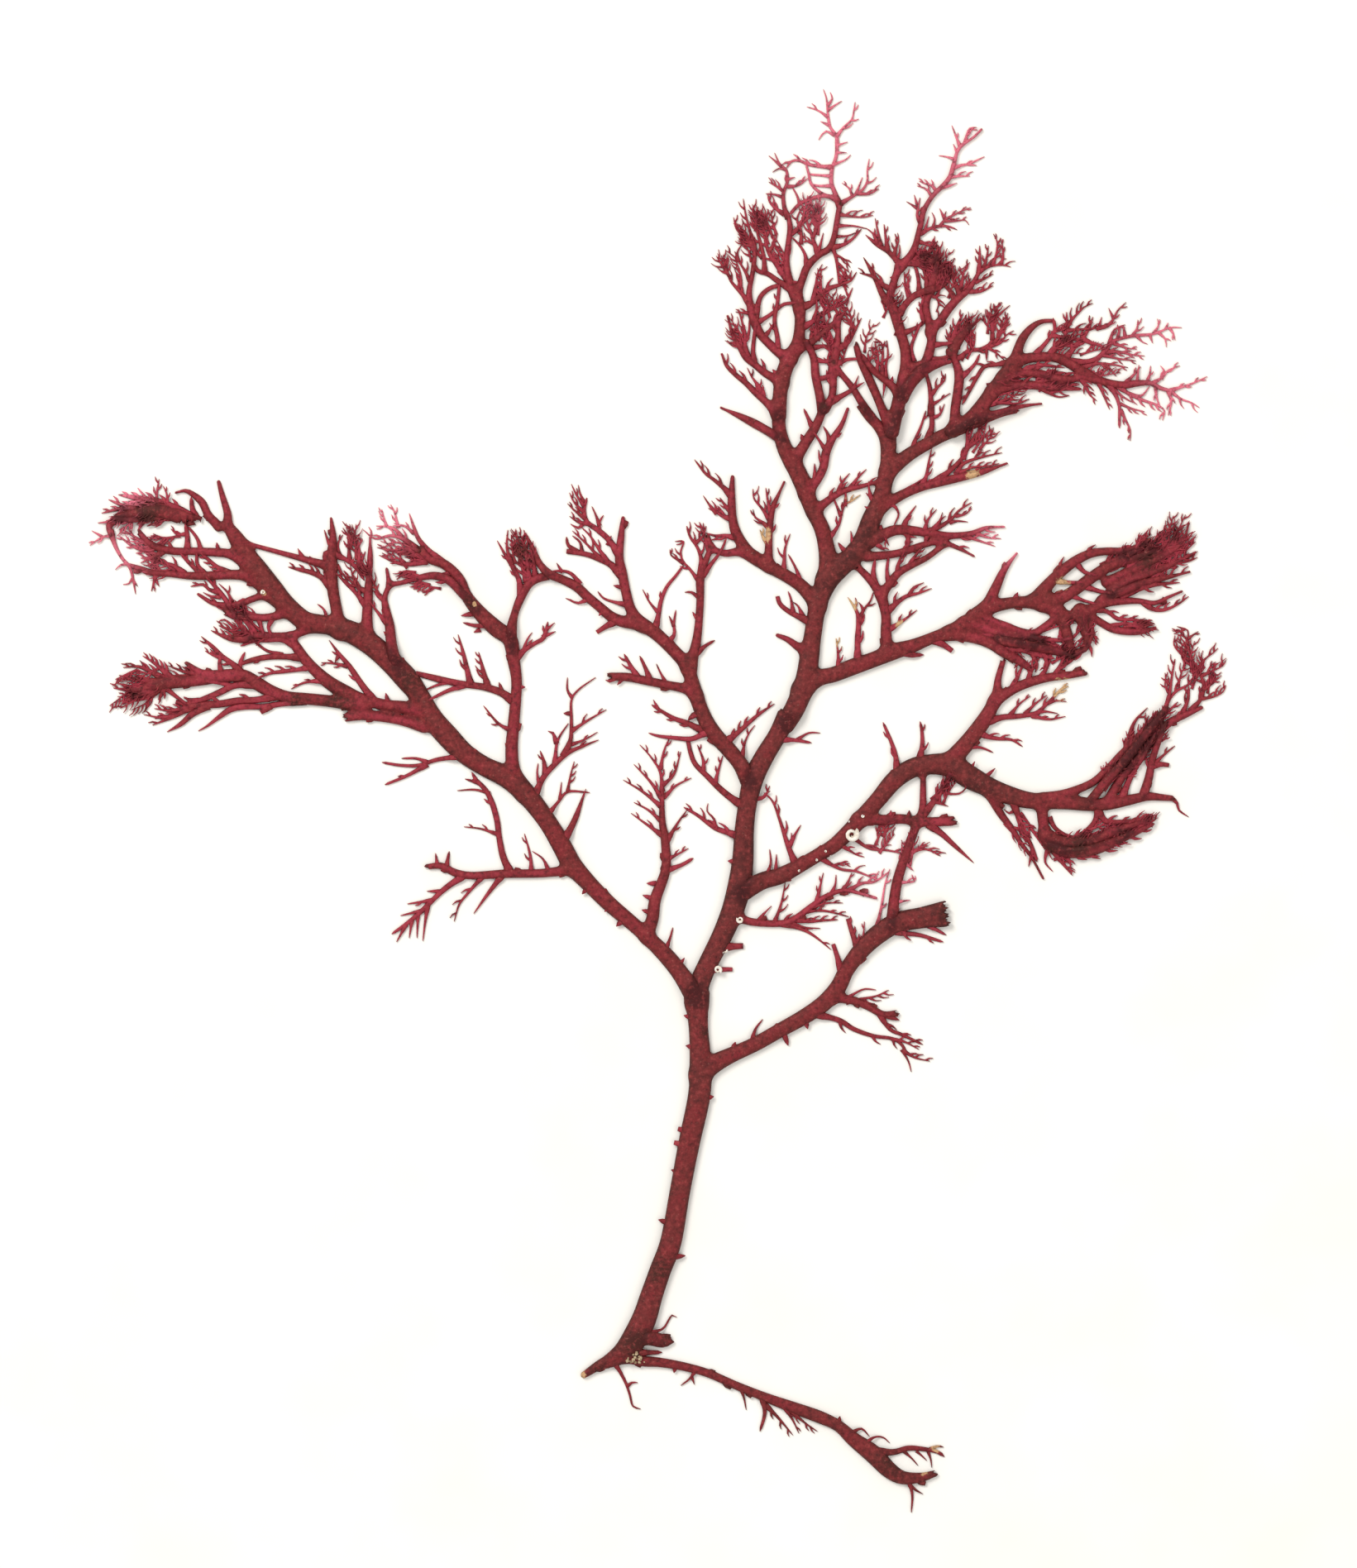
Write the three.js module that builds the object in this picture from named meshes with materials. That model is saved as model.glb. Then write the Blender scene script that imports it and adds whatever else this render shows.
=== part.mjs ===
// A pressed red seaweed frond, Plocamium pacificum, one thallus that lies flat, with the small coiled
// shells that had grown on it. Millimetres, +Z up. The underside is the plane z = 0 and the origin is
// the middle of the frond's box there. +Y runs from the cut foot to the crown.
import * as THREE from 'three';

// Thickness of the pressed frond, from a fine branchlet to the stipe, and what lies over itself.
const BLADE_THICKNESS = 0.6;
const STIPE_THICKNESS = 1.05;
const STIPE_WIDTH = 2.4;
const OVERLAP_THICKNESS = 0.12;
const MOST_OVERLAPS = 4;

// Narrowest root and tip that the solid keeps, so that every blade has a body.
const LEAST_ROOT = 0.55;
const LEAST_TIP = 0.34;

// Web that grows in the fork between a blade and what bears it.
const FORK_WEB = 0.6;

// Spacing of the field that the outline is drawn from, and how far it reaches past a blade's edge.
const FIELD_STEP = 0.14;
const FIELD_REACH = 0.7;
const FIELD_MARGIN = 2;

// An outline point is dropped where the outline stays this near without it.
const OUTLINE_TOLERANCE = 0.15;
// A gap among the blades smaller than this area is closed, in square millimetres.
const LEAST_GAP = 1.2;

// Teeth: a comb of side branchlets on one side of a blade, or alternate.
const RANDOM_SEED = 20261;
const TOOTH_ANGLE = 0.86;
const TOOTH_ANGLE_SPREAD = 0.3;
const TOOTH_BEND = 0.5;
const COMB_START = 0.16;
const COMB_SPAN = 0.78;
const LEAST_TOOTH = 0.75;
const LEAST_SPRIG = 0.9;

// Each row is one blade: root width, tip width, its teeth as [side, how many, length], and then the
// points of its midrib from root to tip, each [x, y] or [x, y, width there]. Side L or R is the left
// or right hand of someone who walks from root to tip, and A is both by turns.

// Stipe and the short stubs on it.
const STIPE = [
  [0.7, 2.2, [], [-7.6, -58.7], [-6.2, -57.8, 1.0], [-4.9, -57.2, 1.5], [-3.5, -56.3, 2.2],
  [-2.4, -54.9, 2.6], [-1.4, -52.8, 2.5], [-0.7, -50.6, 2.3], [0.2, -48, 2.2], [1.3, -45, 2.2],
  [2.2, -40, 2.1], [3.15, -35, 2.2], [4.2, -30, 2.3], [4.3, -26.5, 2.2], [4.1, -23, 2.0],
  [3.9, -19.6, 2.3]],
  [0.7, 0.5, [], [3.2, -33.8], [2.0, -33.5]],
  [0.7, 0.5, [], [2.9, -35.2], [1.6, -34.9]],
  [0.6, 0.4, [], [2.4, -38.0], [1.3, -37.7]],
  [0.6, 0.4, [], [1.4, -43.2], [0.0, -42.8]],
  [0.6, 0.4, [], [-0.9, -51.5], [-2.1, -51.2]],
  [0.6, 0.4, [], [3.9, -22.2], [2.6, -21.9]],
  [0.6, 0.4, [], [4.1, -25.2], [2.8, -25.0]],
  [0.6, 0.4, [], [4.4, -30.4], [5.7, -30.2]],
  [0.6, 0.4, [], [1.2, -46.6], [2.8, -46.5]],
  [1.5, 0.5, [], [-2.4, -55.2], [-1.0, -54.9], [0.4, -55.2, 1.4], [1.4, -55.2]],
  [0.9, 0.4, [], [-2.8, -56.4], [-1.2, -56.4], [0.4, -56.4]],
  [0.4, 0.2, [], [-1.2, -54.4], [0.4, -54.0], [1.0, -53.2], [1.4, -52.6], [1.9, -52.8]],
  [0.5, 0.2, [], [-4.6, -57.2], [-3.9, -58.4], [-3.3, -59.6], [-2.9, -60.8], [-2.6, -61.9],
  [-1.8, -62.2]],
  [0.35, 0.15, [], [-3.2, -59.9], [-2.7, -59.5], [-2.1, -59.5]],
];
// Creeping branch at the foot.
const RUNNER = [
  [1.2, 0.6, [], [-3.2, -56.9], [-1.4, -57.3, 1.1], [0, -57.4, 1.0], [2.4, -57.8, 0.9], [5, -58.5, 0.85],
  [8, -59.8, 0.85], [11, -61, 0.95], [14, -62.1, 1.2], [16.5, -63, 1.3], [18.4, -63.9, 1.2],
  [20, -65.3, 1.5], [22, -66.8, 1.9], [23.6, -68.4, 1.7], [25, -69.2, 1.4], [26.8, -69.2, 1.0],
  [28.3, -68.8, 0.6]],
  [0.9, 0.4, [], [21.6, -66.4], [24, -66.6, 0.8], [25.6, -66.2, 0.7], [27.2, -66.3, 0.6],
  [28.6, -66.6, 0.5],
  [29.3, -67.1]],
  [0.35, 0.2, [], [27.8, -66.3], [28.6, -66.0], [29.2, -66.1]],
  [0.35, 0.12, [], [25, -66.4], [25.9, -67.2], [26.6, -68.0]],
  [0.3, 0.12, [], [26.4, -66.5], [27.0, -67.0], [27.5, -67.5]],
  [0.3, 0.12, [], [27.6, -66.5], [27.9, -67.4], [28.0, -68.2]],
  [0.45, 0.15, [], [25.6, -69.4], [26, -71], [25.9, -72.8]],
  [0.3, 0.12, [], [25.8, -70.0], [26.4, -70.5], [27.1, -70.9]],
  [0.5, 0.3, [], [18.4, -63.8], [18.6, -62.9]],
  [0.4, 0.12, [], [19.8, -64.6], [20.8, -64.2], [21.6, -65.0]],
  [0.4, 0.12, [], [21.0, -65.9], [22.0, -65.1], [23.0, -65.1], [23.7, -65.7]],
  [0.5, 0.3, [], [1.8, -57.6], [1.6, -58.5]],
  [0.4, 0.15, [], [4.0, -58.0], [3.2, -59.1], [2.3, -59.8]],
  [0.3, 0.12, [], [3.4, -58.8], [3.7, -59.7]],
  [0.4, 0.12, [], [8.4, -59.8], [8.8, -61.2], [9.0, -62.3]],
  [0.6, 0.3, [], [10.6, -60.9], [10.9, -62.6], [10.4, -64.5]],
  [0.5, 0.12, ['R', 3, 0.6], [10.8, -61.6], [12.2, -63.0], [13.8, -64.9]],
  [0.45, 0.12, ['L', 2, 0.5], [12.8, -61.8], [13.8, -63.4], [14.4, -64.7]],
  [0.45, 0.12, ['R', 3, 0.6], [13.4, -62.2], [15, -63.6], [16.3, -64.5]],
];
// Lowest right limb.
const LOW_RIGHT = [
  [2.1, 2.4, [], [4.2, -28.0], [5.8, -26.8, 1.9], [7.6, -25.9, 1.6], [10, -24.8, 1.5], [12.5, -23.4, 1.5],
  [15, -22, 1.6], [17, -20.6, 1.7], [18.4, -19, 1.7], [19.3, -17.2, 1.6], [20.8, -15.2, 1.8],
  [22.5, -13.6, 2.0], [24.5, -12.4, 2.1], [27, -11.9, 2.2], [29.4, -11.5, 2.4]],
  [0.6, 0.4, [], [7.6, -25.6], [7.9, -24.6]],
  [0.5, 0.15, [], [9.6, -24.7], [9.9, -23.4], [10.7, -22.3]],
  [0.5, 0.4, [], [12.8, -23.6], [13.3, -25.0]],
  [0.5, 0.4, [], [15.0, -22.2], [15.3, -23.3]],
  [0.7, 0.5, [], [18.8, -18.0], [18.4, -16.2], [17.9, -14.6]],
  [0.8, 0.5, ['R', 3, 0.5], [20.6, -15.6], [19.9, -13.6], [19.4, -12.0]],
  [0.35, 0.12, ['L', 2, 0.4], [20.8, -15.2], [21.0, -13.6], [21.1, -12.3]],
  [0.7, 0.3, ['R', 2, 0.6], [23.4, -13.2], [25.2, -13.5], [26.8, -13.7], [29.2, -14.4]],
  [0.5, 0.3, [], [27.4, -12.6], [28.4, -13.1], [29.5, -13.7]],
  [1.0, 0.6, [], [17.6, -20.0], [20, -20.4], [21.5, -21], [23, -21.8, 0.7], [24.4, -21.7]],
  [0.5, 0.3, [], [23.2, -21.9], [24.7, -22.4]],
  [0.45, 0.15, ['R', 5, 0.9], [19.2, -20.6], [21, -20.2], [22.4, -19.9], [23.6, -19.3]],
  [0.35, 0.15, [], [19.2, -20.2], [20.4, -19.5], [21.2, -19.2], [22.3, -19.3]],
  [0.6, 0.25, ['L', 3, 0.7], [22.6, -21.7], [23.7, -23.3], [25, -23.9], [27.1, -24.9]],
  [0.8, 0.35, ['R', 3, 0.9], [15.8, -21.7], [18.5, -22.4], [20, -23.3], [22, -24], [24, -24.3], [25, -25],
  [25.4, -26]],
  [0.35, 0.12, [], [24.9, -25.4], [25.6, -26.6], [25.9, -27.7]],
  [0.35, 0.12, ['L', 3, 0.7], [25.0, -25.4], [26.2, -26.2], [27.8, -26.6]],
  [0.35, 0.12, ['L', 3, 0.6], [23.8, -24.3], [25.2, -24.6], [26.7, -25.4]],
];
// Centre axis from the main fork to its own fork.
const CENTRE = [
  [2.3, 1.9, [], [3.9, -20.6], [4.1, -19.0], [5.0, -16.8, 2.0], [6.5, -13.8, 2.1], [7.6, -11.2, 2.3],
  [8.3, -8.6, 2.4], [8.65, -6, 2.2], [8.8, -3, 2.0], [9.1, -0.5, 1.9], [9.7, 2.2, 2.1], [10.8, 4.5, 2.0],
  [12.2, 6.8, 1.9], [13.3, 9.0, 1.9]],
  [0.9, 0.5, [], [8.9, -0.6], [7.4, 0.4], [6.2, 1.4], [5, 2.6], [3.8, 3.8], [3.3, 5.0], [3.0, 6.4]],
  [0.45, 0.15, ['L', 2, 0.5], [5.8, 1.8], [6.1, 3.0], [6.6, 4.7]],
  [0.45, 0.2, [], [7.2, 0.4], [6.9, 1.1]],
  [0.45, 0.15, ['R', 2, 0.5], [4.6, 2.9], [4.6, 4.2], [4.0, 5.8]],
  [0.8, 0.3, ['R', 4, 0.9], [8.8, -3.8], [7.2, -3.2], [5.8, -2.7], [4.0, -1.4], [2.6, -0.6]],
  [0.35, 0.12, [], [5.8, -2.7], [5.7, -1.8], [5.0, -1.0], [5.1, -0.2]],
  [0.6, 0.4, [], [8.4, -6.2], [7.1, -6.1]],
  [0.9, 0.7, [], [6.2, -14.9], [8.7, -14.8]],
  [0.7, 0.5, [], [5.2, -17.2], [7.6, -17.2]],
  [0.6, 0.3, [], [11.8, 6.2], [13.6, 6.3], [15.7, 6.0]],
  [0.35, 0.15, [], [14.2, 6.3], [15.4, 7.0], [16.6, 7.0]],
  [0.45, 0.15, ['L', 2, 0.6], [9.8, 0.2], [10.9, 0.5], [11.4, 1.6]],
];
// Spray low on the right of the centre axis.
const LOW_SPRAY = [
  [1.0, 0.3, ['L', 3, 0.8], [7.8, -11.6], [9.4, -12.3, 0.8], [12.4, -12.5, 0.7], [14, -12, 0.7],
  [15.6, -10.8], [17.2, -9.7], [19, -9.1], [20.6, -9.4], [22.3, -9.9]],
  [0.6, 0.12, ['L', 2, 0.6], [12.4, -12.5], [13.8, -12.8], [15.2, -13.3], [16.4, -14.1], [17.7, -15.2]],
  [0.5, 0.2, ['L', 4, 0.7], [13.8, -12.1], [15.4, -12.3], [16.6, -12.2], [18.4, -12.1]],
  [0.4, 0.15, ['L', 3, 0.6], [15.0, -11.3], [17, -11.2], [19.5, -11.8]],
  [0.35, 0.12, ['L', 2, 0.5], [15.8, -10.8], [17.4, -10.4], [18.9, -10.4]],
  [0.35, 0.12, [], [13.6, -12.4], [15.0, -12.9], [16.6, -13.0]],
  [0.45, 0.12, ['R', 3, 0.8], [11.9, -12.4], [12.6, -10.4], [13, -8.3]],
  [0.35, 0.12, [], [10.0, -12.4], [10.8, -11.5], [11.6, -10.7]],
  [0.4, 0.12, ['L', 2, 0.5], [16.2, -10.4], [16.5, -9.0], [16.9, -7.3]],
  [0.4, 0.12, [], [17.6, -9.6], [18.1, -8.6], [18.2, -7.5]],
  [0.4, 0.12, ['R', 2, 0.5], [18.8, -9.3], [19.4, -8.3], [19.8, -7.3]],
  [0.5, 0.15, ['L', 4, 0.8], [19.4, -9.2], [20.8, -8.4], [22.2, -8.2], [23.6, -7.2]],
];
// Right limb and what grows from it.
const RIGHT = [
  [1.9, 0.5, [], [8.5, -9.4], [10.5, -8.2, 1.8], [12.5, -7.6, 1.7], [14.8, -6.4, 1.45], [16.5, -5.4, 1.4],
  [18, -4.5, 1.5], [19.6, -3, 1.6], [21, -1.5, 1.7], [22.5, 0.2, 1.7], [24.2, 2.2, 1.9], [26, 3.4, 2.0],
  [28, 3.8, 2.1], [30, 3.6, 2.4], [32, 2.4, 2.4], [34, 1.4, 2.0], [36, 0.6, 1.9], [38, 0.1, 1.7],
  [40, 0, 1.6], [42, -0.1, 1.5], [44, -0.3, 1.4], [46, -0.3, 1.2], [48, 0.1, 1.1], [50, 0.5, 0.9],
  [51.6, 0.4, 0.7], [52.8, 0.3]],
  [0.4, 0.12, [], [52.5, 0.4], [53.1, -0.2], [53.3, -0.9], [54.3, -1.6]],
  [0.8, 0.2, ['R', 4, 0.9], [14.2, -6.8], [13.3, -4.6], [12.4, -1.8], [11.7, 0.0], [10.8, 0.9]],
  [0.5, 0.15, [], [13.4, -4.6], [14.0, -3.4], [14.6, -2.4]],
  [0.45, 0.15, [], [12.0, -7.7], [12.1, -5.4]],
  [0.45, 0.15, [], [10.9, -8.0], [11.5, -6.4], [11.4, -4.9]],
  [0.7, 0.3, ['L', 2, 0.6], [24.4, 2.8], [24.3, 4.6], [23.8, 6.2], [23.0, 8.1]],
  [0.8, 0.3, ['R', 2, 0.6], [26.6, 3.8], [27, 5.6], [27, 7.0], [26.8, 8.2]],
  [1.2, 0.9, [], [20.4, -1.8], [23, -1.9], [25, -1.8, 1.0], [27, -2.1], [30.3, -2.0]],
  [0.9, 0.12, [], [27.6, -2.3], [29.0, -3.3], [30.2, -4.4], [32.3, -6.3]],
  [0.5, 0.3, [], [23.8, -1.9], [23.8, -0.9]],
  [0.5, 0.3, [], [25.6, -1.9], [25.7, -0.9]],
  [1.2, 0.5, ['L', 2, 0.6], [23.8, -12.8], [24.4, -8.5], [25.3, -5.5], [26.2, -3, 0.9], [27, -1, 0.8],
  [27.1, 0.9], [27.1, 3.0]],
  [0.9, 0.6, [], [26.6, -2.0], [28.2, 0], [29.3, 1.6], [29.9, 2.9]],
  [0.4, 0.15, ['L', 5, 0.9], [25.6, -5.2], [27.4, -4.9], [28.9, -5.6]],
  [0.4, 0.15, ['L', 2, 0.5], [24.6, -8.3], [26.2, -8.2], [26.3, -7.6]],
  [0.35, 0.15, [], [24.4, -10.3], [25.8, -10.1]],
  [0.35, 0.15, [], [25.2, -6.2], [26.1, -7.1]],
  [0.35, 0.15, [], [28.2, 0], [29.7, -0.5]],
  [0.45, 0.15, ['L', 2, 0.5], [18.6, -4.4], [20.2, -5.4], [21.1, -5.7]],
  [0.5, 0.2, ['L', 3, 0.9], [19.8, -3.6], [21.6, -4.8], [23.4, -5], [25.0, -5.3]],
  [0.5, 0.15, ['L', 3, 1.0], [16.6, -5.8], [18.6, -6.9], [20.4, -7.2], [22.6, -8.1]],
  [0.45, 0.15, ['R', 2, 0.5], [22.2, -13.4], [22.8, -11], [23.2, -8.6], [23.7, -6.9]],
  [0.35, 0.15, [], [29.2, 0.8], [30.8, 0.8], [31.5, 1.5], [31.0, 2.1]],
  [0.4, 0.2, [], [31.8, 3.0], [32.4, 4.1]],
  [0.45, 0.2, [], [33.4, 2.4], [34.5, 3.4]],
];
// Branch climbing from the right limb, with its four side arms.
const RIGHT_RISE = [
  [1.9, 0.5, [], [29.8, 4.0], [31.6, 6.0, 1.7], [33, 7.8, 1.6], [34, 9.4, 1.4], [34.6, 11, 1.0],
  [34.8, 12.6, 0.7], [35.3, 14.4]],
  [1.2, 0.6, [], [34.4, 10.2], [36.2, 11.4, 1.0], [38, 12.2, 1.0], [40, 12.7, 0.9], [41.8, 12.9, 0.8],
  [43.7, 13.2]],
  [0.6, 0.2, ['L', 2, 0.8], [36.2, 11.6], [36.8, 12.8], [37.5, 14.4]],
  [0.5, 0.2, ['L', 3, 0.9], [37.8, 12.3], [38.2, 13.4], [39.1, 14.8]],
  [0.5, 0.2, ['L', 2, 0.8], [39.0, 12.6], [39.8, 13.7], [40.3, 15.0]],
  [0.6, 0.2, ['R', 3, 0.8], [40.6, 12.9], [41.3, 14.2], [41.8, 15.6]],
  [0.4, 0.15, ['L', 3, 0.8], [41.3, 13.8], [42.8, 14.8], [44.2, 15.9]],
  [0.9, 0.5, [], [33.2, 8.0], [35.2, 8.6], [36.6, 8.7], [38.2, 8.9], [39, 9.2]],
  [0.45, 0.12, ['L', 2, 0.5], [36.0, 8.8], [37, 10], [38.1, 10.8]],
  [0.45, 0.12, ['L', 2, 0.6], [37.5, 8.9], [38.6, 10], [39.8, 10.9]],
  [0.45, 0.3, ['A', 5, 0.7], [38.8, 9.0], [39.8, 10], [40.6, 10.8], [41.3, 11.5], [42.0, 11.8]],
  [0.35, 0.12, ['L', 2, 0.5], [39.6, 9.9], [40.7, 10.3], [41.8, 10.2]],
  [0.3, 0.12, [], [38.6, 8.9], [39.5, 9.2], [40.9, 9.0]],
  [0.5, 0.12, ['L', 2, 0.4], [38.2, 8.8], [40, 8.4], [41.7, 8.7]],
  [0.7, 0.2, ['L', 3, 0.8], [32.4, 7.2], [33.8, 6.6], [35, 6.4], [36.2, 6.3], [37.3, 5.6]],
  [0.5, 0.2, [], [31.2, 5.6], [33, 5.5], [34.3, 5.0]],
];
// Far right mass of blades that climbs from the right limb.
const FAR_RIGHT = [
  [1.1, 0.6, [], [39.6, 0.3], [42, 0.9, 0.9], [44.4, 1.9, 0.8], [46, 3.3, 0.8], [47.2, 4.6, 0.8],
  [48.6, 6.0, 0.8], [50.2, 7.8, 0.8], [51.4, 9.2]],
  [1.0, 0.5, ['L', 3, 1.0], [44.2, 0.0], [45.6, 1.8, 0.9], [47.2, 3.6, 0.9], [49, 5.8, 0.9],
  [50.6, 7.8, 0.8],
  [52, 9.6]],
  [1.0, 0.4, ['L', 3, 1.0], [46.0, 0.0], [47.4, 2.4, 0.9], [49.2, 4.6, 0.9], [50.8, 6.6, 0.9],
  [52.4, 8.1, 0.8], [54, 8.9, 0.7], [55.6, 9.6]],
  [0.8, 0.4, ['L', 2, 0.8], [47.4, 0.2], [48.4, 2.6], [49.8, 5.0], [51.0, 7.2]],
  [1.0, 0.5, ['L', 2, 0.8], [49.6, 0.5], [50.2, 2.4], [50.6, 4.4], [51.2, 6.2], [51.8, 8.0]],
  [0.7, 0.5, [], [50.4, 3.6], [51.4, 3.8], [52.3, 3.7]],
  [0.45, 0.15, ['L', 1, 0.5], [50.7, 3.8], [51.8, 4.8], [52.9, 5.7]],
  [0.8, 0.12, ['R', 2, 0.6], [47.8, 4.8], [48.2, 6.6], [48.8, 8.2], [50.1, 9.6]],
  [0.5, 0.15, ['L', 2, 0.7], [48.8, 5.8], [49.5, 7.2], [50.2, 8.8]],
  [0.5, 0.2, ['R', 3, 0.8], [50.4, 7.6], [51.6, 8.6], [53.2, 10.2]],
  [0.5, 0.25, ['L', 3, 0.9], [51.6, 9.0], [52.4, 10.6], [53.2, 11.4], [54.2, 11.9], [54.8, 12.8]],
  [0.4, 0.2, ['L', 4, 1.0], [52.0, 9.8], [52.4, 11.4], [52.6, 13.0], [52.9, 14.6]],
  [0.55, 0.3, ['L', 2, 0.8], [53.6, 8.9], [54.2, 10.4], [54.3, 11.8]],
  [0.55, 0.3, ['L', 3, 0.9], [54.4, 9.2], [55.6, 10.6], [55.8, 12], [55.3, 13.4], [54.8, 14.4]],
  [0.4, 0.15, ['L', 4, 1.3], [54.9, 13.4], [54.5, 15.0], [54.2, 16.6], [54.2, 17.5], [53.1, 17.9]],
  [0.3, 0.12, ['R', 1, 0.4], [54.2, 16.6], [54.7, 17.0], [55.3, 17.4]],
  [0.4, 0.12, ['L', 4, 1.0], [55.5, 12.8], [56.6, 13.3], [57.8, 13.9], [58.1, 14.5]],
  [0.35, 0.12, ['L', 3, 0.9], [55.3, 13.6], [56.0, 14.6], [56.8, 15.2], [57.3, 15.7]],
  [0.4, 0.12, ['L', 4, 0.9], [55.5, 10.5], [56.8, 10.7], [57.8, 11.2], [58.1, 11.9]],
  [0.35, 0.12, ['R', 3, 0.8], [54.5, 14.4], [53.6, 15.0], [52.8, 16.0], [52.9, 17.0]],
];
// Blades hanging below the right limb.
const RIGHT_UNDER = [
  [1.0, 0.12, ['L', 2, 0.7], [33.8, 0.9], [35, -1.2], [36.2, -2.8], [37.2, -4.4], [38.2, -5.7],
  [39.4, -7.9]],
  [0.8, 0.4, ['R', 2, 0.6], [36.2, 0.2], [36.8, -1.4], [37.4, -3], [38.2, -4.6], [38.8, -6.2]],
  [0.35, 0.12, [], [36.5, -0.9], [35.9, -1.2], [35.4, -0.8]],
  [0.45, 0.15, ['L', 1, 0.5], [37.0, -1.2], [37.8, -2.1], [38.5, -3.1]],
  [1.2, 0.8, [], [39.2, 0.0], [39.4, -2.2, 1.1], [39.6, -3.8], [40.2, -5.0]],
  [0.6, 0.4, [], [40.0, -1.6], [40.6, -2.7], [41.6, -3.4], [42.6, -3.7]],
  [0.7, 0.5, [], [45.0, -0.6], [44.7, -2.0], [43.8, -3.0], [42.8, -3.6]],
  [1.5, 0.25, ['L', 6, 0.9], [39.6, -3.4], [41.4, -4.3, 1.5], [44, -4.2, 1.5], [46.4, -3.2, 1.2],
  [48.6, -2.5, 0.9], [50.7, -1.6]],
  [1.2, 0.25, ['R', 6, 0.9], [40.0, -4.4], [42, -5.2, 1.2], [44.6, -4.9, 1.2], [47, -4.0, 0.9],
  [49.4, -2.9, 0.6], [50.7, -2.3]],
  [0.8, 0.3, ['L', 3, 0.6], [45.0, -0.9], [45.8, -2.0], [47.4, -2.1], [49, -1.9], [50.5, -1.5]],
  [0.6, 0.12, ['L', 4, 0.7], [40.4, -5.0], [41.2, -6.1], [42.4, -7.6]],
  [0.45, 0.12, ['L', 2, 0.5], [41.8, -5.6], [42.2, -6.5], [42.1, -7.2]],
  [0.4, 0.12, [], [39.8, -5.0], [39.6, -6.2], [40.4, -7.2]],
  [0.4, 0.12, [], [38.3, -5.0], [37.9, -6.7]],
  [0.5, 0.2, [], [43.0, -5.6], [44.0, -5.6], [45.2, -5.6]],
  [0.4, 0.2, [], [45.4, -4.8], [46.6, -4.5], [47.6, -4.4]],
];
// Crown axis above the upper right limb and the arms on its left.
const CROWN = [
  [2.0, 1.3, [], [13.0, 7.9], [13.9, 9.4, 2.1], [14.7, 11.2, 2.1], [15.2, 13.0, 2.1], [15.5, 15, 2.0],
  [15.8, 17, 1.8], [16.3, 20, 1.8], [17.0, 22, 2.0], [17.4, 24, 2.0], [17.2, 26, 1.7], [16.7, 28, 1.6],
  [15.7, 30, 1.6], [15, 32, 1.8], [14.1, 34, 1.8], [13.0, 36, 1.6], [12.4, 38, 1.4], [12.3, 40]],
  [1.6, 0.4, [], [16.4, 20.0], [14.8, 21.9, 1.4], [13.4, 22.9, 1.3], [11.6, 23.9, 1.3], [10.2, 24.7, 1.3],
  [9.0, 25.8, 1.2], [8.0, 27.4, 1.1], [7.6, 29, 0.9], [7.5, 31, 0.8], [7.6, 33.2]],
  [1.0, 0.5, [], [10.0, 24.9], [8.2, 25.5], [6.8, 25.4], [5.6, 25.9], [5.0, 27.1]],
  [1.0, 0.12, ['R', 2, 0.6], [11.3, 24.0], [11.3, 26, 0.8], [11.4, 28, 0.7], [11.7, 30, 0.6],
  [12.3, 31.4],
  [12.9, 32.7]],
  [0.5, 0.12, ['L', 2, 0.6], [11.4, 27.9], [10.6, 28.6], [9.9, 29.1], [9.7, 29.9]],
  [0.5, 0.12, ['R', 3, 0.9], [11.4, 28.8], [10.6, 30], [9.8, 31], [9.7, 32.0]],
  [0.45, 0.12, ['R', 2, 0.6], [11.5, 29.4], [11.2, 30.8], [11.0, 32.1]],
  [0.45, 0.15, ['R', 2, 0.5], [11.3, 26.2], [10.8, 26.9], [10.4, 27.8]],
  [0.6, 0.12, ['L', 2, 0.8], [12.8, 23.2], [12.9, 24.8], [13, 26], [13.5, 27.4]],
  [0.45, 0.2, [], [14.7, 22.2], [14.0, 24.0], [13.3, 25.3]],
  [0.9, 0.5, [], [15.9, 18.2], [14.0, 19.1], [13.0, 19.7], [12.4, 20.3], [12.2, 21.0]],
  [0.5, 0.15, [], [14.8, 18.9], [14.3, 20.0], [13.8, 20.4]],
  [0.45, 0.2, [], [13.8, 19.3], [13.6, 20.6], [13.3, 21.5]],
  [1.1, 0.4, [], [15.5, 15.0], [14.2, 15.9], [13.2, 16.6], [12.2, 17.0]],
  [0.6, 0.15, ['L', 3, 0.8], [7.8, 27.0], [6.8, 27.2], [5.8, 27.2], [4.8, 27.5]],
  [0.6, 0.2, ['R', 2, 0.9], [7.7, 28.8], [6.6, 29.2], [5.8, 29.7], [5.1, 30.0]],
  [0.4, 0.12, [], [6.0, 29.4], [5.2, 30.4], [4.6, 31.3]],
  [0.5, 0.15, ['L', 2, 0.6], [7.6, 29.4], [6.9, 30.2], [6.3, 31.1]],
  [0.7, 0.15, ['R', 3, 0.9], [7.6, 31.0], [6.8, 32.0], [5.6, 33], [4.8, 33.6], [3.7, 35.0]],
];
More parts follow.
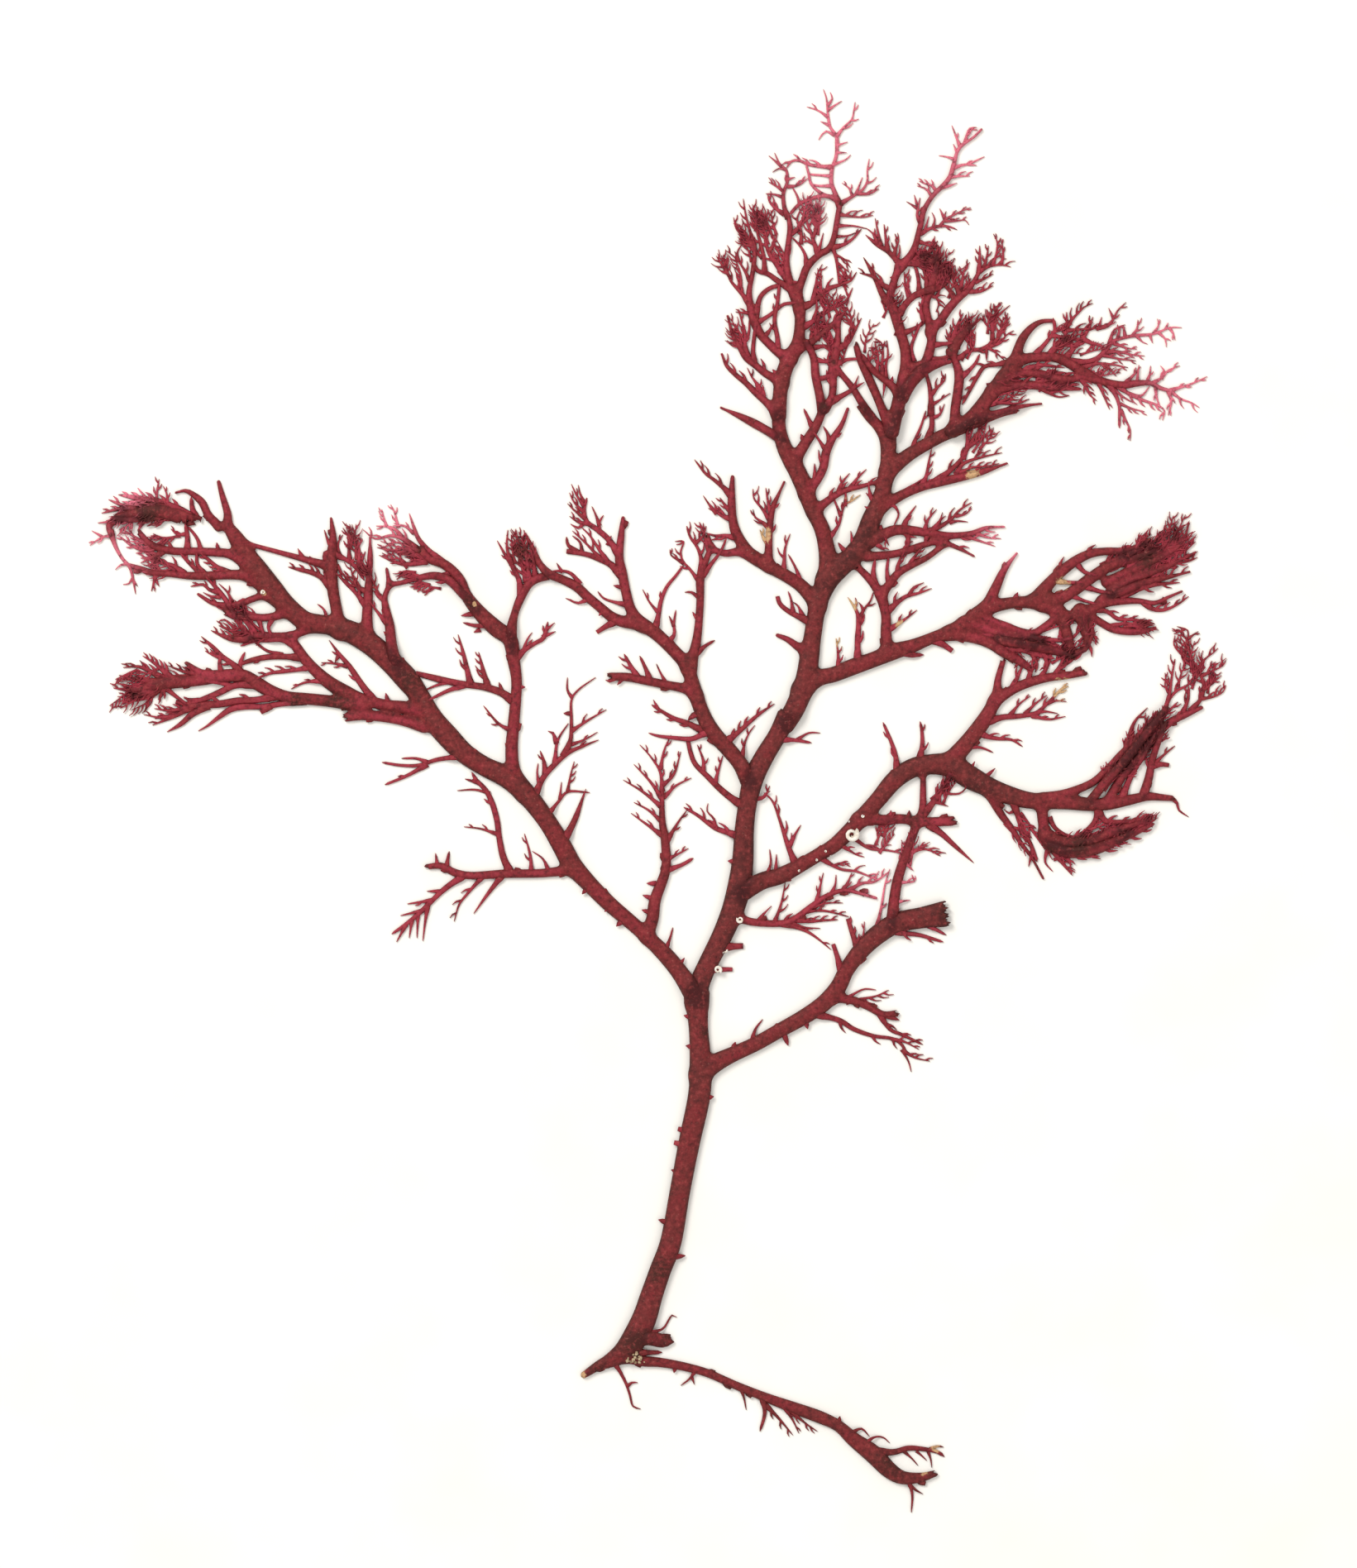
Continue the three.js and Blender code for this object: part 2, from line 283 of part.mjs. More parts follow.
// Arm climbing to the left from the centre axis, and its two forks.
const CENTRE_LEFT = [
  [1.8, 1.4, [], [9.3, 2.0], [8.4, 3.8, 1.6], [7.2, 5.3, 1.6], [6.0, 6.6, 1.6], [5.0, 8.0, 1.6],
  [4.3, 9.6, 1.5], [3.7, 11.4, 1.5], [3.2, 13.2, 1.4], [3.0, 14.4]],
  [0.9, 0.12, ['L', 4, 0.7], [6.8, 6.0], [8.1, 7.0, 0.6], [9.2, 8.0, 0.5], [10.4, 9.0, 0.4],
  [11.9, 10.0]],
  [0.4, 0.3, [], [7.4, 6.2], [7.8, 7.5]],
  [0.55, 0.12, ['L', 2, 0.6], [8.5, 3.9], [8.8, 5.8], [9.3, 7.0], [9.9, 7.8]],
  [0.7, 0.2, [], [5.6, 7.2], [4.6, 6.9], [3.4, 6.4, 0.6], [1.6, 6.5, 0.5], [0, 6.7, 0.4], [-1.0, 7.0]],
  [0.8, 0.3, ['L', 3, 0.6], [4.8, 7.2], [3.8, 7.6], [3, 8.0], [1.6, 8.5], [0.4, 9.2], [-0.7, 9.9]],
  [0.7, 0.4, [], [4.4, 9.0], [3.6, 8.8], [3.0, 8.2]],
  [0.35, 0.15, [], [0.0, 9.4], [-0.5, 10.4]],
  [1.1, 0.7, [], [3.9, 10.8], [2.8, 11.5, 1.0], [1, 11.9, 0.9], [-1, 12.3, 0.9], [-3, 12.7, 0.9],
  [-5.0, 12.8]],
  [0.7, 0.3, ['L', 2, 0.7], [-2.0, 12.5], [-2.8, 13.8], [-3.5, 15.1]],
  [0.6, 0.3, [], [-0.8, 12.3], [-1.3, 13.6], [-1.9, 14.9]],
  [0.4, 0.15, [], [0.9, 11.9], [0.2, 13.2], [-0.2, 14.1]],
  [0.5, 0.3, [], [-4.0, 12.8], [-5.0, 12.3], [-5.4, 12.4]],
  [0.4, 0.2, [], [-3.6, 12.6], [-4.2, 11.9]],
  [1.4, 0.15, [], [3.1, 13.8], [1.8, 15.2, 1.3], [0.4, 16.6, 1.3], [-0.8, 17.6, 1.4], [-2.2, 18.2, 1.4],
  [-3.6, 18.4, 1.2], [-4.8, 18.9, 1.1], [-6, 19.9, 1.0], [-7.2, 20.9, 1.0], [-8.4, 22.0, 1.0],
  [-9.8, 22.7, 0.9], [-11.2, 23.3, 0.9], [-12.2, 24.4, 0.7], [-12.9, 26, 0.5], [-13.6, 27.4]],
  [1.2, 0.4, [], [-1.6, 18.0], [-2.8, 19.6, 1.1], [-3.3, 21.4, 1.0], [-3.7, 23.4, 1.0], [-4, 25, 0.9],
  [-3.8, 27.2, 0.7], [-3.6, 29.0]],
  [0.9, 0.6, [], [-3.7, 23.0], [-4.8, 24.2, 0.8], [-6.0, 24.8, 0.7], [-7.4, 25.3, 0.6], [-9.4, 25.6]],
  [0.55, 0.15, ['R', 2, 0.7], [-5.2, 24.5], [-6.2, 26], [-7.0, 27.2], [-7.9, 28.1]],
  [0.45, 0.15, ['R', 3, 0.7], [-5.8, 24.7], [-7.0, 26.0], [-7.8, 26.8], [-8.8, 27.7]],
  [0.5, 0.3, [], [-8.2, 25.5], [-9.2, 26.2], [-9.4, 27.1]],
  [0.4, 0.2, [], [-7.8, 25.3], [-8.0, 26.5], [-8.8, 27.2]],
  [0.9, 0.3, [], [-4.0, 25.2], [-5.0, 26.7, 0.7], [-6.2, 27.8, 0.7], [-7.3, 28.6, 0.6], [-7.6, 29.8, 0.5],
  [-7.3, 31.1]],
  [0.4, 0.3, [], [-5.2, 26.2], [-4.8, 27.2]],
  [0.45, 0.2, ['L', 1, 0.5], [-6.0, 27.4], [-6.0, 28.6], [-5.6, 29.3]],
  [0.4, 0.15, [], [-6.0, 28.2], [-6.4, 29.3], [-6.8, 30.2]],
  [0.45, 0.12, ['R', 2, 0.6], [-7.0, 28.4], [-8.2, 28.6], [-9.1, 29.2]],
  [0.45, 0.12, ['R', 2, 0.6], [-7.4, 28.9], [-8.6, 29.8], [-9.3, 30.5]],
  [0.4, 0.12, ['R', 2, 0.6], [-7.6, 29.6], [-8.6, 30.6], [-9.1, 31.6]],
  [0.4, 0.12, ['R', 1, 0.5], [-7.6, 30.2], [-8.4, 31.4], [-8.9, 32.5]],
  [0.35, 0.12, [], [-7.6, 30.6], [-8.0, 31.5], [-8.2, 32.4]],
  [0.45, 0.15, [], [-7.6, 28.5], [-8.2, 28.0], [-9.0, 28.4]],
  [0.5, 0.2, [], [-3.2, 20.1], [-4.5, 20.4], [-5.6, 20.8], [-6.2, 21.5]],
  [0.4, 0.3, [], [-3.4, 21.8], [-4.6, 22.1]],
  [0.5, 0.2, [], [-7.0, 20.8], [-8.2, 20.3], [-9.0, 20.6], [-9.5, 20.8]],
  [0.45, 0.3, [], [-5.6, 19.5], [-6.1, 19.0]],
  [0.9, 0.5, [], [-3.8, 18.7], [-5.2, 18.0], [-6.3, 17.3]],
  [0.55, 0.2, [], [-8.0, 22.2], [-8.9, 23.3], [-10.0, 23.6], [-11.4, 23.4]],
  [0.35, 0.12, [], [-9.8, 23.4], [-10.4, 24.4]],
  [0.7, 0.3, ['L', 1, 0.5], [-0.4, 17.2], [0.0, 19], [0.3, 20.6], [0.9, 22], [1.8, 23.1], [2.6, 24.2]],
  [0.4, 0.12, ['R', 1, 0.5], [0.1, 19.2], [-0.9, 20.4], [-1.6, 21.7]],
  [0.5, 0.2, [], [0.7, 16.1], [1.6, 17], [1.6, 18.2], [1.8, 19.6]],
  [0.35, 0.12, [], [1.6, 17.9], [1.1, 19.0]],
  [1.4, 0.5, [], [3.1, 13.6], [3.7, 15.4, 1.1], [4.0, 17, 0.9], [4.2, 19, 0.8], [4.3, 21, 0.8],
  [4.3, 22.8, 0.9], [4.7, 24.2, 0.7], [5.4, 26.0]],
  [0.6, 0.3, [], [3.8, 15.0], [4.8, 15.9], [5.8, 16.5]],
  [0.4, 0.2, [], [4.2, 20.8], [3.4, 21.4], [2.7, 21.4]],
  [0.35, 0.2, [], [4.0, 18.6], [3.5, 19.4]],
  [0.6, 0.25, [], [4.5, 23.0], [5.5, 24.4], [6.4, 25.6], [7.0, 27.0]],
  [0.6, 0.25, ['R', 4, 0.9], [4.2, 22.8], [4.4, 24.6], [4.0, 26], [3.3, 27], [2.9, 28.2]],
  [0.45, 0.15, ['L', 3, 0.7], [4.1, 22.6], [3.2, 23.8], [2.5, 24.6], [2.3, 25.6], [2.6, 26.6],
  [1.7, 26.6]],
  [0.4, 0.12, ['R', 2, 0.5], [2.6, 24.4], [1.9, 24.8], [1.3, 25.2], [1.2, 25.8]],
  [0.5, 0.2, ['L', 3, 0.8], [5.2, 25.6], [4.8, 27.0], [4.2, 28.6]],
  [0.4, 0.15, ['L', 2, 0.6], [3.8, 26.4], [4.6, 27.2], [4.9, 28.2]],
];
// Crown fork leaning right, with its crowded side sprays.
const CROWN_RIGHT = [
  [2.2, 1.0, [], [17.2, 22.6], [18.6, 24, 2.2], [20.0, 25.3, 2.1], [21, 26.8, 2.0], [21.8, 28.8, 2.0],
  [22.6, 30.6, 1.8], [23.2, 32.6, 1.6], [23.5, 34.6, 1.6], [23.6, 36.8, 1.5], [24.1, 38.5, 1.1],
  [24.8, 40.2]],
  [1.2, 1.0, [], [23.6, 36.4], [22.6, 38.3], [21.6, 39.4], [20.8, 40.6]],
  [1.6, 0.9, [], [23.4, 33.6], [25.4, 35.3, 1.4], [27, 36.3, 1.3], [29, 37.4, 1.3], [31, 38.2, 1.3],
  [33, 39, 1.1], [35, 39.7, 0.8], [36.6, 40.2]],
  [0.5, 0.2, ['R', 2, 0.6], [25.9, 35.6], [26.3, 37], [26.9, 38.4], [27.4, 40.0]],
  [0.8, 0.5, [], [27.4, 36.6], [28, 38.4], [27.9, 40.2]],
  [0.7, 0.4, [], [29.2, 37.6], [30.2, 38.9], [30.6, 40.2]],
  [1.2, 0.12, ['L', 2, 0.5], [23.0, 30.2], [25, 31.4, 1.0], [27, 32.2, 0.9], [29, 32.7, 0.9],
  [31, 33.2, 0.9],
  [32.6, 33.6, 0.8], [34, 34, 0.5], [35.7, 34.6]],
  [0.45, 0.2, [], [24.6, 31.4], [26.2, 32.4], [27.2, 33.1]],
  [0.55, 0.12, ['R', 3, 0.7], [26.8, 32.1], [27.4, 33.2], [27.7, 34.8], [28.0, 36.2]],
  [0.8, 0.2, ['L', 4, 0.8], [28.2, 32.6], [29.8, 33.8], [31, 35], [31.8, 36.3], [32.4, 37.4],
  [33.7, 38.7]],
  [0.5, 0.12, ['L', 4, 0.9], [30.4, 33.4], [31.3, 34.6], [33, 35.2], [35.2, 35.7]],
  [0.4, 0.12, ['L', 4, 0.7], [30.8, 33.6], [32.2, 34.2], [33.6, 34.3], [34.9, 34.6]],
  [0.5, 0.15, ['R', 3, 0.8], [31.2, 35.0], [31.6, 36.4], [31.6, 37.8], [32.1, 38.9]],
  [0.4, 0.12, ['L', 3, 0.8], [31.8, 36.3], [33, 37.1], [34.1, 37.6], [34.3, 38.3]],
  [1.3, 0.15, ['R', 4, 1.0], [21.8, 26.6], [24, 27.7, 1.1], [26, 27.7, 1.0], [28, 27.4, 0.8],
  [30, 27.2, 0.7],
  [32, 27.4, 0.6], [33.6, 28, 0.4], [35.4, 28.1]],
  [0.45, 0.12, ['L', 2, 0.6], [31.2, 27.2], [32.8, 26.7], [34.5, 26.1]],
  [0.4, 0.12, ['L', 2, 0.5], [32.4, 27.5], [33.8, 27.0], [35.1, 26.9]],
  [1.0, 0.12, ['L', 3, 1.0], [21.4, 25.0], [24, 25.3, 0.8], [25.6, 25.7, 0.8], [27, 26.2, 0.7],
  [28.6, 26.6, 0.6],
  [29.8, 26.3, 0.5], [31, 25.8, 0.4], [32.3, 25.1]],
  [0.8, 0.15, ['L', 3, 0.9], [27.0, 27.4], [28.6, 28, 0.6], [30, 28.9, 0.5], [30.7, 29.7], [31.4, 30.2],
  [32.1, 30.6]],
  [0.35, 0.12, [], [29.8, 28.5], [30.6, 28.7], [31.7, 28.6]],
  [0.35, 0.12, ['L', 2, 0.4], [30.4, 29.2], [31.4, 29.4], [32.1, 30.0]],
  [0.5, 0.12, ['L', 2, 0.7], [27.2, 27.4], [27.6, 28.8], [28.5, 29.9]],
  [0.4, 0.12, [], [28.0, 27.8], [28.8, 28.7], [29.1, 29.6]],
  [0.7, 0.12, ['R', 1, 0.5], [24.9, 27.5], [25.5, 29], [26.4, 30.3]],
  [0.4, 0.15, [], [22.8, 30.0], [24.0, 30.3], [24.6, 29.4], [24.2, 28.4], [24.0, 27.6]],
  [0.6, 0.12, ['L', 1, 0.4], [22.4, 30.2], [21.7, 31.3], [21.5, 32.8]],
  [0.45, 0.2, [], [22.0, 29.6], [21.1, 30.2]],
  [0.5, 0.25, [], [21.4, 28.2], [20.5, 28.1]],
  [0.6, 0.12, [], [20.4, 25.4], [19.9, 26.4], [19.7, 27.7]],
  [0.7, 0.3, [], [20.0, 25.2], [19.0, 25.7], [18.4, 26.5]],
  [0.5, 0.2, ['L', 2, 0.6], [22.2, 27.0], [22.4, 26.2], [23.2, 25.7]],
  [0.5, 0.2, ['R', 2, 0.6], [22.6, 28.2], [23.2, 27.0], [23.6, 26.2]],
  [0.6, 0.4, ['R', 2, 0.5], [25.4, 27.6], [25.6, 26.8], [25.5, 25.8]],
  [0.5, 0.3, [], [27.6, 27.4], [27.4, 26.8], [27.3, 26.2]],
  [1.1, 0.3, ['L', 4, 0.8], [15.9, 29.6], [17.4, 30.8, 0.8], [18.4, 31.5, 0.7], [19.4, 31.9],
  [20.6, 32.2],
  [22.8, 32.8]],
  [0.5, 0.12, ['L', 1, 0.5], [18.4, 31.5], [18.8, 32.6], [19.6, 33.6]],
  [0.5, 0.12, ['L', 1, 0.5], [19.6, 32.0], [20.4, 33.1], [21.3, 34.0]],
  [0.6, 0.15, ['L', 3, 0.6], [17.2, 26.6], [18.4, 28.2], [18.8, 29.6], [19.1, 30.4], [19.7, 30.7],
  [20.7, 31.4]],
  [0.4, 0.2, [], [18.7, 29.2], [18.2, 30.4], [17.9, 31.2]],
  [0.4, 0.2, [], [19.1, 30.2], [19.2, 31.2], [19.1, 31.9]],
  [1.1, 0.3, ['R', 1, 0.6], [15.0, 31.4], [16.2, 32.8, 0.9], [16.9, 34.2, 0.9], [17.2, 35.8, 0.9],
  [17.9, 37.2, 0.7], [18.8, 38.6, 0.5], [19.4, 40.2]],
  [0.4, 0.2, [], [15.9, 32.6], [16.0, 33.6], [16.0, 34.6]],
  [0.35, 0.12, [], [16.8, 34.4], [16.5, 35.2], [16.4, 36.0]],
  [0.45, 0.25, [], [17.2, 35.8], [16.5, 36.9], [15.9, 37.8]],
  [0.45, 0.25, [], [17.4, 36.2], [17.4, 37.4], [16.9, 38.4]],
  [1.3, 0.8, [], [13.8, 34.6], [15.0, 36.6, 1.1], [15.9, 38.0, 1.0], [16.5, 39.2], [16.9, 40.4]],
  [0.5, 0.4, [], [15.0, 36.6], [14.6, 37.6]],
  [0.6, 0.3, [], [15.9, 38.0], [15.3, 39.3], [14.9, 40.2]],
];
// Upper right limb with the link that climbs to the crown.
const UPPER_RIGHT = [
  [2.0, 1.2, [], [14.6, 11.4], [16.4, 12.6, 1.7], [18, 13.0, 1.6], [20, 13.8, 1.7], [22, 14.5, 1.6],
  [24, 15.3, 1.7], [26, 15.9, 1.4], [28, 16.7, 1.2], [30, 17.4, 1.5], [31.8, 18.5, 1.5],
  [33.5, 19.7, 1.5],
  [36, 20.3, 1.2], [38, 20.4, 1.3], [39.8, 20.5]],
  [0.7, 0.4, [], [24.6, 15.3], [26.0, 15.0], [27.2, 15.0]],
  [0.8, 0.6, [], [27.6, 16.6], [28.9, 16.2], [30.1, 15.4]],
  [1.3, 0.15, [], [33.6, 19.8], [34.6, 22, 1.0], [35.4, 23.7, 0.7], [36.7, 25.4]],
  [0.6, 0.3, [], [36.4, 20.5], [36.8, 21.4]],
  [1.3, 0.6, [], [23.4, 15.4], [23.3, 17.5, 1.1], [23.3, 19, 1.0], [22.9, 20.7, 1.1], [22.2, 22, 0.9],
  [21.4, 23, 0.8], [20.4, 24.0]],
  [1.0, 0.5, [], [22.9, 21.2], [23.7, 22.3, 0.9], [24.6, 23.4, 0.8], [26, 24.2, 0.7], [27.4, 24.9],
  [29.2, 26.2]],
  [0.6, 0.4, [], [22.4, 21.8], [22.0, 23.2], [22.2, 24.8]],
  [0.5, 0.3, [], [23.6, 22.2], [23.4, 23.6], [23.6, 25.2]],
  [0.45, 0.2, ['R', 2, 0.6], [24.4, 23.2], [24.6, 24.4], [25.2, 25.6]],
  [0.45, 0.2, ['R', 2, 0.6], [25.6, 24.0], [26.2, 25.0], [27.0, 26.0]],
  [0.9, 0.12, ['R', 3, 1.0], [20.4, 14.0], [20.4, 16.5, 0.7], [20.5, 18, 0.7], [20.4, 19.2, 0.6],
  [20, 20], [19.4, 20.9]],
  [0.5, 0.15, ['R', 1, 0.6], [20.6, 18.2], [20.9, 19.4], [21.7, 20.5], [22.0, 21.4]],
  [0.35, 0.12, [], [21.0, 19.4], [20.8, 20.0], [20.5, 20.4]],
  [0.5, 0.12, ['R', 3, 0.6], [18.4, 13.2], [18.4, 15], [18.2, 16.7]],
  [0.8, 0.12, ['L', 3, 0.9], [23.2, 19.2], [24.4, 20.3, 0.6], [25.4, 21, 0.5], [26.6, 21.3],
  [28.0, 21.8]],
  [0.4, 0.12, ['R', 1, 0.4], [25.6, 21.0], [26.2, 21.9], [27.2, 22.4]],
  [0.6, 0.12, ['L', 2, 0.6], [23.2, 17.3], [24.6, 18.2, 0.5], [25.6, 18.9], [26.5, 19.6]],
  [1.6, 0.5, ['L', 3, 0.9], [38.6, 20.6], [40.2, 22.5, 1.2], [41.6, 23.8, 1.1], [43, 24.8, 1.0],
  [44.4, 25.4, 0.9],
  [46, 25.6, 0.8], [47.4, 25.6, 0.8], [48.8, 25.9, 0.7], [50.2, 26.8]],
  [1.6, 0.6, [], [39.2, 20.4], [41.2, 20.8, 1.3], [42.6, 21.6, 1.2], [44.2, 22.8, 1.2], [46, 24, 1.1],
  [48, 24.7, 1.0], [50, 25.2, 0.8], [52.2, 25.8]],
  [1.3, 0.2, [], [39.4, 20.0], [41, 19.3, 1.0], [42.6, 19.0, 1.0], [44.2, 19.6, 1.1], [45.6, 20.3, 1.0],
  [47.4, 20.5, 0.8], [49.2, 20.5, 0.6], [50.8, 20.3, 0.5], [52.2, 20.9], [53.6, 21.5]],
  [0.5, 0.3, [], [42.0, 21.2], [43.4, 20.6], [44.8, 20.2]],
  [0.6, 0.4, [], [43.6, 22.0], [45.2, 21.5], [46.8, 21.2]],
  [0.6, 0.4, [], [40.4, 22.6], [42.0, 22.4], [43.4, 22.4]],
  [0.6, 0.4, [], [42.6, 24.6], [43.6, 23.5], [44.8, 23.1]],
  [0.6, 0.15, ['L', 4, 0.6], [49.6, 20.4], [50.6, 19.7], [51.8, 19.6], [53.2, 20.2], [54.3, 21.0]],
  [1.0, 0.25, [], [43.0, 19.4], [44.8, 18.6, 0.8], [46.4, 17.7, 0.8], [48, 17.4, 0.8],
  [49.6, 17.4, 0.6], [50.9, 17.8]],
  [0.7, 0.2, ['L', 4, 0.6], [44.6, 19.7], [46, 19.4, 0.5], [47, 18.7, 0.5], [48.4, 18.6], [49.6, 18.5],
  [50.8, 18.2]],
  [0.5, 0.2, ['L', 3, 0.6], [46.2, 17.9], [47.8, 18.2], [49.4, 18.1], [50.6, 18.0]],
  [0.9, 0.15, ['L', 5, 1.0], [46, 24.2], [48, 25.2, 0.8], [50, 26.2, 0.6], [51.6, 27.1], [52.7, 27.9]],
  [0.9, 0.15, ['L', 5, 1.0], [47, 24.5], [49, 25, 0.8], [51, 25.8, 0.6], [52.6, 26.8], [53.4, 28.2]],
  [1.0, 0.15, ['L', 6, 1.1], [45.8, 22.4], [48.4, 23.6, 0.9], [50.6, 24.6, 0.8], [52.6, 25.6, 0.5],
  [53.8, 26.8],
  [54.3, 28.5]],
  [1.1, 0.15, ['L', 6, 1.1], [45.4, 20.6], [46.8, 21.7], [48.4, 22.6, 0.9], [50, 23.2, 0.9],
  [52, 24, 0.7],
  [53.6, 24.8, 0.4], [55.0, 25.5]],
  [1.0, 0.15, ['L', 6, 1.0], [46.2, 21.0], [48, 21.7, 0.9], [50, 22.4, 0.8], [52, 22.9, 0.5],
  [54.4, 23.5]],
  [0.8, 0.15, ['A', 5, 0.8], [47.2, 20.9], [49, 21.7, 0.7], [51, 22.2, 0.5], [53.4, 22.4]],
  [0.5, 0.15, ['L', 4, 0.9], [51.2, 24.0], [52.8, 24.3], [54.4, 24.6], [55.2, 25.0]],
  [0.4, 0.15, ['L', 3, 0.9], [52.2, 25.8], [53.4, 26.2], [54.8, 26.4]],
];
// Crowded patch under the upper right limb.
const UNDER_PATCH = [
  [1.4, 0.5, [], [29.8, 17.2], [32.2, 16.8, 1.2], [34, 16.2, 1.2], [35.4, 15.3, 1.2], [36.8, 14.5, 1.0],
  [38.2, 13.5]],
  [1.0, 0.5, [], [31.2, 18.3], [33, 17.9, 0.9], [34.6, 17.3, 0.9], [36, 16.8, 1.0], [38, 16.5, 1.0],
  [39.8, 16.0]],
  [1.0, 0.6, [], [32.4, 19.0], [34.2, 18.5, 0.7], [35.6, 18, 0.7], [37, 17.4, 0.8], [38.4, 17.2, 0.8],
  [39.6, 17.9, 0.8], [40.8, 18.9]],
  [0.6, 0.4, [], [33.2, 16.9], [34.6, 17.0], [35.6, 16.6]],
  [1.2, 0.4, ['L', 5, 0.9], [34.8, 16.6], [36.6, 16.2, 1.1], [38.6, 15.8, 1.0], [40.6, 15.4, 0.9],
  [42.2, 14.9]],
  [0.9, 0.3, ['L', 4, 0.9], [35.2, 15.4], [37.0, 15.6, 0.9], [39.0, 15.0, 0.8], [40.6, 14.6]],
  [0.9, 0.4, ['R', 4, 0.8], [36.2, 17.5], [37.8, 16.9, 0.8], [39.4, 16.6], [41, 16.5], [42.4, 16.7]],
  [1.4, 0.5, ['R', 4, 1.0], [41.0, 19.4], [41.6, 17.8, 1.2], [42, 16.4, 1.1], [42.4, 14.8]],
  [1.4, 0.5, ['L', 4, 1.0], [43.2, 19.6], [43.6, 17.8, 1.2], [43.9, 16.6, 0.9], [43.6, 15.6],
  [42.6, 15.2]],
  [0.6, 0.3, ['R', 3, 0.6], [44.0, 19.2], [44.4, 17.4], [44.0, 16.0], [43.0, 15.2], [41.8, 14.6]],
  [0.3, 0.12, [], [43.9, 18.3], [44.4, 17.3], [45.0, 16.2]],
  [0.5, 0.2, [], [36.6, 15.0], [36.8, 14.2], [36.4, 13.6]],
  [0.5, 0.2, ['R', 2, 0.6], [38.2, 15.2], [38.8, 14.0], [38.6, 13.2]],
  [0.5, 0.2, ['R', 2, 0.6], [39.4, 15.2], [39.8, 14.0], [39.4, 13.2]],
  [0.4, 0.2, [], [35.4, 18.2], [36.4, 17.8], [37.2, 16.9]],
];
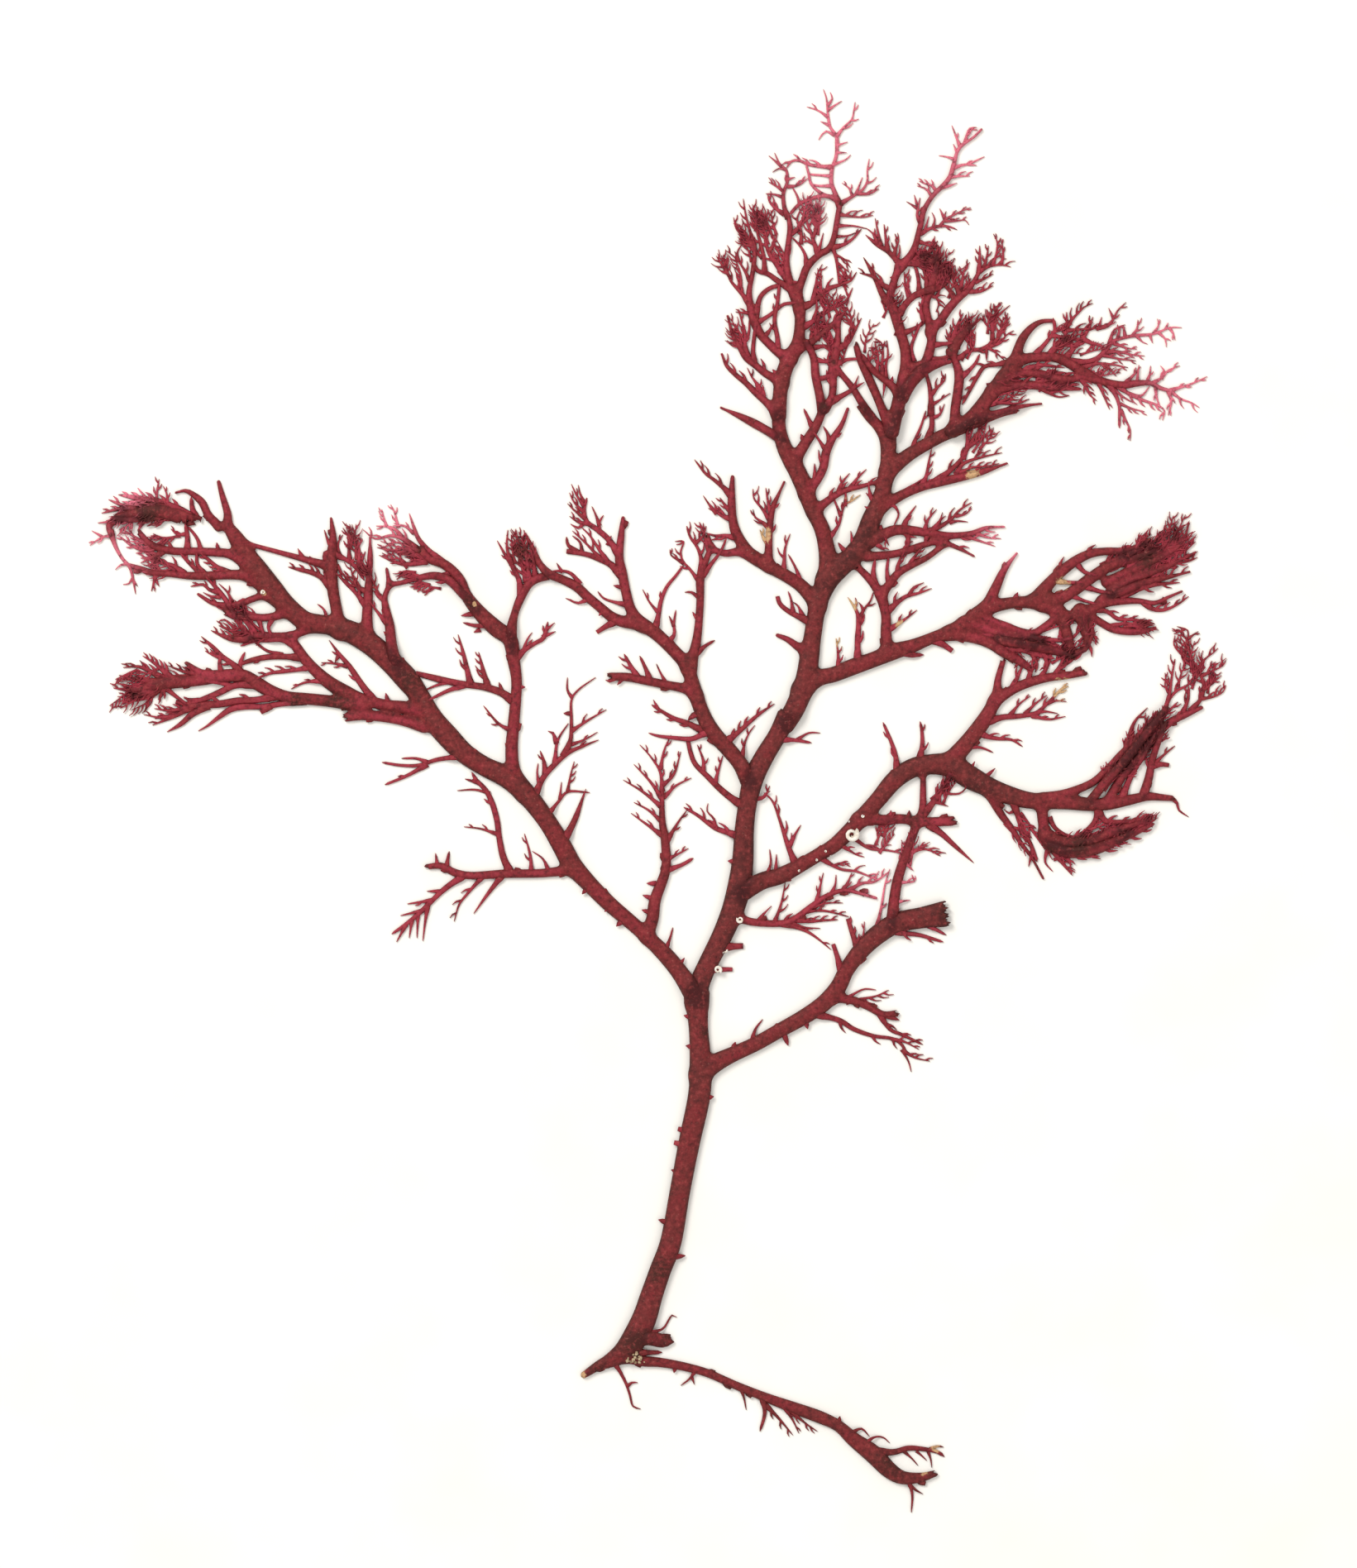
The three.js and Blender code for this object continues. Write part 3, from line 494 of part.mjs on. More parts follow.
// Top of the crown: the axis above its left arms and the two tall plumes.
const TOP = [
  [1.5, 0.4, [], [12.35, 39.4], [12.5, 42, 1.5], [12.9, 44, 1.6], [13.6, 45.6, 1.5], [14.3, 47, 1.3],
  [14.5, 49, 1.1], [14.4, 50.6, 1.2], [13.8, 52.0, 1.0], [13.3, 53.6, 0.9], [13.1, 55.2, 0.7],
  [13.3, 57, 0.6], [13.5, 58.6, 0.6], [13.3, 60.0]],
  [1.0, 0.5, [], [14.4, 50.4], [14.4, 52.2, 0.8], [14.8, 53.6, 0.8], [15.3, 54.8, 0.8], [16.4, 55.9, 0.7],
  [17.5, 56.6, 0.7], [18.0, 57.8, 0.6], [18.3, 59.4, 0.6], [18.6, 61.2]],
  [0.7, 0.12, [], [18.6, 60.8], [18.1, 62.2, 0.6], [17.7, 63.4, 0.5], [17.8, 64.8, 0.5], [18.2, 66, 0.4],
  [18.3, 67.4, 0.4], [18.2, 68.2, 0.5], [17.6, 69.0, 0.35], [17.4, 70, 0.35], [17.3, 71, 0.25],
  [17.2, 72],
  [16.9, 72.9]],
  [0.4, 0.12, ['R', 3, 0.7], [18.2, 68.0], [19, 69], [19.8, 69.8], [20, 70.6], [20.15, 71.6]],
  [0.35, 0.12, [], [18.0, 68.2], [17.2, 68.6], [16.8, 68.3], [16.4, 67.7]],
  [0.3, 0.12, [], [17.5, 69.2], [16.6, 69.6]],
  [0.3, 0.12, ['R', 1, 0.6], [17.4, 70.0], [16.4, 70.7], [15.2, 71.1]],
  [0.3, 0.12, [], [17.3, 70.7], [18, 71.2], [18.8, 71.7]],
  [0.3, 0.12, [], [17.3, 71.2], [17.8, 71.9], [17.6, 72.6]],
  [0.25, 0.12, [], [18.2, 67.1], [19.4, 67.5]],
  [0.25, 0.12, [], [18.2, 66.4], [19.3, 66.4]],
  [0.3, 0.15, [], [18.0, 65.2], [19.2, 65.7], [19.7, 66.2]],
  [0.45, 0.12, ['R', 3, 0.9], [18.7, 61.2], [20, 62, 0.4], [20.9, 62.6], [21.4, 63.5], [21.4, 64.6],
  [21.6, 65.8]],
  [0.35, 0.12, ['L', 2, 0.7], [20.4, 62.2], [21.6, 62.2], [22.6, 62.7]],
  [0.3, 0.12, [], [20.2, 62.1], [20.6, 63.1], [20.9, 63.9]],
  [0.3, 0.12, ['R', 2, 0.5], [19.9, 61.9], [19.5, 62.8], [18.8, 63.3]],
  [0.5, 0.25, ['R', 4, 0.8], [17.9, 64.9], [16.6, 65, 0.45], [15.4, 65.2, 0.4], [14.4, 65.6, 0.35],
  [13.6, 65.5],
  [13.1, 64.8]],
  [0.3, 0.25, [], [17.7, 64.0], [16.4, 64.1], [15.3, 64.2]],
  [0.35, 0.25, [], [17.8, 63.0], [16.4, 63.0], [15.6, 63.2]],
  [0.5, 0.25, [], [18.4, 61.8], [17.2, 62.0], [16.2, 62.6], [15.6, 63.3], [15.4, 64.2], [15.1, 65.3]],
  [0.5, 0.4, [], [18.4, 61.4], [17.4, 61.9], [16.4, 61.9], [15.4, 61.6], [14.4, 61.1], [13.4, 60.0]],
  [0.3, 0.2, [], [14.5, 61.0], [14.2, 62.0], [13.7, 62.9]],
  [0.6, 0.12, ['L', 1, 0.5], [13.3, 59.6], [12.9, 60.8, 0.5], [12.8, 62.2, 0.45], [13.2, 63.4, 0.4],
  [13.1, 64.6, 0.35], [12.4, 65.3], [11.9, 66.4]],
  [0.35, 0.15, ['L', 2, 0.6], [13.2, 62.9], [14.4, 63.1], [15.3, 63.8]],
  [0.3, 0.12, [], [13.1, 63.6], [14.0, 63.9]],
  [0.5, 0.2, ['R', 3, 0.8], [12.9, 60.1], [12.0, 60.7], [11.4, 61.4], [11.2, 62.2]],
  [0.3, 0.15, [], [12.8, 61.8], [12, 62.1], [11.0, 62.2]],
  [0.35, 0.12, ['R', 3, 0.7], [12.9, 62.4], [12.2, 62.9], [11.3, 63.4]],
  [0.25, 0.12, [], [13.1, 64.6], [12.4, 64.8], [11.7, 64.4]],
  [0.3, 0.12, [], [12.6, 65.0], [11.9, 65.6], [11.3, 66.1]],
  [0.4, 0.12, ['L', 4, 0.8], [18.4, 60.1], [19.6, 59.9], [21, 59.8], [22.0, 60.0]],
  [0.4, 0.12, [], [18.3, 58.9], [20, 58.9], [21.4, 58.6]],
  [0.3, 0.12, [], [18.2, 57.8], [19.4, 57.9], [20.4, 58.3]],
  [0.6, 0.2, ['L', 2, 0.5], [17.6, 56.6], [19, 57.0], [19.9, 57.6], [20.8, 58.6]],
  [0.45, 0.25, ['L', 5, 1.3], [17.8, 56.8], [18.2, 55.6], [18.4, 54.2], [18.5, 52.8]],
  [0.9, 0.15, ['L', 4, 1.0], [14.6, 50.5], [15.7, 51.0, 0.7], [16.6, 51.8, 0.7], [17.5, 52.5, 0.6],
  [18.7, 52.9],
  [19.7, 53.3], [20.3, 54.2]],
  [0.5, 0.12, ['R', 4, 0.8], [15.8, 51.1], [16.1, 52.6], [16.3, 54.0], [16.8, 55.0]],
  [0.8, 0.15, ['L', 4, 1.0], [14.6, 48.4], [15.8, 49.1, 0.6], [16.8, 49.9, 0.6], [18, 50.6, 0.5],
  [19.2, 51.2],
  [19.9, 52.6]],
  [0.45, 0.2, [], [15.9, 49.2], [16.2, 50.4], [16.2, 51.4]],
  [1.0, 0.2, ['L', 5, 1.0], [14.2, 46.2], [15.5, 46.9, 0.8], [16.5, 47.7, 0.7], [17.7, 48.7, 0.6],
  [18.6, 49.5],
  [19.3, 50.4]],
  [0.5, 0.2, [], [16.2, 47.5], [16.2, 48.8], [16.7, 50.2]],
  [1.1, 0.6, [], [16.8, 40.0], [16.5, 41.6, 0.9], [16.1, 43.6, 0.9], [15.9, 45.4, 0.8], [15.1, 47.0]],
  [1.2, 0.3, ['L', 4, 1.0], [17.0, 40.2], [17.7, 41.2, 0.8], [17.9, 42.6, 0.8], [17.8, 44.2, 0.9],
  [18.2, 46, 0.9], [18.4, 47.8, 0.6], [18.5, 49.6]],
  [0.8, 0.5, [], [17.2, 40.6], [18.6, 41.4], [19.8, 42.1], [20.2, 42.6]],
  [1.0, 0.6, [], [21.9, 39.2], [20.8, 40.8, 0.8], [19.9, 42.3, 0.7], [18.7, 43.8, 0.6], [18.0, 44.8]],
  [0.3, 0.12, [], [20.0, 42.3], [20.5, 43.6]],
  [0.3, 0.12, [], [20.2, 42.4], [21.1, 42.9]],
  [0.6, 0.3, [], [18.0, 44.6], [19.3, 45.2], [20.6, 45.3]],
  [0.7, 0.12, ['L', 4, 0.9], [18.3, 46.2], [19.4, 47.0, 0.6], [20, 48, 0.4], [20.8, 49.5]],
  [0.5, 0.4, [], [16.1, 45.2], [17.2, 45.0], [18.0, 45.2]],
  [0.5, 0.4, [], [16.2, 43.2], [17.2, 43.4], [18.0, 43.9]],
  [0.5, 0.4, [], [15.8, 46.4], [17.0, 46.6], [18.0, 46.4]],
  [1.1, 0.12, [], [12.8, 36.9], [11.2, 37.9, 0.9], [9.8, 38.7, 0.9], [8.2, 39.5, 0.6], [6.4, 40.3]],
  [1.0, 0.15, ['R', 5, 0.9], [12.2, 39.4], [11.2, 40.7, 0.8], [10, 41.8, 0.7], [9, 42.8, 0.6],
  [8, 43.6, 0.5],
  [7, 44.6, 0.4], [6.5, 45.8]],
  [0.5, 0.12, ['R', 2, 0.6], [10.6, 41.2], [10.3, 42.4], [9.6, 43.4], [9.1, 44.4]],
  [1.0, 0.15, ['R', 4, 0.8], [12.8, 42.8], [11, 43.8, 0.8], [10, 44.6, 0.7], [9, 45.4, 0.7],
  [8.4, 46.4, 0.6],
  [7.6, 47.8, 0.4], [7.1, 49.7]],
  [0.5, 0.3, [], [12.2, 43.6], [11.7, 44.2]],
  [0.6, 0.15, ['R', 2, 0.6], [9.4, 45.0], [8.9, 46.4], [8.9, 47.8], [8.6, 49], [8.2, 50.4]],
  [0.6, 0.4, [], [9.9, 44.6], [9.7, 46], [9.8, 47.4], [10.0, 49.0]],
  [0.4, 0.15, [], [9.0, 47.2], [9.3, 48.2], [9.3, 49.4]],
  [1.2, 0.4, [], [13.6, 45.3], [12.4, 45.9, 1.0], [11.4, 46.8, 0.9], [10.4, 47.9, 0.9], [9.8, 49.3, 1.0],
  [9.4, 50.8, 0.8], [9.3, 52.2, 0.6], [9.6, 53.8, 0.5], [9.8, 55.2, 0.5], [9.9, 56.8]],
  [0.7, 0.12, ['R', 4, 0.9], [9.4, 50.8], [8.6, 51.9, 0.5], [7.8, 52.8, 0.4], [7.3, 53.5], [6.9, 54.8]],
  [0.4, 0.12, ['R', 2, 0.4], [9.4, 50.0], [8.6, 50.0], [7.9, 50.1]],
  [0.45, 0.12, ['R', 4, 0.7], [9.4, 53.2], [8.8, 54.4], [8.2, 55.3], [7.6, 55.9], [6.9, 56.4]],
  [0.35, 0.12, [], [8.2, 55.2], [8.1, 56.2], [8.6, 57.1]],
  [0.7, 0.5, [], [9.9, 49.0], [10.1, 50.4], [10.5, 51.7], [11.4, 52.5], [12.6, 52.9]],
  [0.5, 0.4, [], [10.2, 49.0], [11.3, 49.7], [12.1, 50.3], [12.9, 50.9], [14.2, 51.0]],
  [0.6, 0.4, ['L', 3, 0.6], [12.2, 46.0], [12.2, 47.4], [11.9, 49.2], [12.2, 51], [12.4, 52.9]],
  [0.5, 0.2, [], [10.8, 47.5], [11.4, 48.2], [11.8, 49.0]],
  [0.8, 0.5, [], [13.6, 52.4], [12.2, 53.3], [11.2, 54.0], [10.2, 54.3], [9.7, 55.1]],
  [0.6, 0.12, ['L', 4, 0.9], [10.9, 54.0], [10.8, 55.6], [10.5, 57], [10.1, 58.6], [10.2, 60.9]],
  [0.7, 0.2, ['L', 3, 0.8], [13.2, 53.4], [12.2, 54.8], [11.3, 56.2], [10.9, 57.8], [10.9, 59.2],
  [11.3, 60.6]],
  [0.5, 0.12, ['L', 4, 0.8], [9.9, 56.2], [9.6, 57.6], [9.2, 59], [8.9, 60.3], [8.7, 61.7]],
  [0.5, 0.12, ['R', 4, 0.8], [9.9, 56.8], [8.8, 57.8], [8.0, 58.6], [7.7, 59.8]],
  [0.5, 0.12, ['L', 3, 0.6], [11.2, 56.2], [11.7, 56.8], [12.0, 57.5], [12.2, 58.2]],
  [0.4, 0.12, [], [11.0, 57.8], [11.4, 58.5], [11.9, 59.3]],
  [0.5, 0.3, [], [13.2, 55.2], [12.5, 55.8]],
  [0.4, 0.2, [], [13.3, 56.0], [13.6, 57.0]],
  [0.5, 0.2, [], [15.2, 54.6], [15.0, 56.0], [14.4, 57.0], [13.6, 57.8]],
  [0.6, 0.12, ['A', 6, 0.9], [16.4, 55.8], [16.0, 57], [15.6, 58.3], [15.2, 59.4], [15.3, 61.0]],
  [0.4, 0.12, [], [16.3, 56.0], [16.6, 57.0], [16.9, 58.2]],
  [0.4, 0.12, ['L', 1, 0.5], [15.8, 57.6], [16.2, 58.7], [16.7, 59.8]],
  [0.5, 0.12, ['L', 4, 0.8], [13.5, 58.0], [14.3, 58.6], [15.0, 59.4], [16.4, 60.4]],
  [0.45, 0.12, ['A', 4, 0.7], [14.6, 57.0], [14.6, 58.4], [14.2, 59.6], [14.8, 61.0]],
  [0.4, 0.2, [], [13.4, 53.0], [14.4, 53.2]],
  [0.5, 0.3, [], [14.9, 53.6], [14.6, 54.2]],
];
// Left limb from the main fork to its outer tip, and the inner branch near its root.
const LEFT = [
  [2.3, 0.9, [], [4.0, -20.2], [2.4, -17.8, 1.8], [0.9, -15.9, 1.7], [-1.2, -13.8, 1.5], [-3, -12.2, 1.5],
  [-5, -10.5, 1.6], [-7, -8.5, 1.7], [-8.8, -6.5, 2.0], [-9.9, -4.5, 2.0], [-11.4, -2, 1.9],
  [-13.4, 0.6, 2.1], [-15.4, 2.4, 2.2], [-17.8, 3.6, 2.0], [-19.8, 4.9, 2.1], [-21.5, 6.6, 2.3],
  [-23.2, 8.6, 2.2], [-24.6, 11, 2.1], [-25.7, 12.5, 2.4], [-27.4, 14.3, 2.3], [-29.3, 16, 2.3],
  [-31.4, 17.3, 2.3], [-33.6, 18.0, 2.0], [-36, 18.4, 2.0], [-38, 20.0, 2.0], [-39.7, 21.9, 2.3],
  [-41.2, 23.8, 2.3], [-42.3, 25.4, 1.9], [-43.2, 26.9, 1.6], [-44.0, 28.2, 1.1], [-44.1, 29.5, 0.8],
  [-44.6, 31.2, 0.6], [-45.0, 32.7, 0.4]],
  [0.5, 0.3, [], [-7.2, -8.8], [-7.8, -9.5]],
  [0.5, 0.3, [], [-4.8, -10.6], [-5.5, -11.3]],
  [0.7, 0.4, [], [-3.4, -11.9], [-4.3, -12.8]],
  [0.5, 0.3, [], [1.8, -17.2], [2.7, -16.0]],
  [0.5, 0.2, [], [0.6, -15.6], [1.2, -14.0], [1.5, -12.9]],
  [1.1, 0.5, [], [-9.0, -7.0], [-12, -7.35, 0.9], [-15.5, -7.4, 0.9], [-19, -7.6, 0.8],
  [-20.8, -7.3, 0.8],
  [-22.2, -6.6, 0.7], [-23.7, -6.7]],
  [0.5, 0.3, [], [-21.7, -6.8], [-21.4, -5.1]],
  [0.4, 0.2, [], [-22.6, -6.6], [-22.8, -5.3]],
  [0.8, 0.3, [], [-19.8, -7.5], [-21.8, -8.9, 0.7], [-23.2, -10.2, 0.6], [-24.2, -11.2, 0.6],
  [-25.6, -12.4, 0.5],
  [-27.3, -13.6]],
  [0.4, 0.15, [], [-22.2, -9.2], [-23.7, -9.2]],
  [0.45, 0.15, ['L', 1, 0.5], [-23.0, -10.1], [-25.7, -10.5]],
  [0.35, 0.15, [], [-24.3, -11.2], [-26.4, -11.7]],
  [0.5, 0.12, [], [-23.6, -10.6], [-23.9, -12.6], [-24.1, -14.3]],
  [0.4, 0.12, [], [-24.6, -11.6], [-24.7, -14.0]],
  [0.4, 0.12, [], [-25.2, -12.1], [-25.5, -14.0]],
  [0.4, 0.15, [], [-25.8, -12.6], [-26.8, -14.4]],
  [0.7, 0.12, [], [-16.0, -7.6], [-17.4, -9.4], [-18.9, -11.5]],
  [0.55, 0.12, ['R', 3, 0.8], [-18.0, -7.7], [-19.5, -9.4], [-20.4, -10.6], [-20.9, -12.3]],
  [0.9, 0.5, ['L', 1, 0.5], [-15.2, -7.2], [-15.9, -5.6, 0.8], [-16.3, -3.6, 0.7], [-16.5, -2, 0.7],
  [-17, -0.2, 0.7],
  [-17.7, 1.2, 0.6], [-18.9, 2.4]],
  [0.4, 0.12, ['R', 2, 0.5], [-16.3, -3.4], [-18.2, -2.8], [-19.9, -2.6]],
  [0.4, 0.12, [], [-17.2, 0.8], [-18.8, 1.2], [-20.6, 1.1]],
  [0.4, 0.2, [], [-18.4, 1.9], [-19.8, 2.3]],
  [0.4, 0.2, [], [-18.6, 2.1], [-19.1, 3.0]],
  [0.45, 0.12, ['L', 2, 0.6], [-13.0, -7.2], [-13.1, -5.6], [-13.7, -3.3]],
  [0.4, 0.12, [], [-11.2, -7.2], [-11.8, -5.9], [-12.9, -5.1]],
  [1.3, 0.4, [], [-1.2, -13.9], [-0.6, -12.0, 1.3], [-0.3, -10, 1.2], [0.75, -7, 1.0], [0.7, -4, 0.9],
  [0.4, -2, 0.7], [0.4, 1.0]],
  [0.5, 0.3, [], [-0.2, -8.4], [-1.2, -8.4]],
  [0.5, 0.3, [], [-0.4, -10.0], [-1.6, -9.6]],
  [0.5, 0.3, [], [-0.7, -11.4], [-1.7, -11.1]],
  [0.6, 0.4, [], [0.7, -7.1], [2.4, -6.5], [3.6, -5.8]],
  [0.4, 0.15, ['L', 2, 0.5], [0.8, -6.0], [2.2, -5.3], [3.1, -4.8]],
  [0.6, 0.12, ['R', 2, 0.6], [0.6, -3.6], [-1.4, -2.2], [-2.8, -1.2]],
  [0.6, 0.12, ['R', 2, 0.5], [0.8, -4.2], [2.0, -2.2], [3.0, -0.8]],
  [0.5, 0.12, ['R', 2, 0.5], [0.5, -2.2], [-1, -0.9], [-2.5, -0.1]],
  [0.55, 0.12, ['R', 3, 0.7], [0.4, -0.6], [-1.6, 1.0], [-3.6, 2.2]],
  [0.5, 0.12, ['R', 3, 0.7], [0.4, 0.2], [-0.8, 2.0], [-2.5, 3.8]],
  [0.5, 0.12, ['R', 3, 0.7], [0.4, 1.0], [0.2, 3.0], [-0.8, 4.6], [-1.9, 5.8]],
  [0.45, 0.12, ['R', 2, 0.6], [0.2, 3.2], [0.6, 5.2], [1.3, 6.8]],
  [0.45, 0.12, ['L', 3, 0.6], [0.4, 1.6], [1.6, 2.8], [2.3, 5.1]],
  [0.4, 0.15, ['L', 2, 0.5], [0.6, 0.4], [1.8, 1.6], [3.4, 2.4]],
  [1.6, 0.9, [], [-13.8, 0.8], [-14.8, 3.2, 1.4], [-15.0, 5.4, 1.3], [-14.8, 8, 1.2], [-14.5, 12, 1.1],
  [-14.8, 14.4, 1.3], [-15.2, 16.6, 1.6], [-16.6, 17.7, 1.7], [-18.2, 19.2, 1.5], [-19.6, 21, 1.2],
  [-20.4, 22.8, 1.1], [-21.8, 24.2, 1.0], [-23.4, 24.8, 0.9], [-24.4, 25.8]],
  [0.45, 0.15, ['L', 2, 0.5], [-14.9, 7.2], [-16.4, 8.0], [-17.9, 9.8]],
  [0.9, 0.6, [], [-14.8, 10.2], [-16.0, 11.1, 0.9], [-17.8, 11.7, 0.8], [-20, 12, 0.8],
  [-22, 12.4, 0.8], [-24.8, 13.1]],
  [0.8, 0.12, ['L', 3, 0.8], [-19.2, 11.9], [-19.6, 13.6, 0.6], [-20.0, 15.3, 0.4], [-20.5, 17.1]],
  [0.7, 0.12, ['L', 4, 0.7], [-17.4, 11.6], [-17.9, 13.3, 0.5], [-18.4, 15.3]],
  [0.5, 0.3, [], [-16.0, 11.2], [-16.3, 12.2]],
  [0.6, 0.3, [], [-19.8, 11.9], [-21.6, 11.3], [-23.6, 10.3]],
  [0.45, 0.2, [], [-21.6, 12.2], [-22.9, 11.8], [-24.0, 11.3]],
  [0.4, 0.3, [], [-14.5, 11.7], [-13.6, 11.7]],
  [0.8, 0.2, ['L', 2, 0.5], [-14.7, 14.4], [-13.8, 15.4, 0.6], [-12.6, 16.2, 0.5], [-11.7, 16.8, 0.6],
  [-11.3, 18.4]],
  [0.4, 0.12, [], [-13.8, 15.4], [-13.4, 16.6], [-12.9, 17.3]],
  [0.4, 0.15, [], [-11.9, 16.8], [-10.5, 17.4]],
  [0.3, 0.12, [], [-11.4, 17.6], [-10.6, 18.3]],
  [1.2, 0.8, [], [-15.0, 15.6], [-15.0, 17.6, 1.1], [-14.7, 19.2, 0.8], [-14.1, 20.8, 0.9],
  [-13.3, 22.2, 0.9],
  [-12.4, 22.8, 0.9], [-11.2, 23.1]],
  [0.5, 0.4, [], [-15.0, 17.2], [-15.3, 18.4]],
  [0.7, 0.12, ['L', 2, 0.5], [-14.1, 20.6], [-14.2, 22.4, 0.6], [-14.8, 23.8, 0.6], [-15.6, 25.1],
  [-16.5, 26.7]],
  [0.5, 0.12, [], [-15.0, 24.2], [-15.5, 26], [-15.4, 27.8]],
  [0.6, 0.3, ['A', 7, 0.9], [-13.5, 22.4], [-14.0, 24.4], [-14.6, 26.2]],
  [0.6, 0.3, ['A', 7, 0.9], [-13.2, 22.4], [-13.4, 24.4], [-13.9, 26.4]],
  [0.6, 0.2, ['A', 6, 0.8], [-12.6, 23.0], [-12.8, 24.8], [-13.2, 26.2]],
  [1.1, 0.5, ['L', 2, 0.6], [-18.4, 19.6], [-20, 21.2, 0.9], [-21.4, 22.6, 0.9], [-23, 23.1, 0.8],
  [-24.8, 22.8, 0.6],
  [-26.2, 22.4, 0.5], [-27.4, 22.2]],
  [0.5, 0.3, [], [-17.8, 18.0], [-18.8, 18.0], [-20.0, 18.3]],
  [0.5, 0.3, [], [-19.0, 19.2], [-20.2, 19.0]],
  [0.5, 0.3, [], [-18.2, 17.6], [-18.9, 17.3]],
  [0.5, 0.4, [], [-21.0, 23.6], [-21.8, 23.2], [-22.8, 23.2]],
  [0.7, 0.12, [], [-21.8, 24.3], [-23.4, 25.6, 0.6], [-24.5, 26.8, 0.6], [-25.0, 28.0, 0.4],
  [-25.5, 29.5]],
  [0.45, 0.15, [], [-24.9, 22.8], [-25.8, 23.4], [-26.8, 22.7]],
  [0.35, 0.12, ['L', 2, 0.5], [-24.8, 23.4], [-25.8, 23.6], [-26.6, 23.4]],
  [0.7, 0.12, ['R', 4, 0.8], [-23.6, 24.6], [-25.2, 24.3, 0.6], [-26.6, 24.4], [-28.6, 25.2]],
  [0.7, 0.12, ['R', 4, 0.8], [-23.8, 25.0], [-25.4, 25.3, 0.6], [-27, 25.6], [-28.8, 26.0]],
  [0.6, 0.12, ['R', 3, 0.7], [-24.0, 25.4], [-25.6, 26.1], [-26.6, 26.5], [-27.7, 26.4]],
  [0.6, 0.12, ['R', 4, 0.8], [-24.6, 25.8], [-26, 26.8], [-27.4, 27.2], [-29, 26.9], [-30.2, 27.8]],
  [0.45, 0.12, ['L', 2, 0.5], [-26.2, 27.0], [-27.2, 28.0], [-28.9, 28.2]],
  [0.35, 0.12, ['A', 3, 0.6], [-26.6, 28.0], [-26.8, 28.8], [-27, 29.6], [-27.4, 30.4]],
  [0.3, 0.12, ['L', 3, 0.6], [-27.8, 28.1], [-28.1, 29.0], [-28.3, 29.9]],
  [0.35, 0.2, ['R', 2, 0.5], [-25.0, 27.4], [-26.0, 28.2], [-27.2, 28.2]],
  [0.8, 0.12, ['L', 3, 0.6], [-12.8, 0.2], [-11.8, 2.4, 0.7], [-10.6, 3.8, 0.7], [-9.2, 5, 0.6],
  [-7.6, 5.7, 0.4],
  [-6.1, 6.3]],
  [0.6, 0.12, [], [-9.8, 4.6], [-9.0, 6.2], [-8.9, 8.4], [-8.9, 10.3], [-8.2, 11.4], [-6.4, 12.7]],
  [0.35, 0.12, [], [-8.8, 10.6], [-9.3, 11.4], [-9.3, 12.7]],
  [0.45, 0.12, ['L', 2, 0.7], [-8.9, 7.2], [-7.2, 8.3], [-5.3, 9.4]],
  [0.35, 0.12, ['L', 1, 0.4], [-8.9, 5.8], [-7.4, 6.4], [-6.2, 7.1]],
  [0.5, 0.15, [], [-10.6, 3.9], [-10.3, 6.2], [-9.2, 8.0]],
  [0.5, 0.3, [], [-10.4, 5.9], [-10.8, 7.0], [-11.3, 7.2]],
  [0.4, 0.3, [], [-9.0, 9.0], [-9.7, 9.0]],
  [0.5, 0.2, ['L', 1, 0.5], [-11.6, 2.7], [-11.7, 4], [-12.1, 5.2]],
  [0.35, 0.15, [], [-12.2, 1.6], [-12.4, 2.9], [-12.3, 3.9]],
  [0.5, 0.2, [], [-11.6, -1.8], [-10.2, 0], [-9.2, 1], [-7.0, 0.9]],
  [0.3, 0.12, [], [-10.1, 0.2], [-9.9, 2.0]],
  [0.35, 0.12, ['R', 3, 0.6], [-9.3, 0.9], [-9, 2.6], [-8.6, 4.1]],
  [0.9, 0.12, [], [-9.8, -4.2], [-8.6, -2.0, 0.7], [-7.4, 1.3]],
  [0.7, 0.3, [], [-19.4, 4.7], [-22.5, 4.3], [-24.5, 3.7], [-26.4, 3.7], [-28.3, 4.0]],
  [0.55, 0.3, ['R', 1, 0.4], [-23.6, 3.8], [-25.8, 2.6], [-28.0, 1.7]],
  [0.4, 0.2, [], [-23.6, 4.0], [-24.8, 4.4], [-26.3, 4.4]],
];
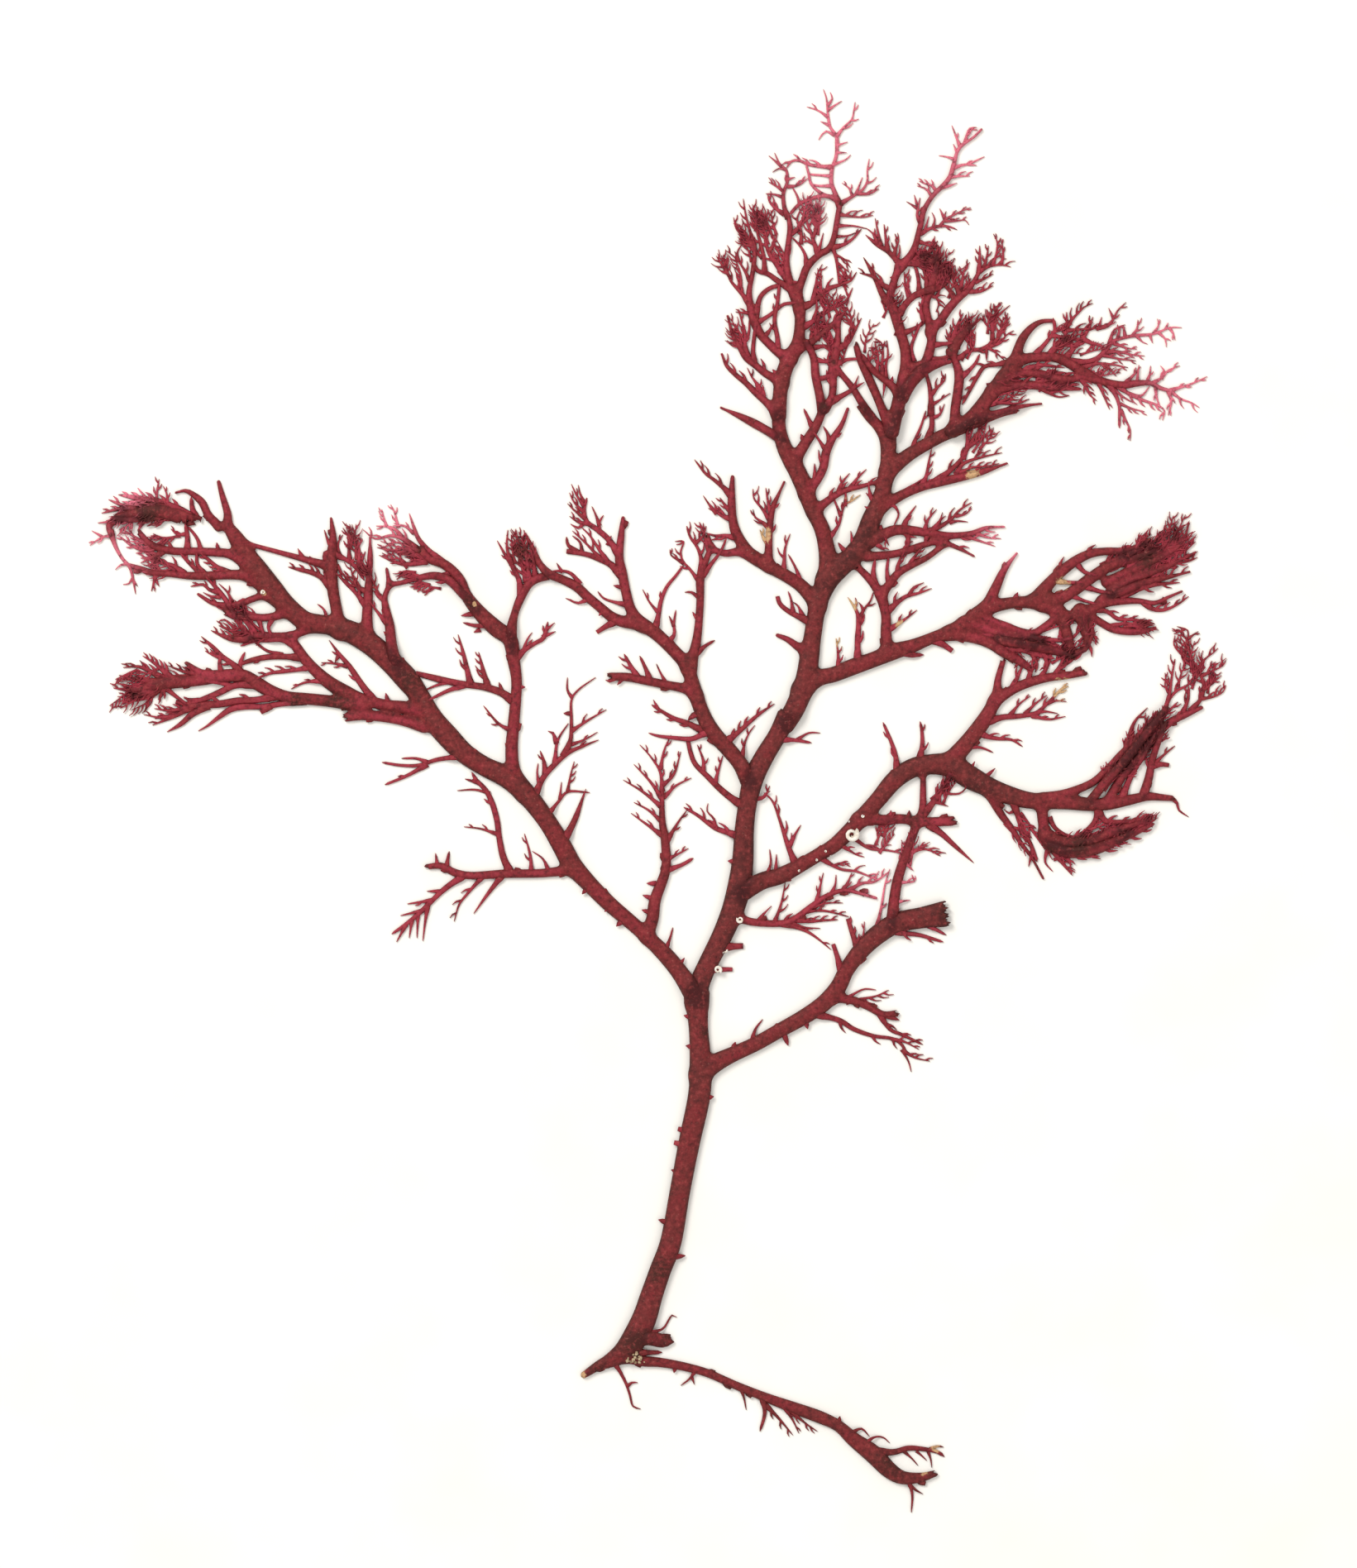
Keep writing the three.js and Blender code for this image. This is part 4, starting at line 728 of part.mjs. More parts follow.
// Right plume of the crown and the tufts round it.
const TOP_RIGHT = [
  [1.0, 0.5, [], [23.6, 38.2], [22.6, 40.9, 0.9], [21.6, 43.2, 0.9], [20.7, 45.2, 0.8], [20.2, 46.8]],
  [1.5, 1.0, [], [23.9, 37.8], [24.4, 40, 1.4], [24.9, 42, 1.5], [25.3, 44, 1.3], [25.3, 46, 1.1],
  [24.8, 48, 1.1], [24.2, 50, 1.1], [23.7, 51.4, 0.9], [24.0, 52.8, 0.8], [24.4, 54, 0.8], [24.9, 55.0]],
  [1.0, 0.12, [], [24.8, 54.8], [25.7, 55.7, 0.8], [26.3, 56.8, 0.7], [26.6, 58, 0.6], [26.9, 59.2, 0.6],
  [27.1, 60.3, 0.6], [27.5, 61.1, 0.5], [28.1, 62, 0.5], [28.8, 62.7, 0.5], [29.4, 63.3, 0.5],
  [29.9, 64, 0.5], [30.2, 65, 0.5], [30.4, 65.8, 0.4], [30.6, 66.5, 0.35], [31, 67.1, 0.4],
  [31.7, 67.6, 0.3], [32.3, 68.0], [33.1, 68.8]],
  [0.4, 0.15, ['R', 1, 0.4], [26.8, 59.2], [26.5, 60], [26.6, 60.8], [26.8, 61.8]],
  [0.3, 0.12, [], [26.5, 60.7], [25.9, 61.1], [25.4, 61.4]],
  [0.25, 0.12, [], [26.5, 61.0], [26.2, 62.1]],
  [0.35, 0.12, ['R', 2, 0.5], [28.0, 61.9], [27.6, 62.5], [27.2, 62.8], [26.5, 63.0]],
  [0.35, 0.12, ['R', 3, 0.5], [28.5, 62.4], [28, 63.0], [27.4, 63.2], [26.7, 63.5]],
  [0.5, 0.15, ['R', 2, 0.4], [26.8, 58.1], [28, 58.7, 0.4], [29, 58.9, 0.4], [29.9, 58.8], [30.6, 58.5]],
  [0.35, 0.12, ['A', 6, 0.5], [28.8, 58.8], [29.4, 59.6], [30.2, 60], [31, 60.4], [32.0, 60.8]],
  [0.3, 0.12, ['L', 2, 0.4], [29.3, 59.4], [30.4, 59.4], [31.4, 59.5], [31.8, 59.0]],
  [0.3, 0.12, [], [27.3, 58.4], [27.7, 59.9]],
  [0.3, 0.12, [], [28.1, 58.7], [28.3, 59.6], [28, 60.3]],
  [0.3, 0.12, [], [29.3, 59.6], [28.8, 60.7]],
  [0.35, 0.12, [], [29.0, 62.8], [29.8, 63], [30.6, 63.3]],
  [0.35, 0.12, ['L', 2, 0.7], [29.9, 63.9], [31, 64], [31.9, 64]],
  [0.35, 0.12, ['L', 1, 0.4], [30.2, 64.8], [31, 65.1], [31.9, 65.3], [33.4, 66.0]],
  [0.25, 0.12, [], [31.7, 65.2], [32.6, 65.1]],
  [0.3, 0.12, [], [30.4, 65.7], [29.4, 66], [28.7, 66.1]],
  [0.25, 0.12, [], [30.6, 66.3], [30.2, 67.3]],
  [0.35, 0.12, ['R', 1, 0.4], [30.9, 67.0], [30.5, 68], [30.05, 69.2]],
  [0.35, 0.12, ['R', 3, 0.5], [31.4, 67.4], [31.6, 68.3], [31.9, 68.9], [32.6, 69.0]],
  [0.9, 0.12, ['R', 2, 0.6], [24.0, 50.4], [23.0, 51.8, 0.8], [22.3, 53.3, 0.6], [21.7, 54.5, 0.5],
  [21.0, 55.7]],
  [0.6, 0.12, ['R', 3, 0.8], [23.9, 52.3], [22.8, 53, 0.5], [22, 53.7, 0.4], [20.6, 54.1]],
  [0.5, 0.3, [], [24.3, 53.6], [23.7, 53.6]],
  [0.7, 0.12, [], [24.9, 54.8], [24, 55.8, 0.6], [23.4, 56.4, 0.6], [22.4, 57, 0.5], [21.2, 58.0]],
  [0.5, 0.12, ['R', 2, 0.5], [23.5, 56.3], [23.3, 57.6], [23.1, 59.1]],
  [0.45, 0.12, ['A', 2, 0.4], [22.8, 56.8], [22.5, 58.2], [22.2, 59.7]],
  [0.4, 0.12, ['R', 1, 0.5], [22.5, 57.0], [21.9, 58.2], [21.2, 58.7]],
  [0.45, 0.12, ['L', 3, 0.6], [24.1, 55.6], [24.3, 56.6], [24.6, 57.4], [24.5, 58.2]],
  [0.35, 0.12, [], [24.4, 55.3], [24.7, 56.2], [24.7, 57.0]],
  [0.9, 0.6, [], [24.6, 49.8], [25.4, 51.0, 0.8], [26.3, 51.8, 0.8], [27.4, 52.2, 0.9], [28.6, 52.6, 0.9],
  [29.4, 53.2, 0.8], [30.0, 54.2]],
  [0.4, 0.15, ['R', 3, 0.8], [25.7, 51.4], [25.3, 52.6], [25.2, 54.2]],
  [0.4, 0.15, ['L', 2, 0.6], [25.9, 51.6], [25.5, 52.8], [25.7, 54.0]],
  [0.5, 0.4, [], [26.7, 52.0], [26.6, 53.6], [26.2, 55.1]],
  [0.5, 0.4, ['L', 2, 0.6], [27.5, 52.2], [27.4, 53.6], [27.0, 55.0]],
  [1.0, 0.2, ['A', 8, 0.9], [27.8, 52.2], [28.2, 53.6, 0.9], [28.5, 55, 0.8], [28.6, 56.9]],
  [0.9, 0.2, ['A', 6, 0.8], [28.6, 52.6], [29.2, 54.0, 0.8], [29.8, 55.3]],
  [0.8, 0.2, ['L', 6, 0.9], [25.4, 55.2], [26.8, 55.0, 0.8], [28, 55.2, 0.8], [29.2, 56.2]],
  [0.6, 0.2, ['L', 5, 0.8], [26.0, 55.3], [27.0, 55.9, 0.6], [28.0, 56.4], [28.6, 57.4]],
  [0.45, 0.15, ['L', 3, 0.6], [26.6, 57.3], [27.5, 57.0], [28.2, 56.4]],
  [0.45, 0.3, [], [26.3, 56.2], [27.4, 55.9]],
  [1.0, 0.6, [], [25.2, 43.4], [26.4, 44.4, 1.1], [27.3, 44.8, 1.1], [27.8, 46.2, 1.0], [28.0, 47.6, 0.9],
  [27.7, 49.0, 0.8], [27.4, 50.6, 0.8], [27.7, 52.2]],
  [1.5, 0.6, [], [24.9, 41.4], [25.9, 42.9, 1.3], [27.2, 44.2, 1.3], [28.6, 44.8, 0.9], [29.8, 45.1]],
  [1.0, 0.4, [], [27.8, 48.0], [28.8, 49.1, 0.9], [29.7, 50.4, 0.9], [30.7, 51.5, 0.8], [31.7, 52.3, 0.6],
  [32.3, 53.2, 0.5], [32.9, 54.3]],
  [0.4, 0.3, [], [29.6, 50.0], [29.3, 50.3]],
  [0.5, 0.12, ['L', 2, 0.5], [32.8, 54.0], [32.9, 55.4, 0.4], [32.9, 56.9]],
  [0.45, 0.12, ['L', 3, 1.0], [32.8, 54.2], [34, 54.8, 0.35], [35.2, 54.9], [36.1, 54.7]],
  [0.4, 0.12, ['A', 3, 0.6], [33.3, 54.5], [33.6, 55.6], [33.8, 56.9]],
  [0.4, 0.12, ['R', 5, 0.5], [34.2, 54.8], [34.6, 56], [34.7, 57.2], [34.3, 58.1]],
  [0.3, 0.12, ['A', 4, 0.4], [35.1, 54.9], [35.3, 56.0], [35.1, 57.6]],
  [0.6, 0.4, [], [30.4, 51.2], [29.9, 52.2], [29.2, 52.9]],
  [0.6, 0.12, ['A', 3, 0.6], [30.9, 51.6], [30.6, 52.6], [30.2, 53.7], [30.1, 55.2]],
  [0.5, 0.12, ['A', 5, 0.7], [30.8, 52.0], [31.1, 53.2], [31.3, 54.3], [31.9, 55.2]],
  [0.4, 0.12, ['L', 3, 0.6], [31.0, 52.2], [31.7, 52.8], [32.0, 53.6]],
  [0.5, 0.12, ['L', 3, 0.7], [31.8, 52.2], [33, 52.2], [34.3, 52.8]],
  [0.4, 0.12, ['L', 2, 0.6], [32.4, 53.1], [33.4, 53.5], [34.3, 54.0]],
  [0.4, 0.12, ['L', 4, 0.8], [27.7, 51.8], [28.5, 51.5], [28.7, 50.8], [28.4, 50.1]],
  [0.6, 0.4, [], [24.9, 47.8], [26.2, 48.4], [27.3, 49.0]],
  [0.5, 0.3, ['L', 3, 0.6], [26.2, 45.0], [25.9, 46.4], [26.4, 47.9], [27.0, 49.2]],
  [0.5, 0.3, ['L', 3, 0.5], [27.3, 49.0], [26.9, 50.2], [27.2, 51.8]],
  [1.0, 0.5, [], [24.9, 41.2], [23.8, 42.6, 0.8], [22.8, 43.4, 0.7], [22, 44.1, 0.7], [20.9, 45.5]],
  [0.5, 0.12, ['A', 5, 0.6], [22.9, 43.4], [22.9, 44.8], [23, 46], [22.8, 47], [22.1, 47.4]],
  [0.45, 0.12, ['A', 3, 0.5], [23.3, 43.2], [23.3, 44.6], [23.5, 45.7], [23.4, 47.2]],
  [0.45, 0.12, ['L', 3, 0.6], [22.3, 43.9], [22.5, 45.3], [22.3, 46.4], [21.5, 46.4]],
  [0.4, 0.12, [], [21.6, 44.5], [21.5, 45.9]],
  [0.35, 0.12, [], [23.2, 43.0], [23.0, 41.3]],
  [0.4, 0.3, [], [23.8, 42.7], [24.0, 43.5]],
  [0.7, 0.4, [], [27.9, 39.4], [27.9, 41.2, 0.6], [27.7, 42.8], [27.2, 44.2]],
  [0.5, 0.15, ['L', 3, 0.7], [27.9, 41.6], [28.7, 42.5], [29.3, 43.1], [29.4, 43.8]],
  [0.35, 0.12, ['L', 1, 0.4], [27.9, 40.5], [29, 41.2], [29.9, 41.8]],
  [0.4, 0.12, ['L', 1, 0.4], [27.9, 39.2], [28.8, 39.6], [29.3, 40.7]],
  [1.2, 0.6, [], [30.3, 38.0], [30.4, 40.2, 1.0], [30.7, 42.2, 1.0], [30.8, 43.6, 1.0], [30.5, 44.8, 0.8],
  [29.9, 46.2]],
  [0.6, 0.3, [], [30.9, 43.3], [31.8, 44.1], [32.5, 44.9], [32.9, 45.8]],
  [0.6, 0.3, ['R', 2, 0.7], [30.9, 45.2], [31.7, 46.1, 0.5], [33.1, 46.3, 0.5], [34.1, 47],
  [34.2, 48.3], [33.6, 50.4]],
  [0.6, 0.5, [], [30.0, 45.3], [30.8, 45.4], [31.4, 45.9]],
  [1.1, 0.12, ['L', 4, 0.9], [30.0, 45.9], [30.7, 47.2, 1.1], [31.6, 48.3, 0.7], [33.0, 49.4]],
  [0.8, 0.15, ['A', 5, 0.8], [30.1, 46.2], [30.3, 47.8, 0.6], [30.7, 48.9], [31.2, 50.0]],
  [0.6, 0.15, ['A', 3, 0.6], [30.8, 47.2], [31.4, 48.5], [31.8, 49.7]],
  [0.5, 0.12, ['L', 2, 0.5], [29.9, 46.4], [29.8, 47.6], [30.2, 48.7]],
  [0.6, 0.4, [], [27.7, 46.6], [29.0, 46.8], [30.2, 46.9]],
  [0.6, 0.4, [], [28.0, 45.2], [29.2, 45.3], [30.2, 45.9]],
  [0.45, 0.12, ['A', 6, 0.7], [34.2, 47.2], [34.2, 48.6], [34.4, 49.8], [34.9, 51.1]],
  [0.4, 0.12, ['A', 5, 0.6], [34.2, 46.8], [35, 47.7], [35.4, 48.8], [35.8, 50.0]],
  [0.4, 0.12, ['A', 4, 0.6], [33.9, 46.6], [35, 46.9], [35.6, 47.7], [36.4, 48.2]],
  [0.35, 0.12, ['A', 3, 0.5], [33.7, 46.5], [34.6, 45.9], [35.4, 45.2]],
  [0.3, 0.12, [], [34.4, 49.4], [35.2, 50.1], [36.0, 50.8]],
  [0.3, 0.2, [], [33.6, 46.5], [33.6, 45.1]],
  [0.7, 0.3, ['R', 5, 0.6], [36.2, 45.0], [34.6, 44.7, 0.5], [33.4, 44.5, 0.5], [32.6, 43.4, 0.5],
  [31.9, 42.1],
  [31.1, 40.6]],
];
// Long arm that leaves the crown fork to the right and its two outer plumes.
const OUTER_RIGHT = [
  [1.5, 0.4, [], [30.0, 37.9], [31.6, 38.9, 1.4], [33, 40.3, 1.5], [34.4, 42.2, 1.5], [35.6, 43.7, 1.5],
  [36.4, 45, 1.2], [36.8, 46.2, 1.0], [37.3, 47.4, 0.9], [38.2, 48.5, 0.7], [39.2, 49.1, 0.5],
  [40.4, 49.2]],
  [1.3, 0.8, [], [36.0, 44.7], [37.6, 45.3, 1.1], [39.2, 45.5, 1.0], [40.8, 45.4, 1.0], [42.2, 44.8, 1.1],
  [43.2, 44.1, 1.0], [44.4, 43.3]],
  [1.2, 0.4, ['L', 6, 0.9], [35.3, 43.4], [37.2, 43.8, 0.9], [38.8, 43.8, 0.9], [40.4, 43.4, 0.9],
  [42, 43.2, 0.8], [43.6, 43.4]],
  [1.2, 0.3, ['L', 6, 0.9], [34.2, 42.0], [36, 42.4, 0.9], [38, 42.6, 0.9], [40, 42.4, 0.8],
  [41.6, 42.3, 0.6],
  [43.2, 42.2]],
  [0.6, 0.12, [], [38.8, 42.6], [40.0, 41.8, 0.4], [41, 41.4], [42.0, 41.5]],
  [1.0, 0.12, [], [32.0, 39.0], [34.4, 39.6, 0.8], [36, 40.1, 0.6], [37.6, 40.5, 0.4], [39.2, 40.7]],
  [0.7, 0.15, ['L', 3, 0.8], [33.2, 40.5], [35, 40.8, 0.5], [36.6, 40.7], [38.0, 41.2]],
  [0.6, 0.15, ['L', 3, 0.6], [37.4, 44.0], [38.8, 44.6, 0.5], [40.0, 44.6], [41.6, 44.4]],
  [0.6, 0.4, ['L', 1, 0.6], [38.2, 45.4], [39.2, 46.4], [40.2, 47.6], [40.6, 48.3], [40.4, 49.5]],
  [0.7, 0.15, ['A', 5, 0.7], [39.8, 45.4], [40.8, 46.7, 0.6], [41.6, 47.6, 0.5], [41.8, 48.7, 0.4],
  [41.8, 50.1]],
  [0.7, 0.15, ['A', 5, 0.7], [41.6, 45.2], [42.6, 46.5, 0.6], [43.5, 47.5, 0.6], [44.1, 48.5, 0.4],
  [44.5, 49.6]],
  [0.45, 0.12, ['L', 4, 0.8], [41.7, 48.4], [42.4, 49.4], [43, 50], [43.6, 50.6], [44.5, 51.0]],
  [0.45, 0.15, ['L', 4, 0.8], [41.7, 48.2], [43.2, 48.3], [44.6, 48.4], [45.6, 48.5], [46.0, 48.7]],
  [0.45, 0.3, ['R', 2, 0.5], [40.3, 47.7], [42, 47.4], [43.5, 47.3]],
  [0.45, 0.2, [], [41.0, 46.8], [42.2, 46.6], [43.2, 46.6]],
  [0.5, 0.3, [], [43.3, 47.4], [44.4, 46.9, 0.4], [45.2, 46.7], [46.0, 46.1]],
  [0.8, 0.12, [], [42.0, 45.0], [43.8, 45.0, 0.6], [45, 45.4, 0.6], [45.8, 46.2, 0.6], [46.6, 47.1, 0.5],
  [47.8, 47.5, 0.4], [49, 47.7, 0.4], [50.4, 47.8, 0.35], [51.4, 48.1, 0.3], [52.4, 48.5], [53.6, 48.5]],
  [0.45, 0.12, ['R', 2, 0.4], [46.2, 46.8], [46.5, 48.0], [47, 48.5], [47.8, 48.8]],
  [0.35, 0.2, ['L', 1, 0.6], [47.0, 47.3], [47.3, 48.6]],
  [0.35, 0.2, [], [47.8, 47.5], [47.6, 48.7]],
  [0.35, 0.12, ['R', 2, 0.7], [48.5, 47.6], [49, 48.4], [49.1, 49.3]],
  [0.3, 0.12, ['R', 1, 0.4], [50.7, 47.9], [51.2, 48.7], [51.1, 49.4]],
  [0.25, 0.12, [], [51.9, 48.3], [52.2, 49.0]],
  [0.35, 0.12, [], [48.9, 47.7], [49.6, 47.0], [50.1, 46.8]],
  [0.3, 0.12, [], [50.3, 47.8], [50.6, 46.9]],
  [0.3, 0.12, ['L', 1, 0.4], [51.2, 48.0], [51.9, 47.3], [52.0, 46.5]],
  [0.3, 0.12, ['R', 1, 0.4], [52.3, 48.5], [52.7, 47.9], [52.9, 47.2]],
  [0.5, 0.12, ['A', 6, 0.6], [45.4, 46.0], [47.2, 46.0, 0.4], [48.6, 45.7], [49.8, 45.6]],
  [0.4, 0.12, ['A', 4, 0.5], [45.4, 45.7], [47.2, 45.3], [48.9, 45.1]],
  [0.4, 0.12, ['A', 3, 0.5], [46.6, 46.9], [48, 46.4], [49.0, 46.3]],
  [0.5, 0.12, ['A', 4, 0.5], [43.4, 44.4], [45.0, 44.8, 0.4], [46.6, 44.7], [48.1, 44.4]],
  [0.4, 0.12, [], [45.6, 44.8], [46.3, 44.2], [46.9, 43.5]],
  [0.45, 0.12, ['R', 3, 0.5], [44.8, 48.4], [46, 48.7], [46.6, 49.4], [47, 50.2], [47.9, 51.1]],
  [0.3, 0.12, [], [46.6, 49.4], [46.1, 50.5]],
  [0.3, 0.12, [], [45.1, 48.5], [45.4, 49.6]],
  [1.0, 0.3, [], [43.6, 43.8], [44.8, 43.2, 0.9], [46.2, 42.8, 0.8], [47.6, 42.6, 0.8], [49, 42.8, 0.7],
  [50.4, 42.8, 0.5], [51.4, 42.3, 0.45], [52.6, 42.0]],
  [0.4, 0.12, ['A', 4, 0.5], [52.2, 42.0], [53.2, 42.3], [54.2, 42.6], [55.2, 43], [56.2, 43.5]],
  [0.4, 0.12, ['R', 2, 0.9], [52.4, 42.0], [53.5, 41.2], [54.6, 40.8], [55.4, 40.3]],
  [0.45, 0.15, ['L', 1, 0.5], [47.8, 42.8], [48.6, 43.6], [49.4, 44.5]],
  [0.3, 0.15, [], [49.0, 43.0], [49.2, 44.7]],
  [0.35, 0.12, ['R', 1, 0.4], [50.0, 42.9], [50.3, 43.7], [50.4, 44.6]],
  [0.4, 0.12, ['A', 3, 0.6], [50.6, 42.8], [51.6, 43.4], [52.2, 44.1], [53.4, 44.6]],
  [0.3, 0.12, [], [51.5, 43.2], [51.8, 44.0], [51.4, 44.6]],
  [0.4, 0.12, ['R', 2, 0.4], [50.9, 42.6], [51, 41.4], [51.4, 40.3]],
  [0.4, 0.12, ['A', 3, 0.5], [52.2, 42.0], [52.5, 40.9], [52.2, 39.5]],
  [0.6, 0.3, [], [46.0, 42.8], [46.8, 41.6, 0.5], [47.2, 40.4, 0.4], [47.2, 39.2], [47.2, 38.2]],
  [0.4, 0.12, ['R', 3, 0.4], [47.3, 40.1], [47.9, 38.9], [48.3, 38.0], [48.3, 36.9]],
  [0.5, 0.12, ['L', 3, 0.6], [45.0, 43.0], [45.6, 41.6], [46.2, 40.1]],
  [0.5, 0.12, ['R', 5, 0.8], [47.0, 42.5], [48.4, 41.6, 0.4], [49.8, 41, 0.4], [51, 40.6], [51.8, 40],
  [51.6, 39.0]],
  [0.35, 0.12, ['R', 3, 0.6], [47.3, 40.7], [48.5, 40.2], [49.8, 39.9]],
  [0.35, 0.15, ['R', 1, 0.5], [46.6, 42.2], [47.6, 41.4], [48.6, 40.8]],
  [0.35, 0.15, [], [48.0, 41.8], [49.4, 41.5], [50.3, 42.5]],
  [0.6, 0.12, ['A', 4, 0.6], [43.0, 43.8], [43.7, 42.6, 0.5], [44.2, 41.6], [44.9, 41.0]],
  [0.35, 0.15, [], [43.4, 43.0], [44.2, 42.4], [44.6, 42.0]],
];
